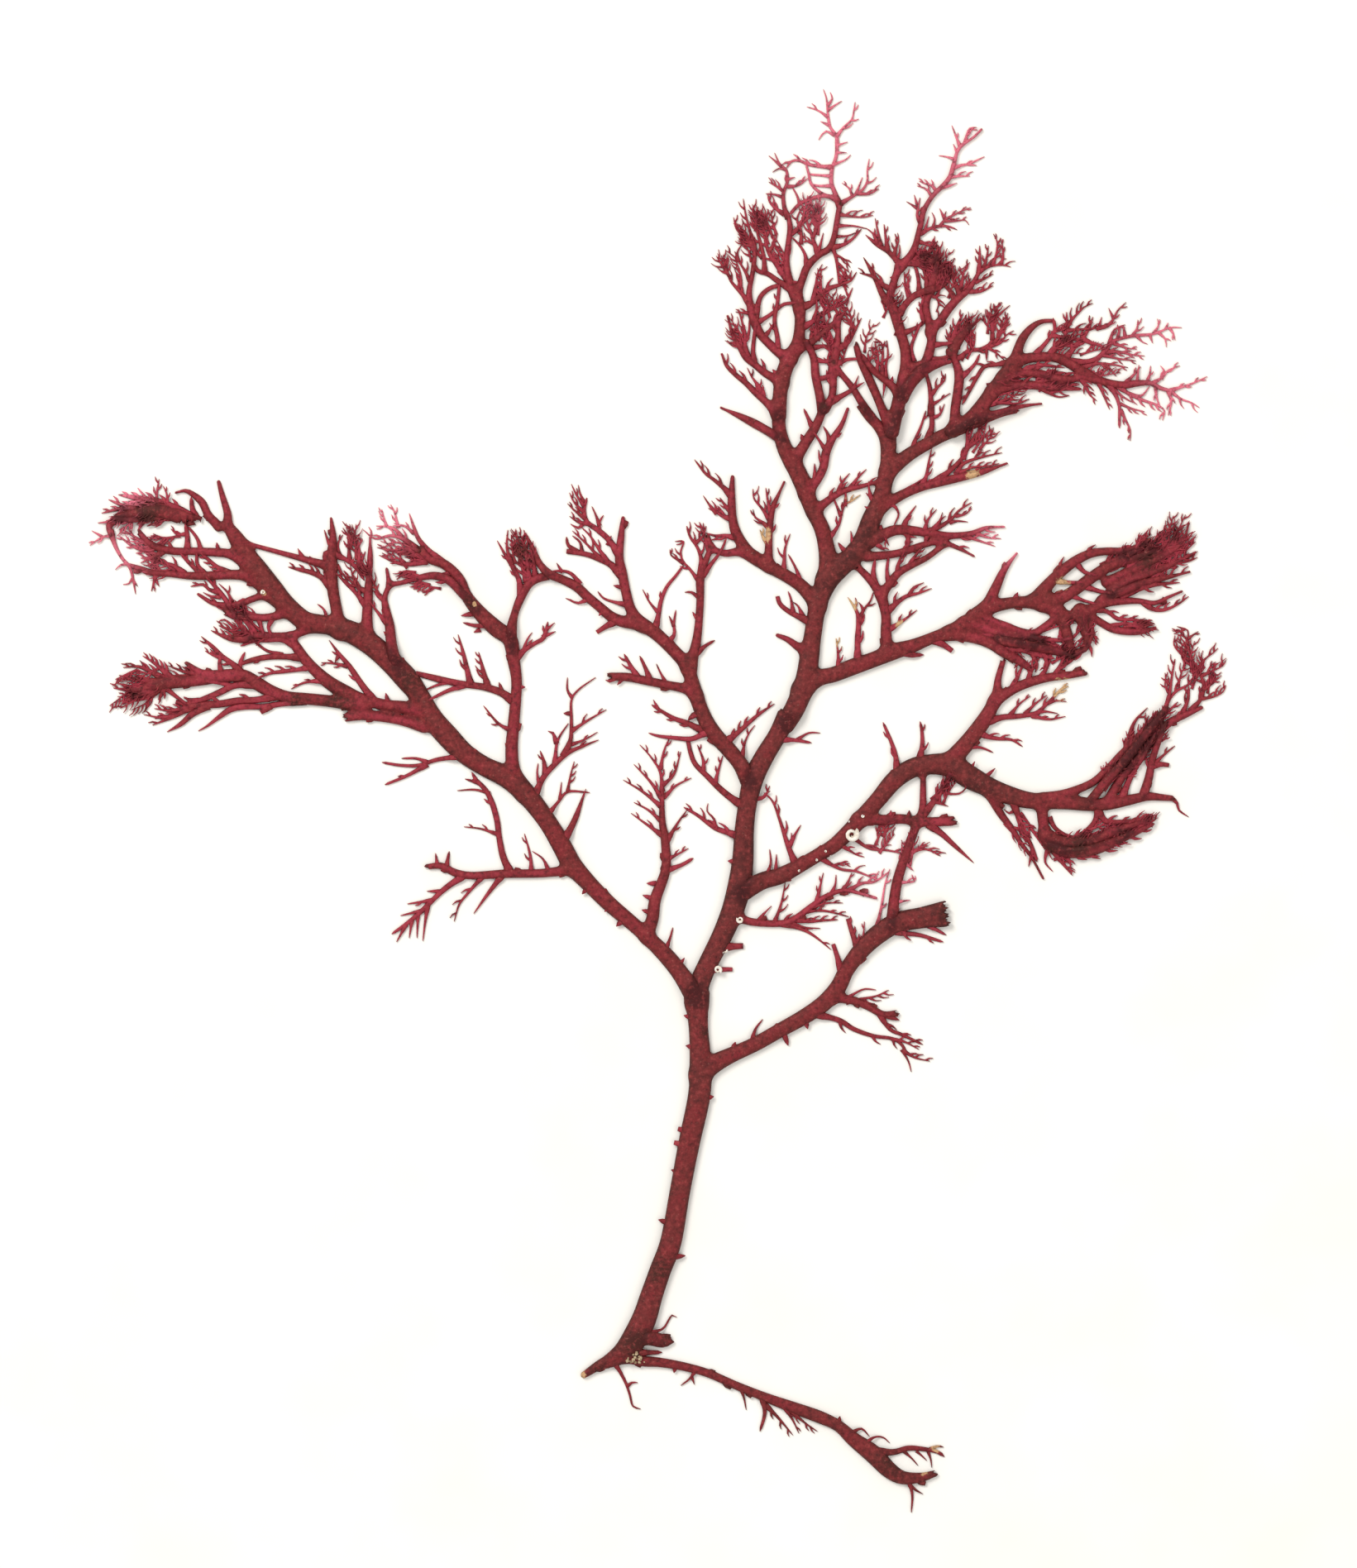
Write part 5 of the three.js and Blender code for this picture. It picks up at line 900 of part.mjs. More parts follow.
// Arms that leave the left limb, from the collar outward.
const LEFT_OUT = [
  [1.3, 0.3, [], [-26.0, 13.0], [-26.9, 14.5, 1.3], [-27.3, 16.2, 1.1], [-27.5, 18, 1.0],
  [-27.9, 19.8, 0.8],
  [-28.0, 20.9, 0.6], [-27.6, 22.2, 0.5], [-27.8, 23.8]],
  [0.45, 0.2, [], [-28.1, 20.6], [-28.9, 21.3], [-28.6, 22.3]],
  [0.4, 0.2, [], [-28.4, 21.0], [-29.2, 21.6]],
  [0.6, 0.2, ['R', 2, 0.6], [-27.6, 18.0], [-28.6, 19.2], [-29.5, 20.4]],
  [0.4, 0.2, [], [-27.6, 16.8], [-28.1, 17.4]],
  [1.4, 0.12, [], [-29.8, 16.4], [-29.8, 19, 1.1], [-29.7, 21, 1.0], [-29.6, 23, 0.7], [-29.5, 25, 0.6],
  [-29.5, 27.0]],
  [0.5, 0.3, [], [-30.0, 18.0], [-30.5, 18.3]],
  [0.7, 0.15, ['R', 4, 0.8], [-29.9, 20.0], [-31, 21.4, 0.5], [-32.2, 22.6, 0.5], [-33.0, 23.4]],
  [0.6, 0.2, ['R', 3, 0.8], [-29.8, 21.4], [-30.8, 22.0], [-32.0, 23.0]],
  [0.5, 0.2, ['L', 2, 0.5], [-29.6, 23.2], [-30.4, 24.2], [-30.0, 25.6]],
  [1.6, 0.25, [], [-32.6, 17.3], [-32.9, 19.4, 1.2], [-33.3, 21.6, 1.2], [-33.5, 23.6, 1.3],
  [-33.4, 25.4, 1.1],
  [-33.3, 27.2, 0.7], [-33.5, 29.0]],
  [1.0, 0.3, [], [-33.4, 24.0], [-35.2, 24.5, 0.8], [-37, 25, 0.6], [-39.2, 25.6, 0.5], [-41, 26.1, 0.45],
  [-42.9, 26.7]],
  [0.5, 0.15, [], [-36.4, 24.9], [-36.9, 25.9]],
  [0.4, 0.2, [], [-35.4, 24.6], [-35.7, 25.1]],
  [0.9, 0.15, ['R', 5, 0.6], [-33.3, 21.6], [-34.3, 22.8, 0.7], [-35.4, 23.4, 0.6], [-36.6, 23.7, 0.5],
  [-37.9, 24.0]],
  [0.35, 0.2, [], [-33.8, 18.3], [-34.2, 19.6], [-34.9, 20.2]],
  [0.7, 0.3, ['L', 2, 0.6], [-33.2, 25.3], [-31.9, 24.7, 0.5], [-30.9, 23.9, 0.5], [-30.1, 22.6]],
  [0.5, 0.2, ['L', 3, 0.5], [-30.7, 23.8], [-30.6, 25.4], [-30.8, 26.6], [-31.3, 27.5]],
  [0.5, 0.15, ['L', 2, 0.5], [-31.6, 24.6], [-31.7, 26.2], [-31.8, 27.2], [-32.3, 28.0]],
  [0.45, 0.15, ['L', 2, 0.5], [-32.6, 25.0], [-32.8, 26.3], [-32.3, 27.3]],
  [0.4, 0.12, [], [-32.9, 24.2], [-32.4, 23.4], [-32.0, 22.8]],
  [0.4, 0.15, [], [-33.5, 26.0], [-33.9, 26.9], [-34.2, 27.8]],
  [0.8, 0.5, [], [-33.4, 25.4], [-34.0, 25.3], [-34.1, 24.6]],
  [1.5, 0.5, [], [-23.6, 9.0], [-25.8, 9.6, 1.3], [-28, 9.9, 1.1], [-30.4, 10.5, 1.2], [-32, 11.2, 1.4],
  [-33.6, 12.1, 1.4], [-35, 13.3, 1.2], [-36.2, 14.6, 1.1], [-37.1, 15.9, 1.0], [-37.7, 16.9]],
  [0.5, 0.3, [], [-27.6, 9.9], [-27.9, 11.1]],
  [0.9, 0.12, ['L', 2, 0.6], [-28.8, 9.9], [-30.4, 12.0, 0.8], [-31.6, 13.8, 0.7], [-32.6, 15.0, 0.5],
  [-33.7, 16.5]],
  [0.4, 0.12, ['A', 3, 0.5], [-31.8, 13.8], [-33.0, 14.1], [-34.5, 14.2]],
  [0.4, 0.2, [], [-32.7, 15.0], [-33.1, 14.2]],
  [0.7, 0.3, [], [-36.9, 15.7], [-38.4, 16.5, 0.6], [-40, 16.5, 0.6], [-41.4, 16.4], [-42.8, 15.9]],
  [0.9, 0.3, ['L', 1, 0.5], [-36.3, 14.7], [-38, 14.8, 0.7], [-39.6, 14.8, 0.7], [-41, 14.6, 0.7],
  [-42.4, 14.2, 0.6], [-43.2, 13.8]],
  [0.7, 0.25, ['R', 4, 0.8], [-35.5, 13.8], [-36.8, 13.5, 0.5], [-38.4, 13.3, 0.5], [-39.8, 13.1],
  [-41.2, 12.5]],
  [0.5, 0.15, ['R', 2, 0.5], [-34.0, 12.2], [-35.2, 12.3], [-36.4, 12.1], [-37.6, 11.5]],
  [0.4, 0.3, [], [-38.4, 15.0], [-40, 15.4], [-41, 16.1], [-41.9, 16.9]],
  [1.4, 0.6, [], [-30.2, 9.8], [-32, 10.0, 1.2], [-34, 10.3, 1.2], [-36, 10.5, 1.2], [-38, 10.7, 1.2],
  [-39.7, 11.3, 1.3], [-41.1, 12.1, 1.4], [-42.4, 12.9, 1.2], [-43.8, 13.1, 0.9], [-45.4, 13.0, 0.9],
  [-46.8, 13.2, 0.7], [-48.3, 14.0]],
  [0.8, 0.12, ['L', 3, 0.8], [-42.5, 13.0], [-43.6, 14.1, 0.6], [-44.6, 14.8, 0.6], [-45.5, 15.7, 0.5],
  [-46.8, 16.9]],
  [0.45, 0.12, ['R', 3, 0.5], [-44.4, 14.7], [-45.4, 14.9], [-46.4, 15.4]],
  [0.5, 0.4, [], [-44.6, 12.8], [-44.9, 14.0], [-44.8, 15.0]],
  [0.45, 0.3, [], [-42.9, 13.5], [-42.7, 14.4], [-42.3, 15.3]],
  [1.1, 0.5, [], [-43.2, 12.8], [-44.8, 12.6, 0.9], [-46.4, 12.4, 1.0], [-48.4, 12.3, 1.3],
  [-50, 12.2, 1.4],
  [-51.6, 11.9, 1.3], [-53.0, 11.5]],
  [0.8, 0.12, ['R', 5, 0.8], [-49.6, 12.4], [-50.8, 13.5, 0.6], [-51.8, 14.3], [-52.8, 14.9]],
  [0.8, 0.12, ['R', 5, 0.8], [-50.4, 12.4], [-51.8, 13.2, 0.6], [-53.2, 13.8], [-54.8, 13.7]],
  [0.8, 0.12, ['R', 4, 0.7], [-51.2, 12.2], [-53, 12.4, 0.6], [-55.1, 12.6]],
  [0.8, 0.12, ['R', 4, 0.8], [-52.2, 11.7], [-53.8, 11.4, 0.6], [-55.8, 11.6]],
  [0.8, 0.12, ['R', 4, 0.7], [-51.6, 11.6], [-53.0, 11.0, 0.6], [-55.0, 10.8]],
  [0.8, 0.12, ['R', 4, 0.7], [-51.0, 11.6], [-52.6, 10.6, 0.6], [-54.4, 10.2]],
  [0.6, 0.12, ['R', 4, 0.6], [-46.4, 13.1], [-48.2, 13.2, 0.4], [-50.2, 13.9]],
  [0.7, 0.3, ['L', 2, 0.5], [-50.4, 11.9], [-50.8, 11.0], [-51.2, 10.4]],
  [0.8, 0.5, [], [-41.2, 11.9], [-43.2, 11.9, 0.8], [-44.8, 11.2, 0.8], [-46.2, 10.6, 0.7], [-48, 10.0]],
  [0.5, 0.4, [], [-43.4, 11.8], [-44.8, 12.1], [-46.2, 12.3]],
  [0.9, 0.5, ['R', 3, 0.7], [-39.0, 10.8], [-41, 10.4, 0.8], [-43, 10.3, 0.8], [-44.6, 10.0, 0.9],
  [-46, 9.9, 0.9],
  [-47.6, 9.8, 0.8], [-49.4, 10.2]],
  [0.9, 0.12, [], [-36.0, 10.3], [-38.5, 10.0, 0.7], [-40.4, 9.7, 0.7], [-42.4, 9.7, 0.7],
  [-43.8, 9.4, 0.8],
  [-45, 8.6, 0.7], [-46.2, 7.7, 0.4], [-47.1, 7.2]],
  [0.7, 0.5, [], [-39.6, 9.8], [-40.7, 9.1]],
  [0.9, 0.12, [], [-46.0, 9.8], [-47.6, 9.0, 0.8], [-48.9, 7.9, 0.6], [-50.3, 7.1]],
  [0.7, 0.12, ['R', 5, 0.9], [-47.6, 9.7], [-49.6, 8.7, 0.5], [-51.8, 7.8]],
  [0.5, 0.12, ['R', 4, 0.6], [-48.0, 9.7], [-49.8, 9.3, 0.4], [-51.6, 9.5]],
  [0.4, 0.12, ['R', 2, 0.5], [-49.4, 8.8], [-51, 8.6], [-52.7, 8.9]],
  [0.5, 0.4, [], [-50.4, 11.6], [-49.3, 10.7], [-48.2, 9.9]],
  [0.4, 0.2, [], [-47.0, 10.4], [-47.8, 10.4], [-48.6, 10.6]],
  [1.2, 0.5, [], [-24.0, 7.6], [-26, 8.2, 1.0], [-28, 8.6, 1.0], [-30.2, 8.8, 1.0], [-32, 8.6, 0.8]],
  [1.3, 0.7, [], [-35.2, 18.3], [-36.4, 17.4, 0.9], [-37.6, 17.0, 0.8], [-39.2, 16.9, 0.8],
  [-41, 17, 0.8],
  [-42.4, 16.6, 0.8], [-43.6, 16.7]],
  [0.7, 0.15, ['R', 3, 0.6], [-42.8, 16.6], [-44.2, 16.8, 0.5], [-45.8, 17.5]],
  [0.6, 0.2, ['R', 3, 0.8], [-42.6, 16.8], [-43.8, 17.5], [-45.0, 18.0]],
  [1.2, 0.6, [], [-37.8, 19.6], [-39.0, 19.0, 0.9], [-40.4, 18.8, 0.8], [-41.8, 18.9, 0.8],
  [-43.2, 18.9, 0.7],
  [-44.4, 19.4]],
  [0.5, 0.3, [], [-39.4, 18.8], [-39.9, 17.8], [-39.5, 16.9]],
  [0.5, 0.4, [], [-40.9, 18.7], [-40.6, 17.7], [-40.3, 16.9]],
  [0.5, 0.4, [], [-42.4, 18.8], [-41.8, 17.8], [-41.4, 16.8]],
  [0.7, 0.3, ['R', 3, 0.7], [-41.6, 16.4], [-42.9, 18.2, 0.6], [-44.0, 20.2, 0.6], [-45.2, 21.8, 0.6],
  [-46.3, 23.0]],
  [0.5, 0.3, ['R', 2, 0.6], [-41.2, 17.2], [-42.2, 19.0], [-42.6, 20.4]],
  [0.5, 0.15, ['R', 3, 0.6], [-42.6, 18.8], [-43.8, 19.4], [-45.0, 19.8], [-45.4, 20.2]],
  [0.5, 0.15, [], [-43.2, 17.6], [-44.4, 18.6], [-45.1, 18.3]],
  [1.1, 0.3, ['R', 2, 0.6], [-39.0, 20.7], [-40.4, 21.0, 0.8], [-41.6, 20.7, 0.7], [-42.8, 20.2, 0.7],
  [-44.2, 20.1, 0.6], [-45.6, 20.3, 0.5], [-47.1, 21.2]],
  [0.5, 0.2, ['R', 2, 0.5], [-45.0, 21.4], [-46.0, 21.7], [-46.6, 22.2], [-47.9, 22.0]],
  [0.4, 0.15, [], [-44.8, 20.9], [-45.8, 21.0], [-46.6, 21.4]],
  [0.4, 0.12, ['R', 1, 0.5], [-43.6, 20.4], [-44.1, 21.4], [-45.0, 22.3]],
  [1.6, 0.4, [], [-40.6, 22.4], [-42.4, 23.1, 1.1], [-44, 23.2, 1.0], [-46, 23.1, 0.9], [-48, 23.1, 0.8],
  [-50, 23.3, 0.7], [-51.8, 23.4, 0.7], [-53, 23.8, 0.6], [-54.2, 24.2]],
  [0.6, 0.4, ['L', 4, 0.6], [-43.6, 23.3], [-45.0, 23.9], [-46.0, 24.7], [-46.8, 25.4]],
  [0.5, 0.4, [], [-46.4, 23.3], [-47.2, 24.3], [-47.2, 25.5]],
  [0.6, 0.4, ['R', 2, 0.5], [-46.8, 23.3], [-47.9, 24.3], [-48.9, 25.4]],
  [0.6, 0.2, ['R', 4, 0.7], [-48.4, 23.3], [-49.8, 24.2, 0.5], [-51.0, 24.4], [-52.4, 24.8]],
  [0.5, 0.12, ['L', 1, 0.6], [-51.4, 23.5], [-51.6, 22.5], [-51.9, 21.5]],
  [0.35, 0.12, [], [-51.5, 22.8], [-51.1, 22.0]],
  [1.5, 0.5, [], [-42.0, 24.4], [-43.8, 25.3, 1.0], [-45.5, 25.5, 0.9], [-47.5, 25.6, 0.8],
  [-49.4, 25.6, 0.8],
  [-51, 25.9, 0.8], [-52.2, 26.5, 0.7], [-53.2, 27.6]],
  [0.4, 0.3, [], [-45.0, 25.5], [-45.2, 26.5]],
  [0.7, 0.4, [], [-48.2, 25.7], [-48.2, 27.0, 0.6], [-48.4, 28.4]],
  [0.5, 0.3, [], [-46.8, 25.6], [-47.2, 26.9], [-48.2, 28.2]],
  [0.4, 0.15, ['R', 2, 0.5], [-48.3, 27.4], [-49.2, 27.3], [-49.9, 27.9]],
  [0.4, 0.3, [], [-49.8, 25.8], [-50.2, 26.7]],
  [0.7, 0.15, ['A', 6, 0.7], [-50.4, 25.8], [-51.6, 25.0, 0.6], [-53.0, 24.9]],
  [0.6, 0.15, ['A', 5, 0.6], [-51.0, 26.0], [-52.4, 26.4, 0.5], [-53.8, 27.2], [-54.8, 27.8]],
  [0.6, 0.15, ['A', 5, 0.6], [-51.6, 25.6], [-53.2, 25.9, 0.5], [-54.2, 26.4], [-55.2, 27.2]],
  [1.4, 0.5, [], [-43.2, 27.0], [-44.6, 27.9, 1.2], [-46.4, 28.3, 1.3], [-48.2, 28.9, 1.5],
  [-50, 29.5, 1.6],
  [-52, 29.7, 1.4], [-54, 29.3, 1.2], [-55.4, 28.9, 1.0], [-56.2, 28.2, 0.7], [-56, 27.2, 0.5]],
  [0.7, 0.12, [], [-56.1, 27.8], [-55.6, 26.2, 0.5], [-54.9, 24.9, 0.4], [-54.1, 24.0, 0.4],
  [-53.8, 22.9, 0.3],
  [-53.5, 21.2]],
  [0.25, 0.12, [], [-54.2, 24.3], [-55.0, 24.2], [-55.6, 23.7]],
  [0.25, 0.12, [], [-53.8, 22.9], [-54.2, 22.3], [-54.8, 22.2]],
  [0.25, 0.12, [], [-53.8, 22.7], [-53.3, 22.0]],
  [0.3, 0.12, ['A', 2, 0.5], [-56.0, 27.2], [-57.0, 27.0], [-58.2, 26.2]],
  [0.25, 0.12, [], [-56.9, 27.1], [-58.0, 27.7]],
  [0.3, 0.12, [], [-56.1, 28.6], [-57.4, 28.5]],
  [0.9, 0.2, ['R', 5, 0.7], [-47.6, 29.0], [-49.4, 30.0, 0.9], [-51.2, 30.7, 0.8], [-53, 31.0, 0.7],
  [-55.3, 31.4]],
  [0.8, 0.15, ['R', 4, 0.7], [-50.0, 30.0], [-52.4, 30.3, 0.8], [-54.4, 30.2, 0.6], [-56.3, 30.9]],
  [0.7, 0.15, ['R', 3, 0.6], [-53.2, 29.8], [-54.8, 30.0, 0.5], [-57.0, 29.5]],
  [0.8, 0.5, ['L', 2, 0.5], [-50.6, 29.2], [-52.6, 28.9, 0.7], [-54.4, 28.8, 0.7], [-56.0, 29.0]],
  [0.4, 0.15, ['A', 3, 0.6], [-51.4, 30.6], [-51.3, 31.8], [-51.1, 33.0]],
  [0.35, 0.12, ['R', 2, 0.4], [-50.2, 30.2], [-50.3, 31.4], [-50.7, 32.3]],
  [0.3, 0.15, [], [-52.4, 31.0], [-53.3, 32.1]],
  [1.0, 0.15, [], [-45.0, 28.1], [-46.1, 29.4, 0.8], [-46.7, 30.6, 0.8], [-47.6, 31.4, 0.6],
  [-48.4, 31.8, 0.4],
  [-49.4, 31.6]],
  [0.8, 0.4, [], [-47.2, 28.8], [-47.7, 30.0, 0.6], [-47.8, 31.2]],
  [0.5, 0.3, [], [-52.0, 29.0], [-52.8, 28.4], [-53.3, 27.7]],
];

const LIMBS = [STIPE, RUNNER, LOW_RIGHT, CENTRE, LOW_SPRAY, RIGHT, RIGHT_RISE, FAR_RIGHT, RIGHT_UNDER, CROWN,
  CENTRE_LEFT, CROWN_RIGHT, UPPER_RIGHT, UNDER_PATCH, TOP, LEFT, TOP_RIGHT, OUTER_RIGHT, LEFT_OUT];

// Coiled shells: the place on the frond, the width across, the hand of the coil and the turn of its mouth.
const SHELLS = {
  coiled_shell_large: { at: [19.8, -3.4], across: 1.7, hand: 1, mouth: 0.9 },
  coiled_shell_left: { at: [8.35, -12.1], across: 0.85, hand: -1, mouth: 2.6 },
  coiled_shell_broken: { at: [6.8, -15.2], across: 0.9, hand: 1, mouth: 4.2 },
  coiled_shell_low: { at: [6.1, -17.2], across: 0.95, hand: -1, mouth: 5.4 },
};
const SHELL_GAP = 0.05;
const SHELL_TURNS = 1.5;
const SHELL_SIDES = 6;
const SHELL_STEPS_PER_TURN = 12;

// A seeded run of numbers from 0 to 1.
function randomRun(seed) {
  let state = seed;
  return () => {
    state = (state * 1664525 + 1013904223) % 4294967296;
    return state / 4294967296;
  };
}

// The midrib of a row as points [x, y, width], with the width running evenly between the stated ones.
function midrib([rootWidth, tipWidth, , ...points]) {
  const along = [0];
  for (let i = 1; i < points.length; i += 1) {
    const step = Math.hypot(points[i][0] - points[i - 1][0], points[i][1] - points[i - 1][1]);
    along.push(along[i - 1] + step);
  }
  const stated = points.map((point, i) => (i === 0 ? point[2] ?? rootWidth : point[2] ?? null));
  const last = points.length - 1;
  stated[last] = stated[last] ?? tipWidth;
  return points.map(([x, y], i) => {
    if (stated[i] !== null) return [x, y, stated[i]];
    let before = i;
    let after = i;
    while (stated[before] === null) before -= 1;
    while (stated[after] === null) after += 1;
    const share = (along[i] - along[before]) / (along[after] - along[before]);
    return [x, y, stated[before] + (stated[after] - stated[before]) * share];
  });
}

function lengthOf(path) {
  let length = 0;
  for (let i = 1; i < path.length; i += 1) {
    length += Math.hypot(path[i][0] - path[i - 1][0], path[i][1] - path[i - 1][1]);
  }
  return length;
}

// The point at a share of a path's length, with its heading and width.
function pointAlong(path, share) {
  let left = lengthOf(path) * share;
  for (let i = 1; i < path.length; i += 1) {
    const [ax, ay, aw] = path[i - 1];
    const [bx, by, bw] = path[i];
    const step = Math.hypot(bx - ax, by - ay);
    if (left <= step || i === path.length - 1) {
      const t = Math.min(1, left / step);
      const heading = Math.atan2(by - ay, bx - ax);
      return { x: ax + (bx - ax) * t, y: ay + (by - ay) * t, width: aw + (bw - aw) * t, heading };
    }
    left -= step;
  }
  return null;
}

// One tooth from the midrib outwards, bent towards the blade's tip.
function tooth(root, side, length, random) {
  const spread = TOOTH_ANGLE + (random() - 0.5) * TOOTH_ANGLE_SPREAD;
  const reach = root.width / 2 + length;
  const start = root.heading + side * spread;
  const end = root.heading + side * (spread - TOOTH_BEND);
  const midX = root.x + Math.cos(start) * reach * 0.55;
  const midY = root.y + Math.sin(start) * reach * 0.55;
  const tipX = midX + Math.cos(end) * reach * 0.5;
  const tipY = midY + Math.sin(end) * reach * 0.5;
  const width = Math.min(0.5, root.width * 0.4 + 0.14);
  return [[root.x, root.y, width], [midX, midY, width * 0.72], [tipX, tipY, width * 0.3]];
}

// The comb of teeth that a row states, lowest first, shorter towards the tip.
function comb(row, path, random) {
  const [side, count, length] = row[2];
  const teeth = [];
  for (let i = 0; i < count; i += 1) {
    const share = COMB_START + COMB_SPAN * ((i + 0.5 + (random() - 0.5) * 0.4) / count);
    const hand = side === 'L' ? 1 : side === 'R' ? -1 : i % 2 === 0 ? 1 : -1;
    const size = length * (1.12 - 0.4 * share) * (0.85 + 0.3 * random());
    teeth.push({ size, path: tooth(pointAlong(path, share), hand, size, random) });
  }
  return teeth;
}

function withBody(path) {
  const last = path.length - 1;
  return path.map(([x, y, width], i) => {
    const least = LEAST_ROOT + (LEAST_TIP - LEAST_ROOT) * (i / last);
    return [x, y, Math.max(width, least)];
  });
}

// Every blade and tooth of the frond that the solid keeps.
function allBlades() {
  const random = randomRun(RANDOM_SEED);
  const blades = [];
  for (const limb of LIMBS) {
    for (const row of limb) {
      const path = midrib(row);
      if (lengthOf(path) >= LEAST_SPRIG) blades.push(withBody(path));
      if (row[2].length > 0) {
        for (const { size, path: toothPath } of comb(row, path, random)) {
          if (size >= LEAST_TOOTH) blades.push(withBody(toothPath));
        }
      }
    }
  }
  return blades;
}

// A field of distances to the nearest blade's edge, below zero inside, with a soft join at each fork.
class Field {
  constructor(blades) {
    const xs = blades.flatMap((path) => path.map(([x]) => x));
    const ys = blades.flatMap((path) => path.map(([, y]) => y));
    this.x0 = Math.min(...xs) - FIELD_MARGIN;
    this.y0 = Math.min(...ys) - FIELD_MARGIN;
    this.columns = Math.ceil((Math.max(...xs) + FIELD_MARGIN - this.x0) / FIELD_STEP) + 1;
    this.rows = Math.ceil((Math.max(...ys) + FIELD_MARGIN - this.y0) / FIELD_STEP) + 1;
    this.distance = new Float32Array(this.columns * this.rows).fill(FIELD_REACH);
    this.width = new Float32Array(this.columns * this.rows);
    this.layers = new Float32Array(this.columns * this.rows);
    for (const path of blades) this.add(path);
  }

  add(path) {
    const reach = FIELD_REACH + Math.max(...path.map(([, , width]) => width)) / 2;
    const column = (x) => (x - this.x0) / FIELD_STEP;
    const row = (y) => (y - this.y0) / FIELD_STEP;
    const left = Math.floor(column(Math.min(...path.map(([x]) => x)) - reach));
    const right = Math.ceil(column(Math.max(...path.map(([x]) => x)) + reach));
    const low = Math.floor(row(Math.min(...path.map(([, y]) => y)) - reach));
    const high = Math.ceil(row(Math.max(...path.map(([, y]) => y)) + reach));
    for (let j = Math.max(0, low); j <= Math.min(this.rows - 1, high); j += 1) {
      for (let i = Math.max(0, left); i <= Math.min(this.columns - 1, right); i += 1) {
        const x = this.x0 + i * FIELD_STEP;
        const y = this.y0 + j * FIELD_STEP;
        const near = nearestOn(path, x, y);
        if (near.distance < FIELD_REACH) this.join(j * this.columns + i, near);
      }
    }
  }

  join(at, near) {
    const other = this.distance[at];
    const blend = Math.max(0, FORK_WEB - Math.abs(other - near.distance)) / FORK_WEB;
    this.distance[at] = Math.min(other, near.distance) - blend * blend * FORK_WEB / 4;
    if (near.distance < FIELD_STEP) {
      this.width[at] = Math.max(this.width[at], near.width);
      this.layers[at] += 1;
    }
  }

  // The frond's thickness at a point of its outline.
  thicknessAt(x, y) {
    const column = Math.round((x - this.x0) / FIELD_STEP);
    const row = Math.round((y - this.y0) / FIELD_STEP);
    let width = 0;
    let layers = 1;
    for (let j = row - 3; j <= row + 3; j += 1) {
      for (let i = column - 3; i <= column + 3; i += 1) {
        width = Math.max(width, this.width[j * this.columns + i]);
        layers = Math.max(layers, this.layers[j * this.columns + i]);
      }
    }
    const stoutness = Math.min(1, Math.max(0, width - LEAST_ROOT) / (STIPE_WIDTH - LEAST_ROOT));
    const overlaps = Math.min(layers, MOST_OVERLAPS) - 1;
    return BLADE_THICKNESS + (STIPE_THICKNESS - BLADE_THICKNESS) * stoutness + OVERLAP_THICKNESS * overlaps;
  }
}

// Distance from a point to the edge of a tapering blade, and the blade's width at the nearest place.
function nearestOn(path, x, y) {
  const near = { distance: Infinity, width: 0 };
  for (let i = 1; i < path.length; i += 1) {
    const [ax, ay, aw] = path[i - 1];
    const [bx, by, bw] = path[i];
    const dx = bx - ax;
    const dy = by - ay;
    const share = Math.min(1, Math.max(0, ((x - ax) * dx + (y - ay) * dy) / (dx * dx + dy * dy)));
    const width = aw + (bw - aw) * share;
    const distance = Math.hypot(x - ax - dx * share, y - ay - dy * share) - width / 2;
    if (distance < near.distance) {
      near.distance = distance;
      near.width = width;
    }
  }
  return near;
}

// Cell edges that the outline runs between, with the frond on its left, for each mix of cell corners
// inside: 1 is the low left corner, 2 the low right, 4 the high right and 8 the high left. Edge 0 is
// the cell's low side, 1 its right side, 2 its high side and 3 its left side.
const CELL_STEPS = {
  1: [[0, 3]], 2: [[1, 0]], 3: [[1, 3]], 4: [[2, 1]], 5: [[0, 3], [2, 1]], 6: [[2, 0]], 7: [[2, 3]],
  8: [[3, 2]], 9: [[0, 2]], 10: [[1, 0], [3, 2]], 11: [[1, 2]], 12: [[3, 1]], 13: [[0, 1]], 14: [[3, 0]],
};

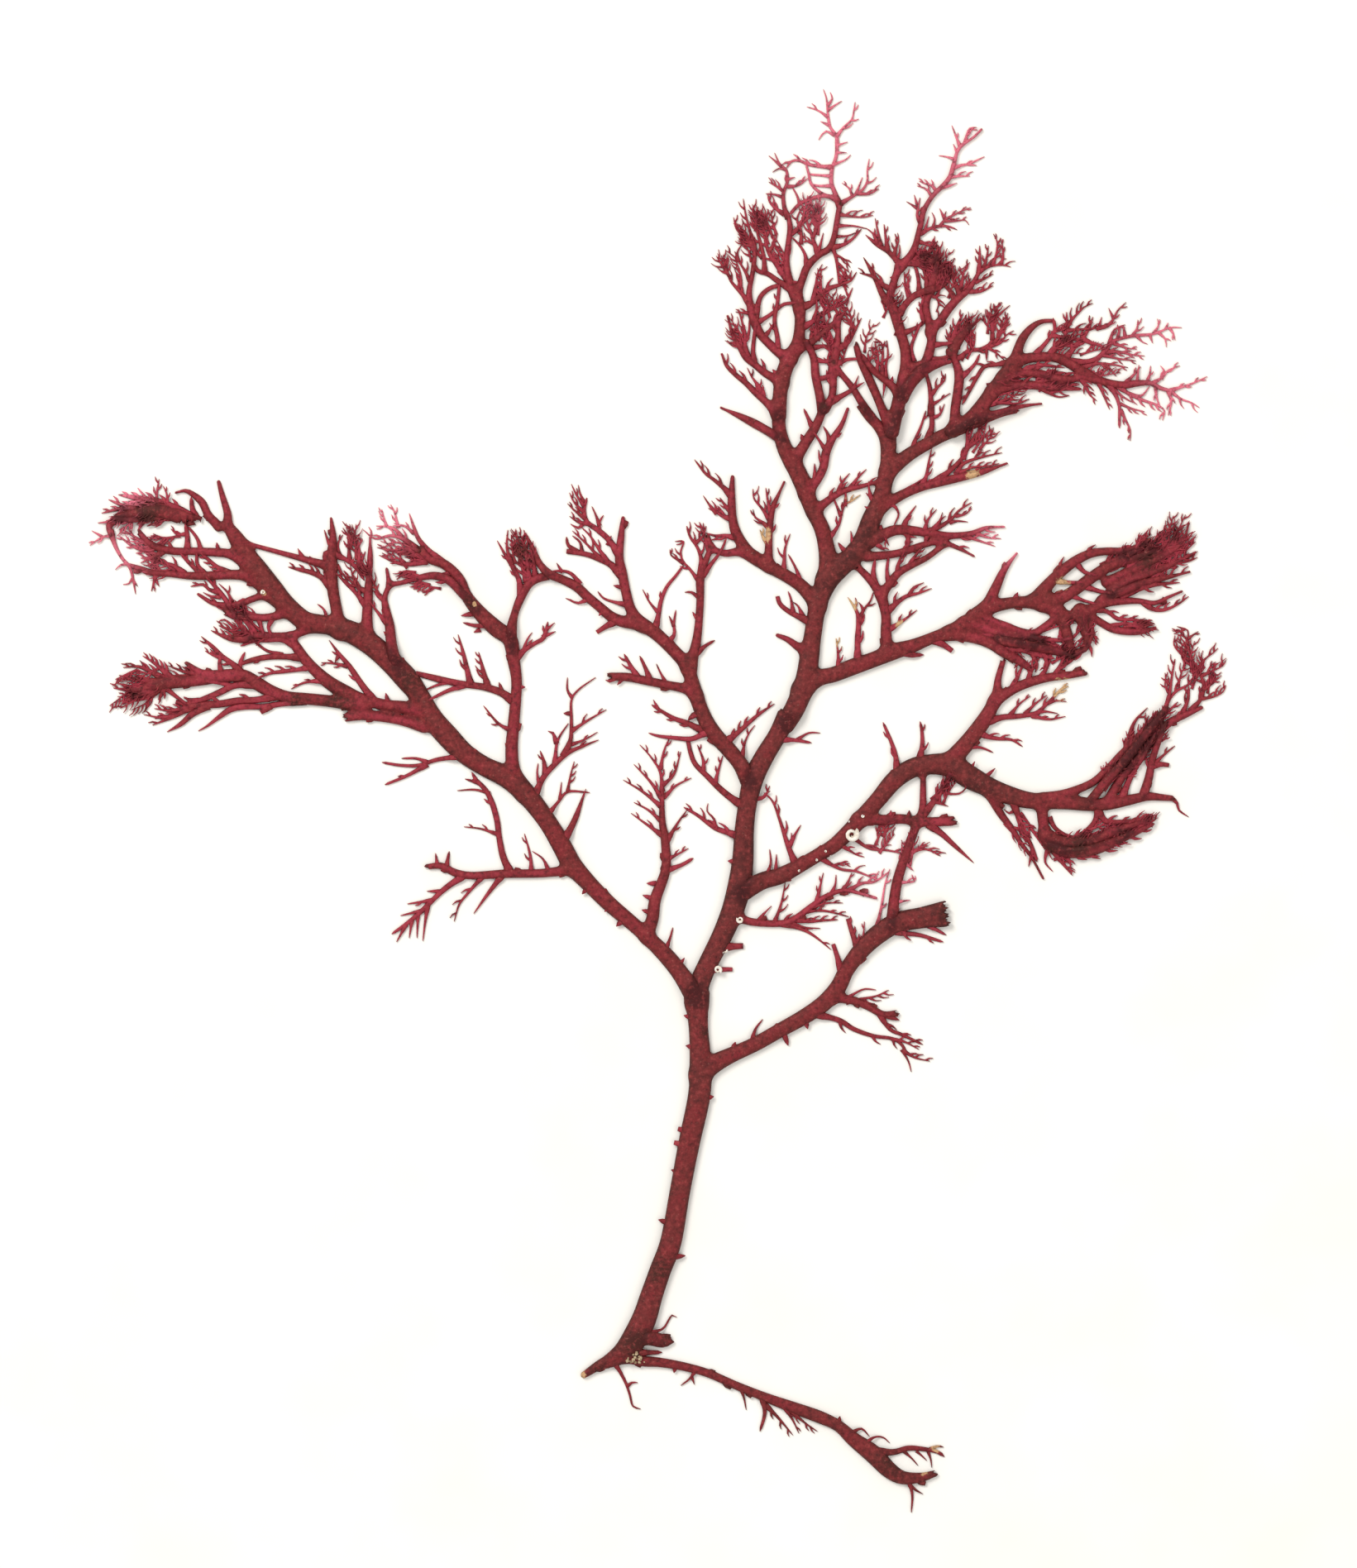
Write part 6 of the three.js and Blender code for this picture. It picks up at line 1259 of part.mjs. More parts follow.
// Closed outlines of the field at zero, with the frond on their left.
function outlines(field) {
  const { columns, rows, distance } = field;
  const next = new Map();
  const places = new Map();
  const crossing = (i, j, upright) => {
    const key = 2 * (j * columns + i) + (upright ? 1 : 0);
    if (!places.has(key)) {
      const here = distance[j * columns + i];
      const there = distance[upright ? (j + 1) * columns + i : j * columns + i + 1];
      const share = here / (here - there);
      const x = field.x0 + (i + (upright ? 0 : share)) * FIELD_STEP;
      const y = field.y0 + (j + (upright ? share : 0)) * FIELD_STEP;
      places.set(key, new THREE.Vector2(x, y));
    }
    return key;
  };
  const cellEdge = [(i, j) => crossing(i, j, false), (i, j) => crossing(i + 1, j, true),
    (i, j) => crossing(i, j + 1, false), (i, j) => crossing(i, j, true)];
  for (let j = 0; j < rows - 1; j += 1) {
    for (let i = 0; i < columns - 1; i += 1) {
      const at = j * columns + i;
      const corners = (distance[at] < 0 ? 1 : 0) + (distance[at + 1] < 0 ? 2 : 0)
        + (distance[at + columns + 1] < 0 ? 4 : 0) + (distance[at + columns] < 0 ? 8 : 0);
      for (const [from, to] of CELL_STEPS[corners] ?? []) {
        next.set(cellEdge[from](i, j), cellEdge[to](i, j));
      }
    }
  }
  const loops = [];
  while (next.size > 0) {
    const loop = [];
    let key = next.keys().next().value;
    while (next.has(key)) {
      loop.push(places.get(key));
      const following = next.get(key);
      next.delete(key);
      key = following;
    }
    loops.push(loop);
  }
  return loops;
}

// An open run of outline points with only those that its shape needs.
function simplified(points, tolerance) {
  const first = points[0];
  const last = points[points.length - 1];
  const chord = last.clone().sub(first);
  let furthest = 0;
  let most = 0;
  for (let i = 1; i < points.length - 1; i += 1) {
    const offset = points[i].clone().sub(first);
    const share = Math.min(1, Math.max(0, offset.dot(chord) / Math.max(chord.lengthSq(), 1e-12)));
    const gap = offset.distanceTo(chord.clone().multiplyScalar(share));
    if (gap > most) {
      most = gap;
      furthest = i;
    }
  }
  if (most <= tolerance) return [first, last];
  const head = simplified(points.slice(0, furthest + 1), tolerance);
  const rest = simplified(points.slice(furthest), tolerance);
  return [...head.slice(0, -1), ...rest];
}

function simplifiedLoop(loop, tolerance) {
  const half = Math.floor(loop.length / 2);
  const there = simplified(loop.slice(0, half + 1), tolerance);
  const back = simplified([...loop.slice(half), loop[0]], tolerance);
  return [...there.slice(0, -1), ...back.slice(0, -1)];
}

// The frond: its outline with the gaps among the blades, raised to the thickness at each point.
function thallusGeometry(field) {
  const loops = outlines(field);
  const area = (loop) => THREE.ShapeUtils.area(loop);
  const outer = loops.reduce((best, loop) => (area(loop) > area(best) ? loop : best));
  const shape = new THREE.Shape(simplifiedLoop(outer, OUTLINE_TOLERANCE));
  const gaps = loops.filter((loop) => area(loop) < -LEAST_GAP);
  shape.holes = gaps.map((loop) => new THREE.Path(simplifiedLoop(loop, OUTLINE_TOLERANCE)));
  const geometry = new THREE.ExtrudeGeometry(shape, { depth: 1, steps: 1, bevelEnabled: false });
  const position = geometry.getAttribute('position');
  for (let i = 0; i < position.count; i += 1) {
    const height = position.getZ(i) > 0 ? field.thicknessAt(position.getX(i), position.getY(i)) : 0;
    position.setZ(i, height);
  }
  geometry.computeVertexNormals();
  return geometry;
}

// A tube of rings round a route, closed at both ends, whose radius changes from ring to ring.
function taperedTube(centres, radii, sides) {
  const positions = [];
  const indices = [];
  centres.forEach((centre, ring) => {
    const before = centres[Math.max(0, ring - 1)];
    const after = centres[Math.min(centres.length - 1, ring + 1)];
    const ahead = after.clone().sub(before).normalize();
    const across = new THREE.Vector3(ahead.y, -ahead.x, 0).normalize();
    for (let side = 0; side < sides; side += 1) {
      const turn = 2 * Math.PI * (side + 0.5) / sides;
      const point = centre.clone().addScaledVector(across, Math.cos(turn) * radii[ring]);
      point.z += Math.sin(turn) * radii[ring];
      positions.push(point.x, point.y, point.z);
    }
  });
  for (let ring = 0; ring < centres.length - 1; ring += 1) {
    for (let side = 0; side < sides; side += 1) {
      const a = ring * sides + side;
      const b = ring * sides + (side + 1) % sides;
      indices.push(a, a + sides, b, b, a + sides, b + sides);
    }
  }
  const end = (centres.length - 1) * sides;
  for (let side = 1; side < sides - 1; side += 1) {
    indices.push(0, side, side + 1);
    indices.push(end, end + side + 1, end + side);
  }
  const geometry = new THREE.BufferGeometry();
  geometry.setAttribute('position', new THREE.Float32BufferAttribute(positions, 3));
  geometry.setIndex(indices);
  geometry.computeVertexNormals();
  return geometry;
}

// A flat coil that widens outwards, each turn just clear of the one inside it.
function coiledShell({ at: [x, y], across, hand, mouth }, floor) {
  const centres = [];
  const radii = [];
  const steps = Math.round(SHELL_TURNS * SHELL_STEPS_PER_TURN);
  for (let i = 0; i <= steps; i += 1) {
    const turns = SHELL_TURNS * i / steps;
    const outwards = across * (0.06 + 0.365 * turns / SHELL_TURNS);
    const radius = across * (0.04 + 0.115 * turns / SHELL_TURNS);
    const angle = mouth + hand * 2 * Math.PI * (turns - SHELL_TURNS);
    const centre = new THREE.Vector3(x + Math.cos(angle) * outwards, y + Math.sin(angle) * outwards, 0);
    centre.z = floor + radius;
    centres.push(centre);
    radii.push(radius);
  }
  return taperedTube(centres, radii, SHELL_SIDES);
}

function named(name, geometry, material) {
  const mesh = new THREE.Mesh(geometry, material);
  mesh.name = name;
  return mesh;
}

const frondMaterial = new THREE.MeshStandardMaterial({ color: 0x7a1f33, roughness: 0.6, metalness: 0 });
const shellMaterial = new THREE.MeshStandardMaterial({ color: 0xe6e0d4, roughness: 0.5, metalness: 0 });

const field = new Field(allBlades());
const frond = new THREE.Group();
frond.add(named('thallus', thallusGeometry(field), frondMaterial));
for (const [name, shell] of Object.entries(SHELLS)) {
  const floor = field.thicknessAt(shell.at[0], shell.at[1]) + SHELL_GAP;
  frond.add(named(name, coiledShell(shell, floor), shellMaterial));
}

export default frond;
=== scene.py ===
"""A pressed red seaweed frond, Plocamium pacificum, dressed for rendering.

The axes and broad blades are laid up from flat sheets. Each limb has up to three, one over the other
where its blades cross, and each sheet is raised from a field of distances to the blades' edges, so
that blades grow into what bears them with a web in the fork, and have a rounded upper face and a thin
rim. Slender blades, teeth and the teeth's own teeth are ribbons with a lens for a section, which grow
out of the sheets and drape over what they cross.
"""
import math

import bpy
import numpy as np
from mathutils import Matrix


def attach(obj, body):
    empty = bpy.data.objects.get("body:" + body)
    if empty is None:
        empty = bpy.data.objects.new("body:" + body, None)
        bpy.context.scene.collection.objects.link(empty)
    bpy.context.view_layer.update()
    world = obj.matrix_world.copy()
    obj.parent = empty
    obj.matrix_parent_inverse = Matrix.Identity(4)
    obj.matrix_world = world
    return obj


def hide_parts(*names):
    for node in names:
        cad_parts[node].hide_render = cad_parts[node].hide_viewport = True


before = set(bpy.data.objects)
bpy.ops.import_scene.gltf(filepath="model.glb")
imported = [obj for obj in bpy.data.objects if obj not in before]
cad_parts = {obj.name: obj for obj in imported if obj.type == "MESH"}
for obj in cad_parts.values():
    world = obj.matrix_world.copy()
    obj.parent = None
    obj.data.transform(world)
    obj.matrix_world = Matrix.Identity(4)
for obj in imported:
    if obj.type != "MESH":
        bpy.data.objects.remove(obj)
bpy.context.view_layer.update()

MM = 0.001

# Sizes in millimetres: the field's step, how far a blade's distances are kept, the margin round the
# frond, the fork's web, a broad blade's least widths at root and tip, and the step of a smooth curve.
STEP = 0.15
REACH = 0.9
MARGIN = 2.0
FORK_WEB = 0.5
LEAST_ROOT = 0.32
LEAST_TIP = 0.25
SMOOTH_STEP = 0.36
# How deep a place lies in a blade to count as its body, and how near to a blade its values are kept.
BODY_DEPTH = STEP / 3
NEAR_RIM = 2 * STEP
# The least values that anything is divided by.
LEAST_LENGTH = 1e-6
LEAST_HELD = 1e-4
# A row whose widest place is under this is a ribbon. A row that ends wider than a cut is a cut stub.
SHEET_FROM = 1.0
CUT_FROM = 0.45
CUT_FLARE = 1.12
# A cut's overhang, and its waves as depth, pace and start. Browning spreads back from it, by a length
# and a share of the width, if nothing grows on at this distance ahead.
CUT_OVERHANG = 0.15
CUT_WAVES = [[0.2, 8.0, 0.0], [0.16, 21.0, 1.0]]
CUT_BROWNING = [0.2, 0.35]
CUT_LOOK_AHEAD = 0.9

# A broad blade's thickness at no width and what each millimetre of width adds, the share of it that
# lies under the rim, how far a layer is pressed down, and how long a blade takes to rise to its layer.
THINNEST = 0.26
THICKNESS_PER_WIDTH = 0.34
RIM_SHARE = 0.32
PRESSED = 0.8
RISE_LENGTH = 2.4
# A limb's layers at most, the share of a blade that may cross its layer, how far out of its root that
# is counted from, and the least area in square millimetres that is kept.
LAYERS = 3
CROSSING_SHARE = 0.1
ROOT_CLEARANCE = 1.2
LEAST_SCRAP = 0.3
# How many cells to each side the tint, the rise, the ground and the cover are evened over.
TINT_CELLS = 4
RISE_CELLS = 3
GROUND_CELLS = 3
COVER_CELLS = 2

# The seeded run of draws.
RANDOM_SEED = 20261
RANDOM_FACTOR = 1664525
RANDOM_STEP = 1013904223
RANDOM_RANGE = 4294967296

# Teeth: a comb of side branchlets on one side of a blade, or on both by turns. They have the roots that
# the solid's teeth have, but are longer and more upright. Angles are in radians.
COMB_START = 0.16
COMB_SPAN = 0.78
COMB_SCATTER = 0.4
TOOTH_ANGLE = 0.76
TOOTH_ANGLE_SPREAD = 0.3
TOOTH_BEND = 0.5
TOOTH_LONGER = 1.25
# A tooth's length against the one stated: at the blade's root, what is lost up to the tip, and chance.
TOOTH_AT_ROOT = 1.12
TOOTH_LOSS = 0.4
TOOTH_LEAST = 0.85
TOOTH_CHANCE = 0.3
# A tooth's reach to its bend and from there to its tip, and its widths at root, bend and tip.
TO_BEND = 0.55
TO_TIP = 0.5
TOOTH_WIDEST = 0.5
TOOTH_WIDTH_SHARE = 0.4
TOOTH_WIDTH_BASE = 0.14
BEND_WIDTH = 0.72
TIP_WIDTH = 0.3
# A tooth's own teeth: the share of the tooth where each grows, its side and its share of the length.
SUB_TOOTH_FROM = 0.95
SUB_TEETH = [[0.34, -1, 0.55], [0.55, 1, 0.42], [0.74, -1, 0.42]]
SUB_TOOTH_SCATTER = 0.1
SUB_TOOTH_SEEDS = 10000

# Ribbons: their thickness, finest root and tip, the flare at the root, and how they climb.
RIBBON_THINNEST = 0.12
RIBBON_THICKNESS_PER_WIDTH = 0.35
RIBBON_ROOT = 0.15
RIBBON_TIP = 0.06
FLARE_SHARE = 0.4
FLARE_WIDTH = 0.16
FLARE_LENGTH = 0.3
BLADE_SLIMMER = 0.86
TOOTH_SLIMMER = 0.78
CLIMB_LENGTH = 1.1
DEEPEST_ROOT = 1.6
LONGEST_ROOT = 0.6
TALLEST = 1.32
COUNTED_FROM = 0.35
# How high in the blade below a ribbon is rooted, as a share of that blade's height and a lift.
BLADE_ROOT_HEIGHT = 0.45
TOOTH_ROOT_HEIGHT = 0.4
ROOT_LIFT = 0.05
# The places under a ribbon that are filled in: their spacing along it, and where they lie across it.
SPOT_STEP = STEP * 0.6
SPOTS_ACROSS = [-0.6, 0, 0.6]

# Stubs of teeth that broke off, along the broad blades, common low down and rare high up: y and the
# shares there. The scatter and the length are a least value and what chance adds to it.
STUB_SPACING = 1.9
STUB_SHARES = [[-20, 25], [0.6, 0.05]]
STUB_SCATTER = [0.2, 0.6]
STUB_LENGTH = [0.2, 0.4]
STUB_WIDTHS = [0.8, 0.6, 0.47]
STUB_TINT = 3.0

# Sprigs that lie matted in the tangles: length, as a least value and chance, widths at root and tip,
# teeth and their length, bend in millimetres, turn in degrees, and how many of the count are laid.
SPRIG_LENGTH = [2.2, 1.6]
SPRIG_WIDTHS = [0.3, 0.09]
SPRIG_TEETH = 6
SPRIG_TOOTH = 0.88
SPRIG_BEND = 0.6
SPRIG_TURN = 28
SPRIG_SHARE = 0.7

# Each row is one blade: root width, tip width, its teeth as [side, how many, length], and then the
# points of its midrib from root to tip, each [x, y] or [x, y, width there], in millimetres. Side L or
# R is the left or right hand of someone who walks from root to tip, and A is both by turns.

# Stipe and the short stubs on it.
STIPE = [
    [0.7, 2.2, [], [-7.6, -58.7], [-6.2, -57.8, 1.0], [-4.9, -57.2, 1.5], [-3.5, -56.3, 2.2],
     [-2.4, -54.9, 2.6], [-1.4, -52.8, 2.5], [-0.7, -50.6, 2.3], [0.2, -48, 2.2], [1.3, -45, 2.2],
     [2.2, -40, 2.1], [3.15, -35, 2.2], [4.2, -30, 2.3], [4.3, -26.5, 2.2], [4.1, -23, 2.0],
     [3.9, -19.6, 2.3]],
    [0.7, 0.5, [], [3.2, -33.8], [2.0, -33.5]],
    [0.7, 0.5, [], [2.9, -35.2], [1.6, -34.9]],
    [0.6, 0.4, [], [2.4, -38.0], [1.3, -37.7]],
    [0.6, 0.4, [], [1.4, -43.2], [0.0, -42.8]],
    [0.6, 0.4, [], [-0.9, -51.5], [-2.1, -51.2]],
    [0.6, 0.4, [], [3.9, -22.2], [2.6, -21.9]],
    [0.6, 0.4, [], [4.1, -25.2], [2.8, -25.0]],
    [0.6, 0.4, [], [4.4, -30.4], [5.7, -30.2]],
    [0.6, 0.4, [], [1.2, -46.6], [2.8, -46.5]],
    [1.5, 0.5, [], [-2.4, -55.2], [-1.0, -54.9], [0.4, -55.2, 1.4], [1.4, -55.2]],
    [0.9, 0.4, [], [-2.8, -56.4], [-1.2, -56.4], [0.4, -56.4]],
    [0.4, 0.2, [], [-1.2, -54.4], [0.4, -54.0], [1.0, -53.2], [1.4, -52.6], [1.9, -52.8]],
    [0.5, 0.2, [], [-4.6, -57.2], [-3.9, -58.4], [-3.3, -59.6], [-2.9, -60.8], [-2.6, -61.9],
     [-1.8, -62.2]],
    [0.35, 0.15, [], [-3.2, -59.9], [-2.7, -59.5], [-2.1, -59.5]],
]
# Creeping branch at the foot.
RUNNER = [
    [1.2, 0.6, [], [-3.2, -56.9], [-1.4, -57.3, 1.1], [0, -57.4, 1.0], [2.4, -57.8, 0.9], [5, -58.5, 0.85],
     [8, -59.8, 0.85], [11, -61, 0.95], [14, -62.1, 1.2], [16.5, -63, 1.3], [18.4, -63.9, 1.2],
     [20, -65.3, 1.5], [22, -66.8, 1.9], [23.6, -68.4, 1.7], [25, -69.2, 1.4], [26.8, -69.2, 1.0],
     [28.3, -68.8, 0.6]],
    [0.9, 0.4, [], [21.6, -66.4], [24, -66.6, 0.8], [25.6, -66.2, 0.7], [27.2, -66.3, 0.6],
     [28.6, -66.6, 0.5],
     [29.3, -67.1]],
    [0.35, 0.2, [], [27.8, -66.3], [28.6, -66.0], [29.2, -66.1]],
    [0.35, 0.12, [], [25, -66.4], [25.9, -67.2], [26.6, -68.0]],
    [0.3, 0.12, [], [26.4, -66.5], [27.0, -67.0], [27.5, -67.5]],
    [0.3, 0.12, [], [27.6, -66.5], [27.9, -67.4], [28.0, -68.2]],
    [0.45, 0.15, [], [25.6, -69.4], [26, -71], [25.9, -72.8]],
    [0.3, 0.12, [], [25.8, -70.0], [26.4, -70.5], [27.1, -70.9]],
    [0.5, 0.3, [], [18.4, -63.8], [18.6, -62.9]],
    [0.4, 0.12, [], [19.8, -64.6], [20.8, -64.2], [21.6, -65.0]],
    [0.4, 0.12, [], [21.0, -65.9], [22.0, -65.1], [23.0, -65.1], [23.7, -65.7]],
    [0.5, 0.3, [], [1.8, -57.6], [1.6, -58.5]],
    [0.4, 0.15, [], [4.0, -58.0], [3.2, -59.1], [2.3, -59.8]],
    [0.3, 0.12, [], [3.4, -58.8], [3.7, -59.7]],
    [0.4, 0.12, [], [8.4, -59.8], [8.8, -61.2], [9.0, -62.3]],
    [0.6, 0.3, [], [10.6, -60.9], [10.9, -62.6], [10.4, -64.5]],
    [0.5, 0.12, ["R", 3, 0.6], [10.8, -61.6], [12.2, -63.0], [13.8, -64.9]],
    [0.45, 0.12, ["L", 2, 0.5], [12.8, -61.8], [13.8, -63.4], [14.4, -64.7]],
    [0.45, 0.12, ["R", 3, 0.6], [13.4, -62.2], [15, -63.6], [16.3, -64.5]],
]
# Lowest right limb.
LOW_RIGHT = [
    [2.1, 2.4, [], [4.2, -28.0], [5.8, -26.8, 1.9], [7.6, -25.9, 1.6], [10, -24.8, 1.5], [12.5, -23.4, 1.5],
     [15, -22, 1.6], [17, -20.6, 1.7], [18.4, -19, 1.7], [19.3, -17.2, 1.6], [20.8, -15.2, 1.8],
     [22.5, -13.6, 2.0], [24.5, -12.4, 2.1], [27, -11.9, 2.2], [29.4, -11.5, 2.4]],
    [0.6, 0.4, [], [7.6, -25.6], [7.9, -24.6]],
    [0.5, 0.15, [], [9.6, -24.7], [9.9, -23.4], [10.7, -22.3]],
    [0.5, 0.4, [], [12.8, -23.6], [13.3, -25.0]],
    [0.5, 0.4, [], [15.0, -22.2], [15.3, -23.3]],
    [0.7, 0.5, [], [18.8, -18.0], [18.4, -16.2], [17.9, -14.6]],
    [0.8, 0.5, ["R", 3, 0.5], [20.6, -15.6], [19.9, -13.6], [19.4, -12.0]],
    [0.35, 0.12, ["L", 2, 0.4], [20.8, -15.2], [21.0, -13.6], [21.1, -12.3]],
    [0.7, 0.3, ["R", 2, 0.6], [23.4, -13.2], [25.2, -13.5], [26.8, -13.7], [29.2, -14.4]],
    [0.5, 0.3, [], [27.4, -12.6], [28.4, -13.1], [29.5, -13.7]],
    [1.0, 0.6, [], [17.6, -20.0], [20, -20.4], [21.5, -21], [23, -21.8, 0.7], [24.4, -21.7]],
    [0.5, 0.3, [], [23.2, -21.9], [24.7, -22.4]],
    [0.45, 0.15, ["R", 5, 0.9], [19.2, -20.6], [21, -20.2], [22.4, -19.9], [23.6, -19.3]],
    [0.35, 0.15, [], [19.2, -20.2], [20.4, -19.5], [21.2, -19.2], [22.3, -19.3]],
    [0.6, 0.25, ["L", 3, 0.7], [22.6, -21.7], [23.7, -23.3], [25, -23.9], [27.1, -24.9]],
    [0.8, 0.35, ["R", 3, 0.9], [15.8, -21.7], [18.5, -22.4], [20, -23.3], [22, -24], [24, -24.3], [25, -25],
     [25.4, -26]],
    [0.35, 0.12, [], [24.9, -25.4], [25.6, -26.6], [25.9, -27.7]],
    [0.35, 0.12, ["L", 3, 0.7], [25.0, -25.4], [26.2, -26.2], [27.8, -26.6]],
    [0.35, 0.12, ["L", 3, 0.6], [23.8, -24.3], [25.2, -24.6], [26.7, -25.4]],
]
# Centre axis from the main fork to its own fork.
CENTRE = [
    [2.3, 1.9, [], [3.9, -20.6], [4.1, -19.0], [5.0, -16.8, 2.0], [6.5, -13.8, 2.1], [7.6, -11.2, 2.3],
     [8.3, -8.6, 2.4], [8.65, -6, 2.2], [8.8, -3, 2.0], [9.1, -0.5, 1.9], [9.7, 2.2, 2.1], [10.8, 4.5, 2.0],
     [12.2, 6.8, 1.9], [13.3, 9.0, 1.9]],
    [0.9, 0.5, [], [8.9, -0.6], [7.4, 0.4], [6.2, 1.4], [5, 2.6], [3.8, 3.8], [3.3, 5.0], [3.0, 6.4]],
    [0.45, 0.15, ["L", 2, 0.5], [5.8, 1.8], [6.1, 3.0], [6.6, 4.7]],
    [0.45, 0.2, [], [7.2, 0.4], [6.9, 1.1]],
    [0.45, 0.15, ["R", 2, 0.5], [4.6, 2.9], [4.6, 4.2], [4.0, 5.8]],
    [0.8, 0.3, ["R", 4, 0.9], [8.8, -3.8], [7.2, -3.2], [5.8, -2.7], [4.0, -1.4], [2.6, -0.6]],
    [0.35, 0.12, [], [5.8, -2.7], [5.7, -1.8], [5.0, -1.0], [5.1, -0.2]],
    [0.6, 0.4, [], [8.4, -6.2], [7.1, -6.1]],
    [0.9, 0.7, [], [6.2, -14.9], [8.7, -14.8]],
    [0.7, 0.5, [], [5.2, -17.2], [7.6, -17.2]],
    [0.6, 0.3, [], [11.8, 6.2], [13.6, 6.3], [15.7, 6.0]],
    [0.35, 0.15, [], [14.2, 6.3], [15.4, 7.0], [16.6, 7.0]],
    [0.45, 0.15, ["L", 2, 0.6], [9.8, 0.2], [10.9, 0.5], [11.4, 1.6]],
]
# Spray low on the right of the centre axis.
LOW_SPRAY = [
    [1.0, 0.3, ["L", 3, 0.8], [7.8, -11.6], [9.4, -12.3, 0.8], [12.4, -12.5, 0.7], [14, -12, 0.7],
     [15.6, -10.8], [17.2, -9.7], [19, -9.1], [20.6, -9.4], [22.3, -9.9]],
    [0.6, 0.12, ["L", 2, 0.6], [12.4, -12.5], [13.8, -12.8], [15.2, -13.3], [16.4, -14.1], [17.7, -15.2]],
    [0.5, 0.2, ["L", 4, 0.7], [13.8, -12.1], [15.4, -12.3], [16.6, -12.2], [18.4, -12.1]],
    [0.4, 0.15, ["L", 3, 0.6], [15.0, -11.3], [17, -11.2], [19.5, -11.8]],
    [0.35, 0.12, ["L", 2, 0.5], [15.8, -10.8], [17.4, -10.4], [18.9, -10.4]],
    [0.35, 0.12, [], [13.6, -12.4], [15.0, -12.9], [16.6, -13.0]],
    [0.45, 0.12, ["R", 3, 0.8], [11.9, -12.4], [12.6, -10.4], [13, -8.3]],
    [0.35, 0.12, [], [10.0, -12.4], [10.8, -11.5], [11.6, -10.7]],
    [0.4, 0.12, ["L", 2, 0.5], [16.2, -10.4], [16.5, -9.0], [16.9, -7.3]],
    [0.4, 0.12, [], [17.6, -9.6], [18.1, -8.6], [18.2, -7.5]],
    [0.4, 0.12, ["R", 2, 0.5], [18.8, -9.3], [19.4, -8.3], [19.8, -7.3]],
    [0.5, 0.15, ["L", 4, 0.8], [19.4, -9.2], [20.8, -8.4], [22.2, -8.2], [23.6, -7.2]],
]
# Right limb and what grows from it.
RIGHT = [
    [1.9, 0.5, [], [8.5, -9.4], [10.5, -8.2, 1.8], [12.5, -7.6, 1.7], [14.8, -6.4, 1.45], [16.5, -5.4, 1.4],
     [18, -4.5, 1.5], [19.6, -3, 1.6], [21, -1.5, 1.7], [22.5, 0.2, 1.7], [24.2, 2.2, 1.9], [26, 3.4, 2.0],
     [28, 3.8, 2.1], [30, 3.6, 2.4], [32, 2.4, 2.4], [34, 1.4, 2.0], [36, 0.6, 1.9], [38, 0.1, 1.7],
     [40, 0, 1.6], [42, -0.1, 1.5], [44, -0.3, 1.4], [46, -0.3, 1.2], [48, 0.1, 1.1], [50, 0.5, 0.9],
     [51.6, 0.4, 0.7], [52.8, 0.3]],
    [0.4, 0.12, [], [52.5, 0.4], [53.1, -0.2], [53.3, -0.9], [54.3, -1.6]],
    [0.8, 0.2, ["R", 4, 0.9], [14.2, -6.8], [13.3, -4.6], [12.4, -1.8], [11.7, 0.0], [10.8, 0.9]],
    [0.5, 0.15, [], [13.4, -4.6], [14.0, -3.4], [14.6, -2.4]],
    [0.45, 0.15, [], [12.0, -7.7], [12.1, -5.4]],
    [0.45, 0.15, [], [10.9, -8.0], [11.5, -6.4], [11.4, -4.9]],
    [0.7, 0.3, ["L", 2, 0.6], [24.4, 2.8], [24.3, 4.6], [23.8, 6.2], [23.0, 8.1]],
    [0.8, 0.3, ["R", 2, 0.6], [26.6, 3.8], [27, 5.6], [27, 7.0], [26.8, 8.2]],
    [1.2, 0.9, [], [20.4, -1.8], [23, -1.9], [25, -1.8, 1.0], [27, -2.1], [30.3, -2.0]],
    [0.9, 0.12, [], [27.6, -2.3], [29.0, -3.3], [30.2, -4.4], [32.3, -6.3]],
    [0.5, 0.3, [], [23.8, -1.9], [23.8, -0.9]],
    [0.5, 0.3, [], [25.6, -1.9], [25.7, -0.9]],
    [1.2, 0.5, ["L", 2, 0.6], [23.8, -12.8], [24.4, -8.5], [25.3, -5.5], [26.2, -3, 0.9], [27, -1, 0.8],
     [27.1, 0.9], [27.1, 3.0]],
    [0.9, 0.6, [], [26.6, -2.0], [28.2, 0], [29.3, 1.6], [29.9, 2.9]],
    [0.4, 0.15, ["L", 5, 0.9], [25.6, -5.2], [27.4, -4.9], [28.9, -5.6]],
    [0.4, 0.15, ["L", 2, 0.5], [24.6, -8.3], [26.2, -8.2], [26.3, -7.6]],
    [0.35, 0.15, [], [24.4, -10.3], [25.8, -10.1]],
    [0.35, 0.15, [], [25.2, -6.2], [26.1, -7.1]],
    [0.35, 0.15, [], [28.2, 0], [29.7, -0.5]],
    [0.45, 0.15, ["L", 2, 0.5], [18.6, -4.4], [20.2, -5.4], [21.1, -5.7]],
    [0.5, 0.2, ["L", 3, 0.9], [19.8, -3.6], [21.6, -4.8], [23.4, -5], [25.0, -5.3]],
    [0.5, 0.15, ["L", 3, 1.0], [16.6, -5.8], [18.6, -6.9], [20.4, -7.2], [22.6, -8.1]],
    [0.45, 0.15, ["R", 2, 0.5], [22.2, -13.4], [22.8, -11], [23.2, -8.6], [23.7, -6.9]],
    [0.35, 0.15, [], [29.2, 0.8], [30.8, 0.8], [31.5, 1.5], [31.0, 2.1]],
    [0.4, 0.2, [], [31.8, 3.0], [32.4, 4.1]],
    [0.45, 0.2, [], [33.4, 2.4], [34.5, 3.4]],
]
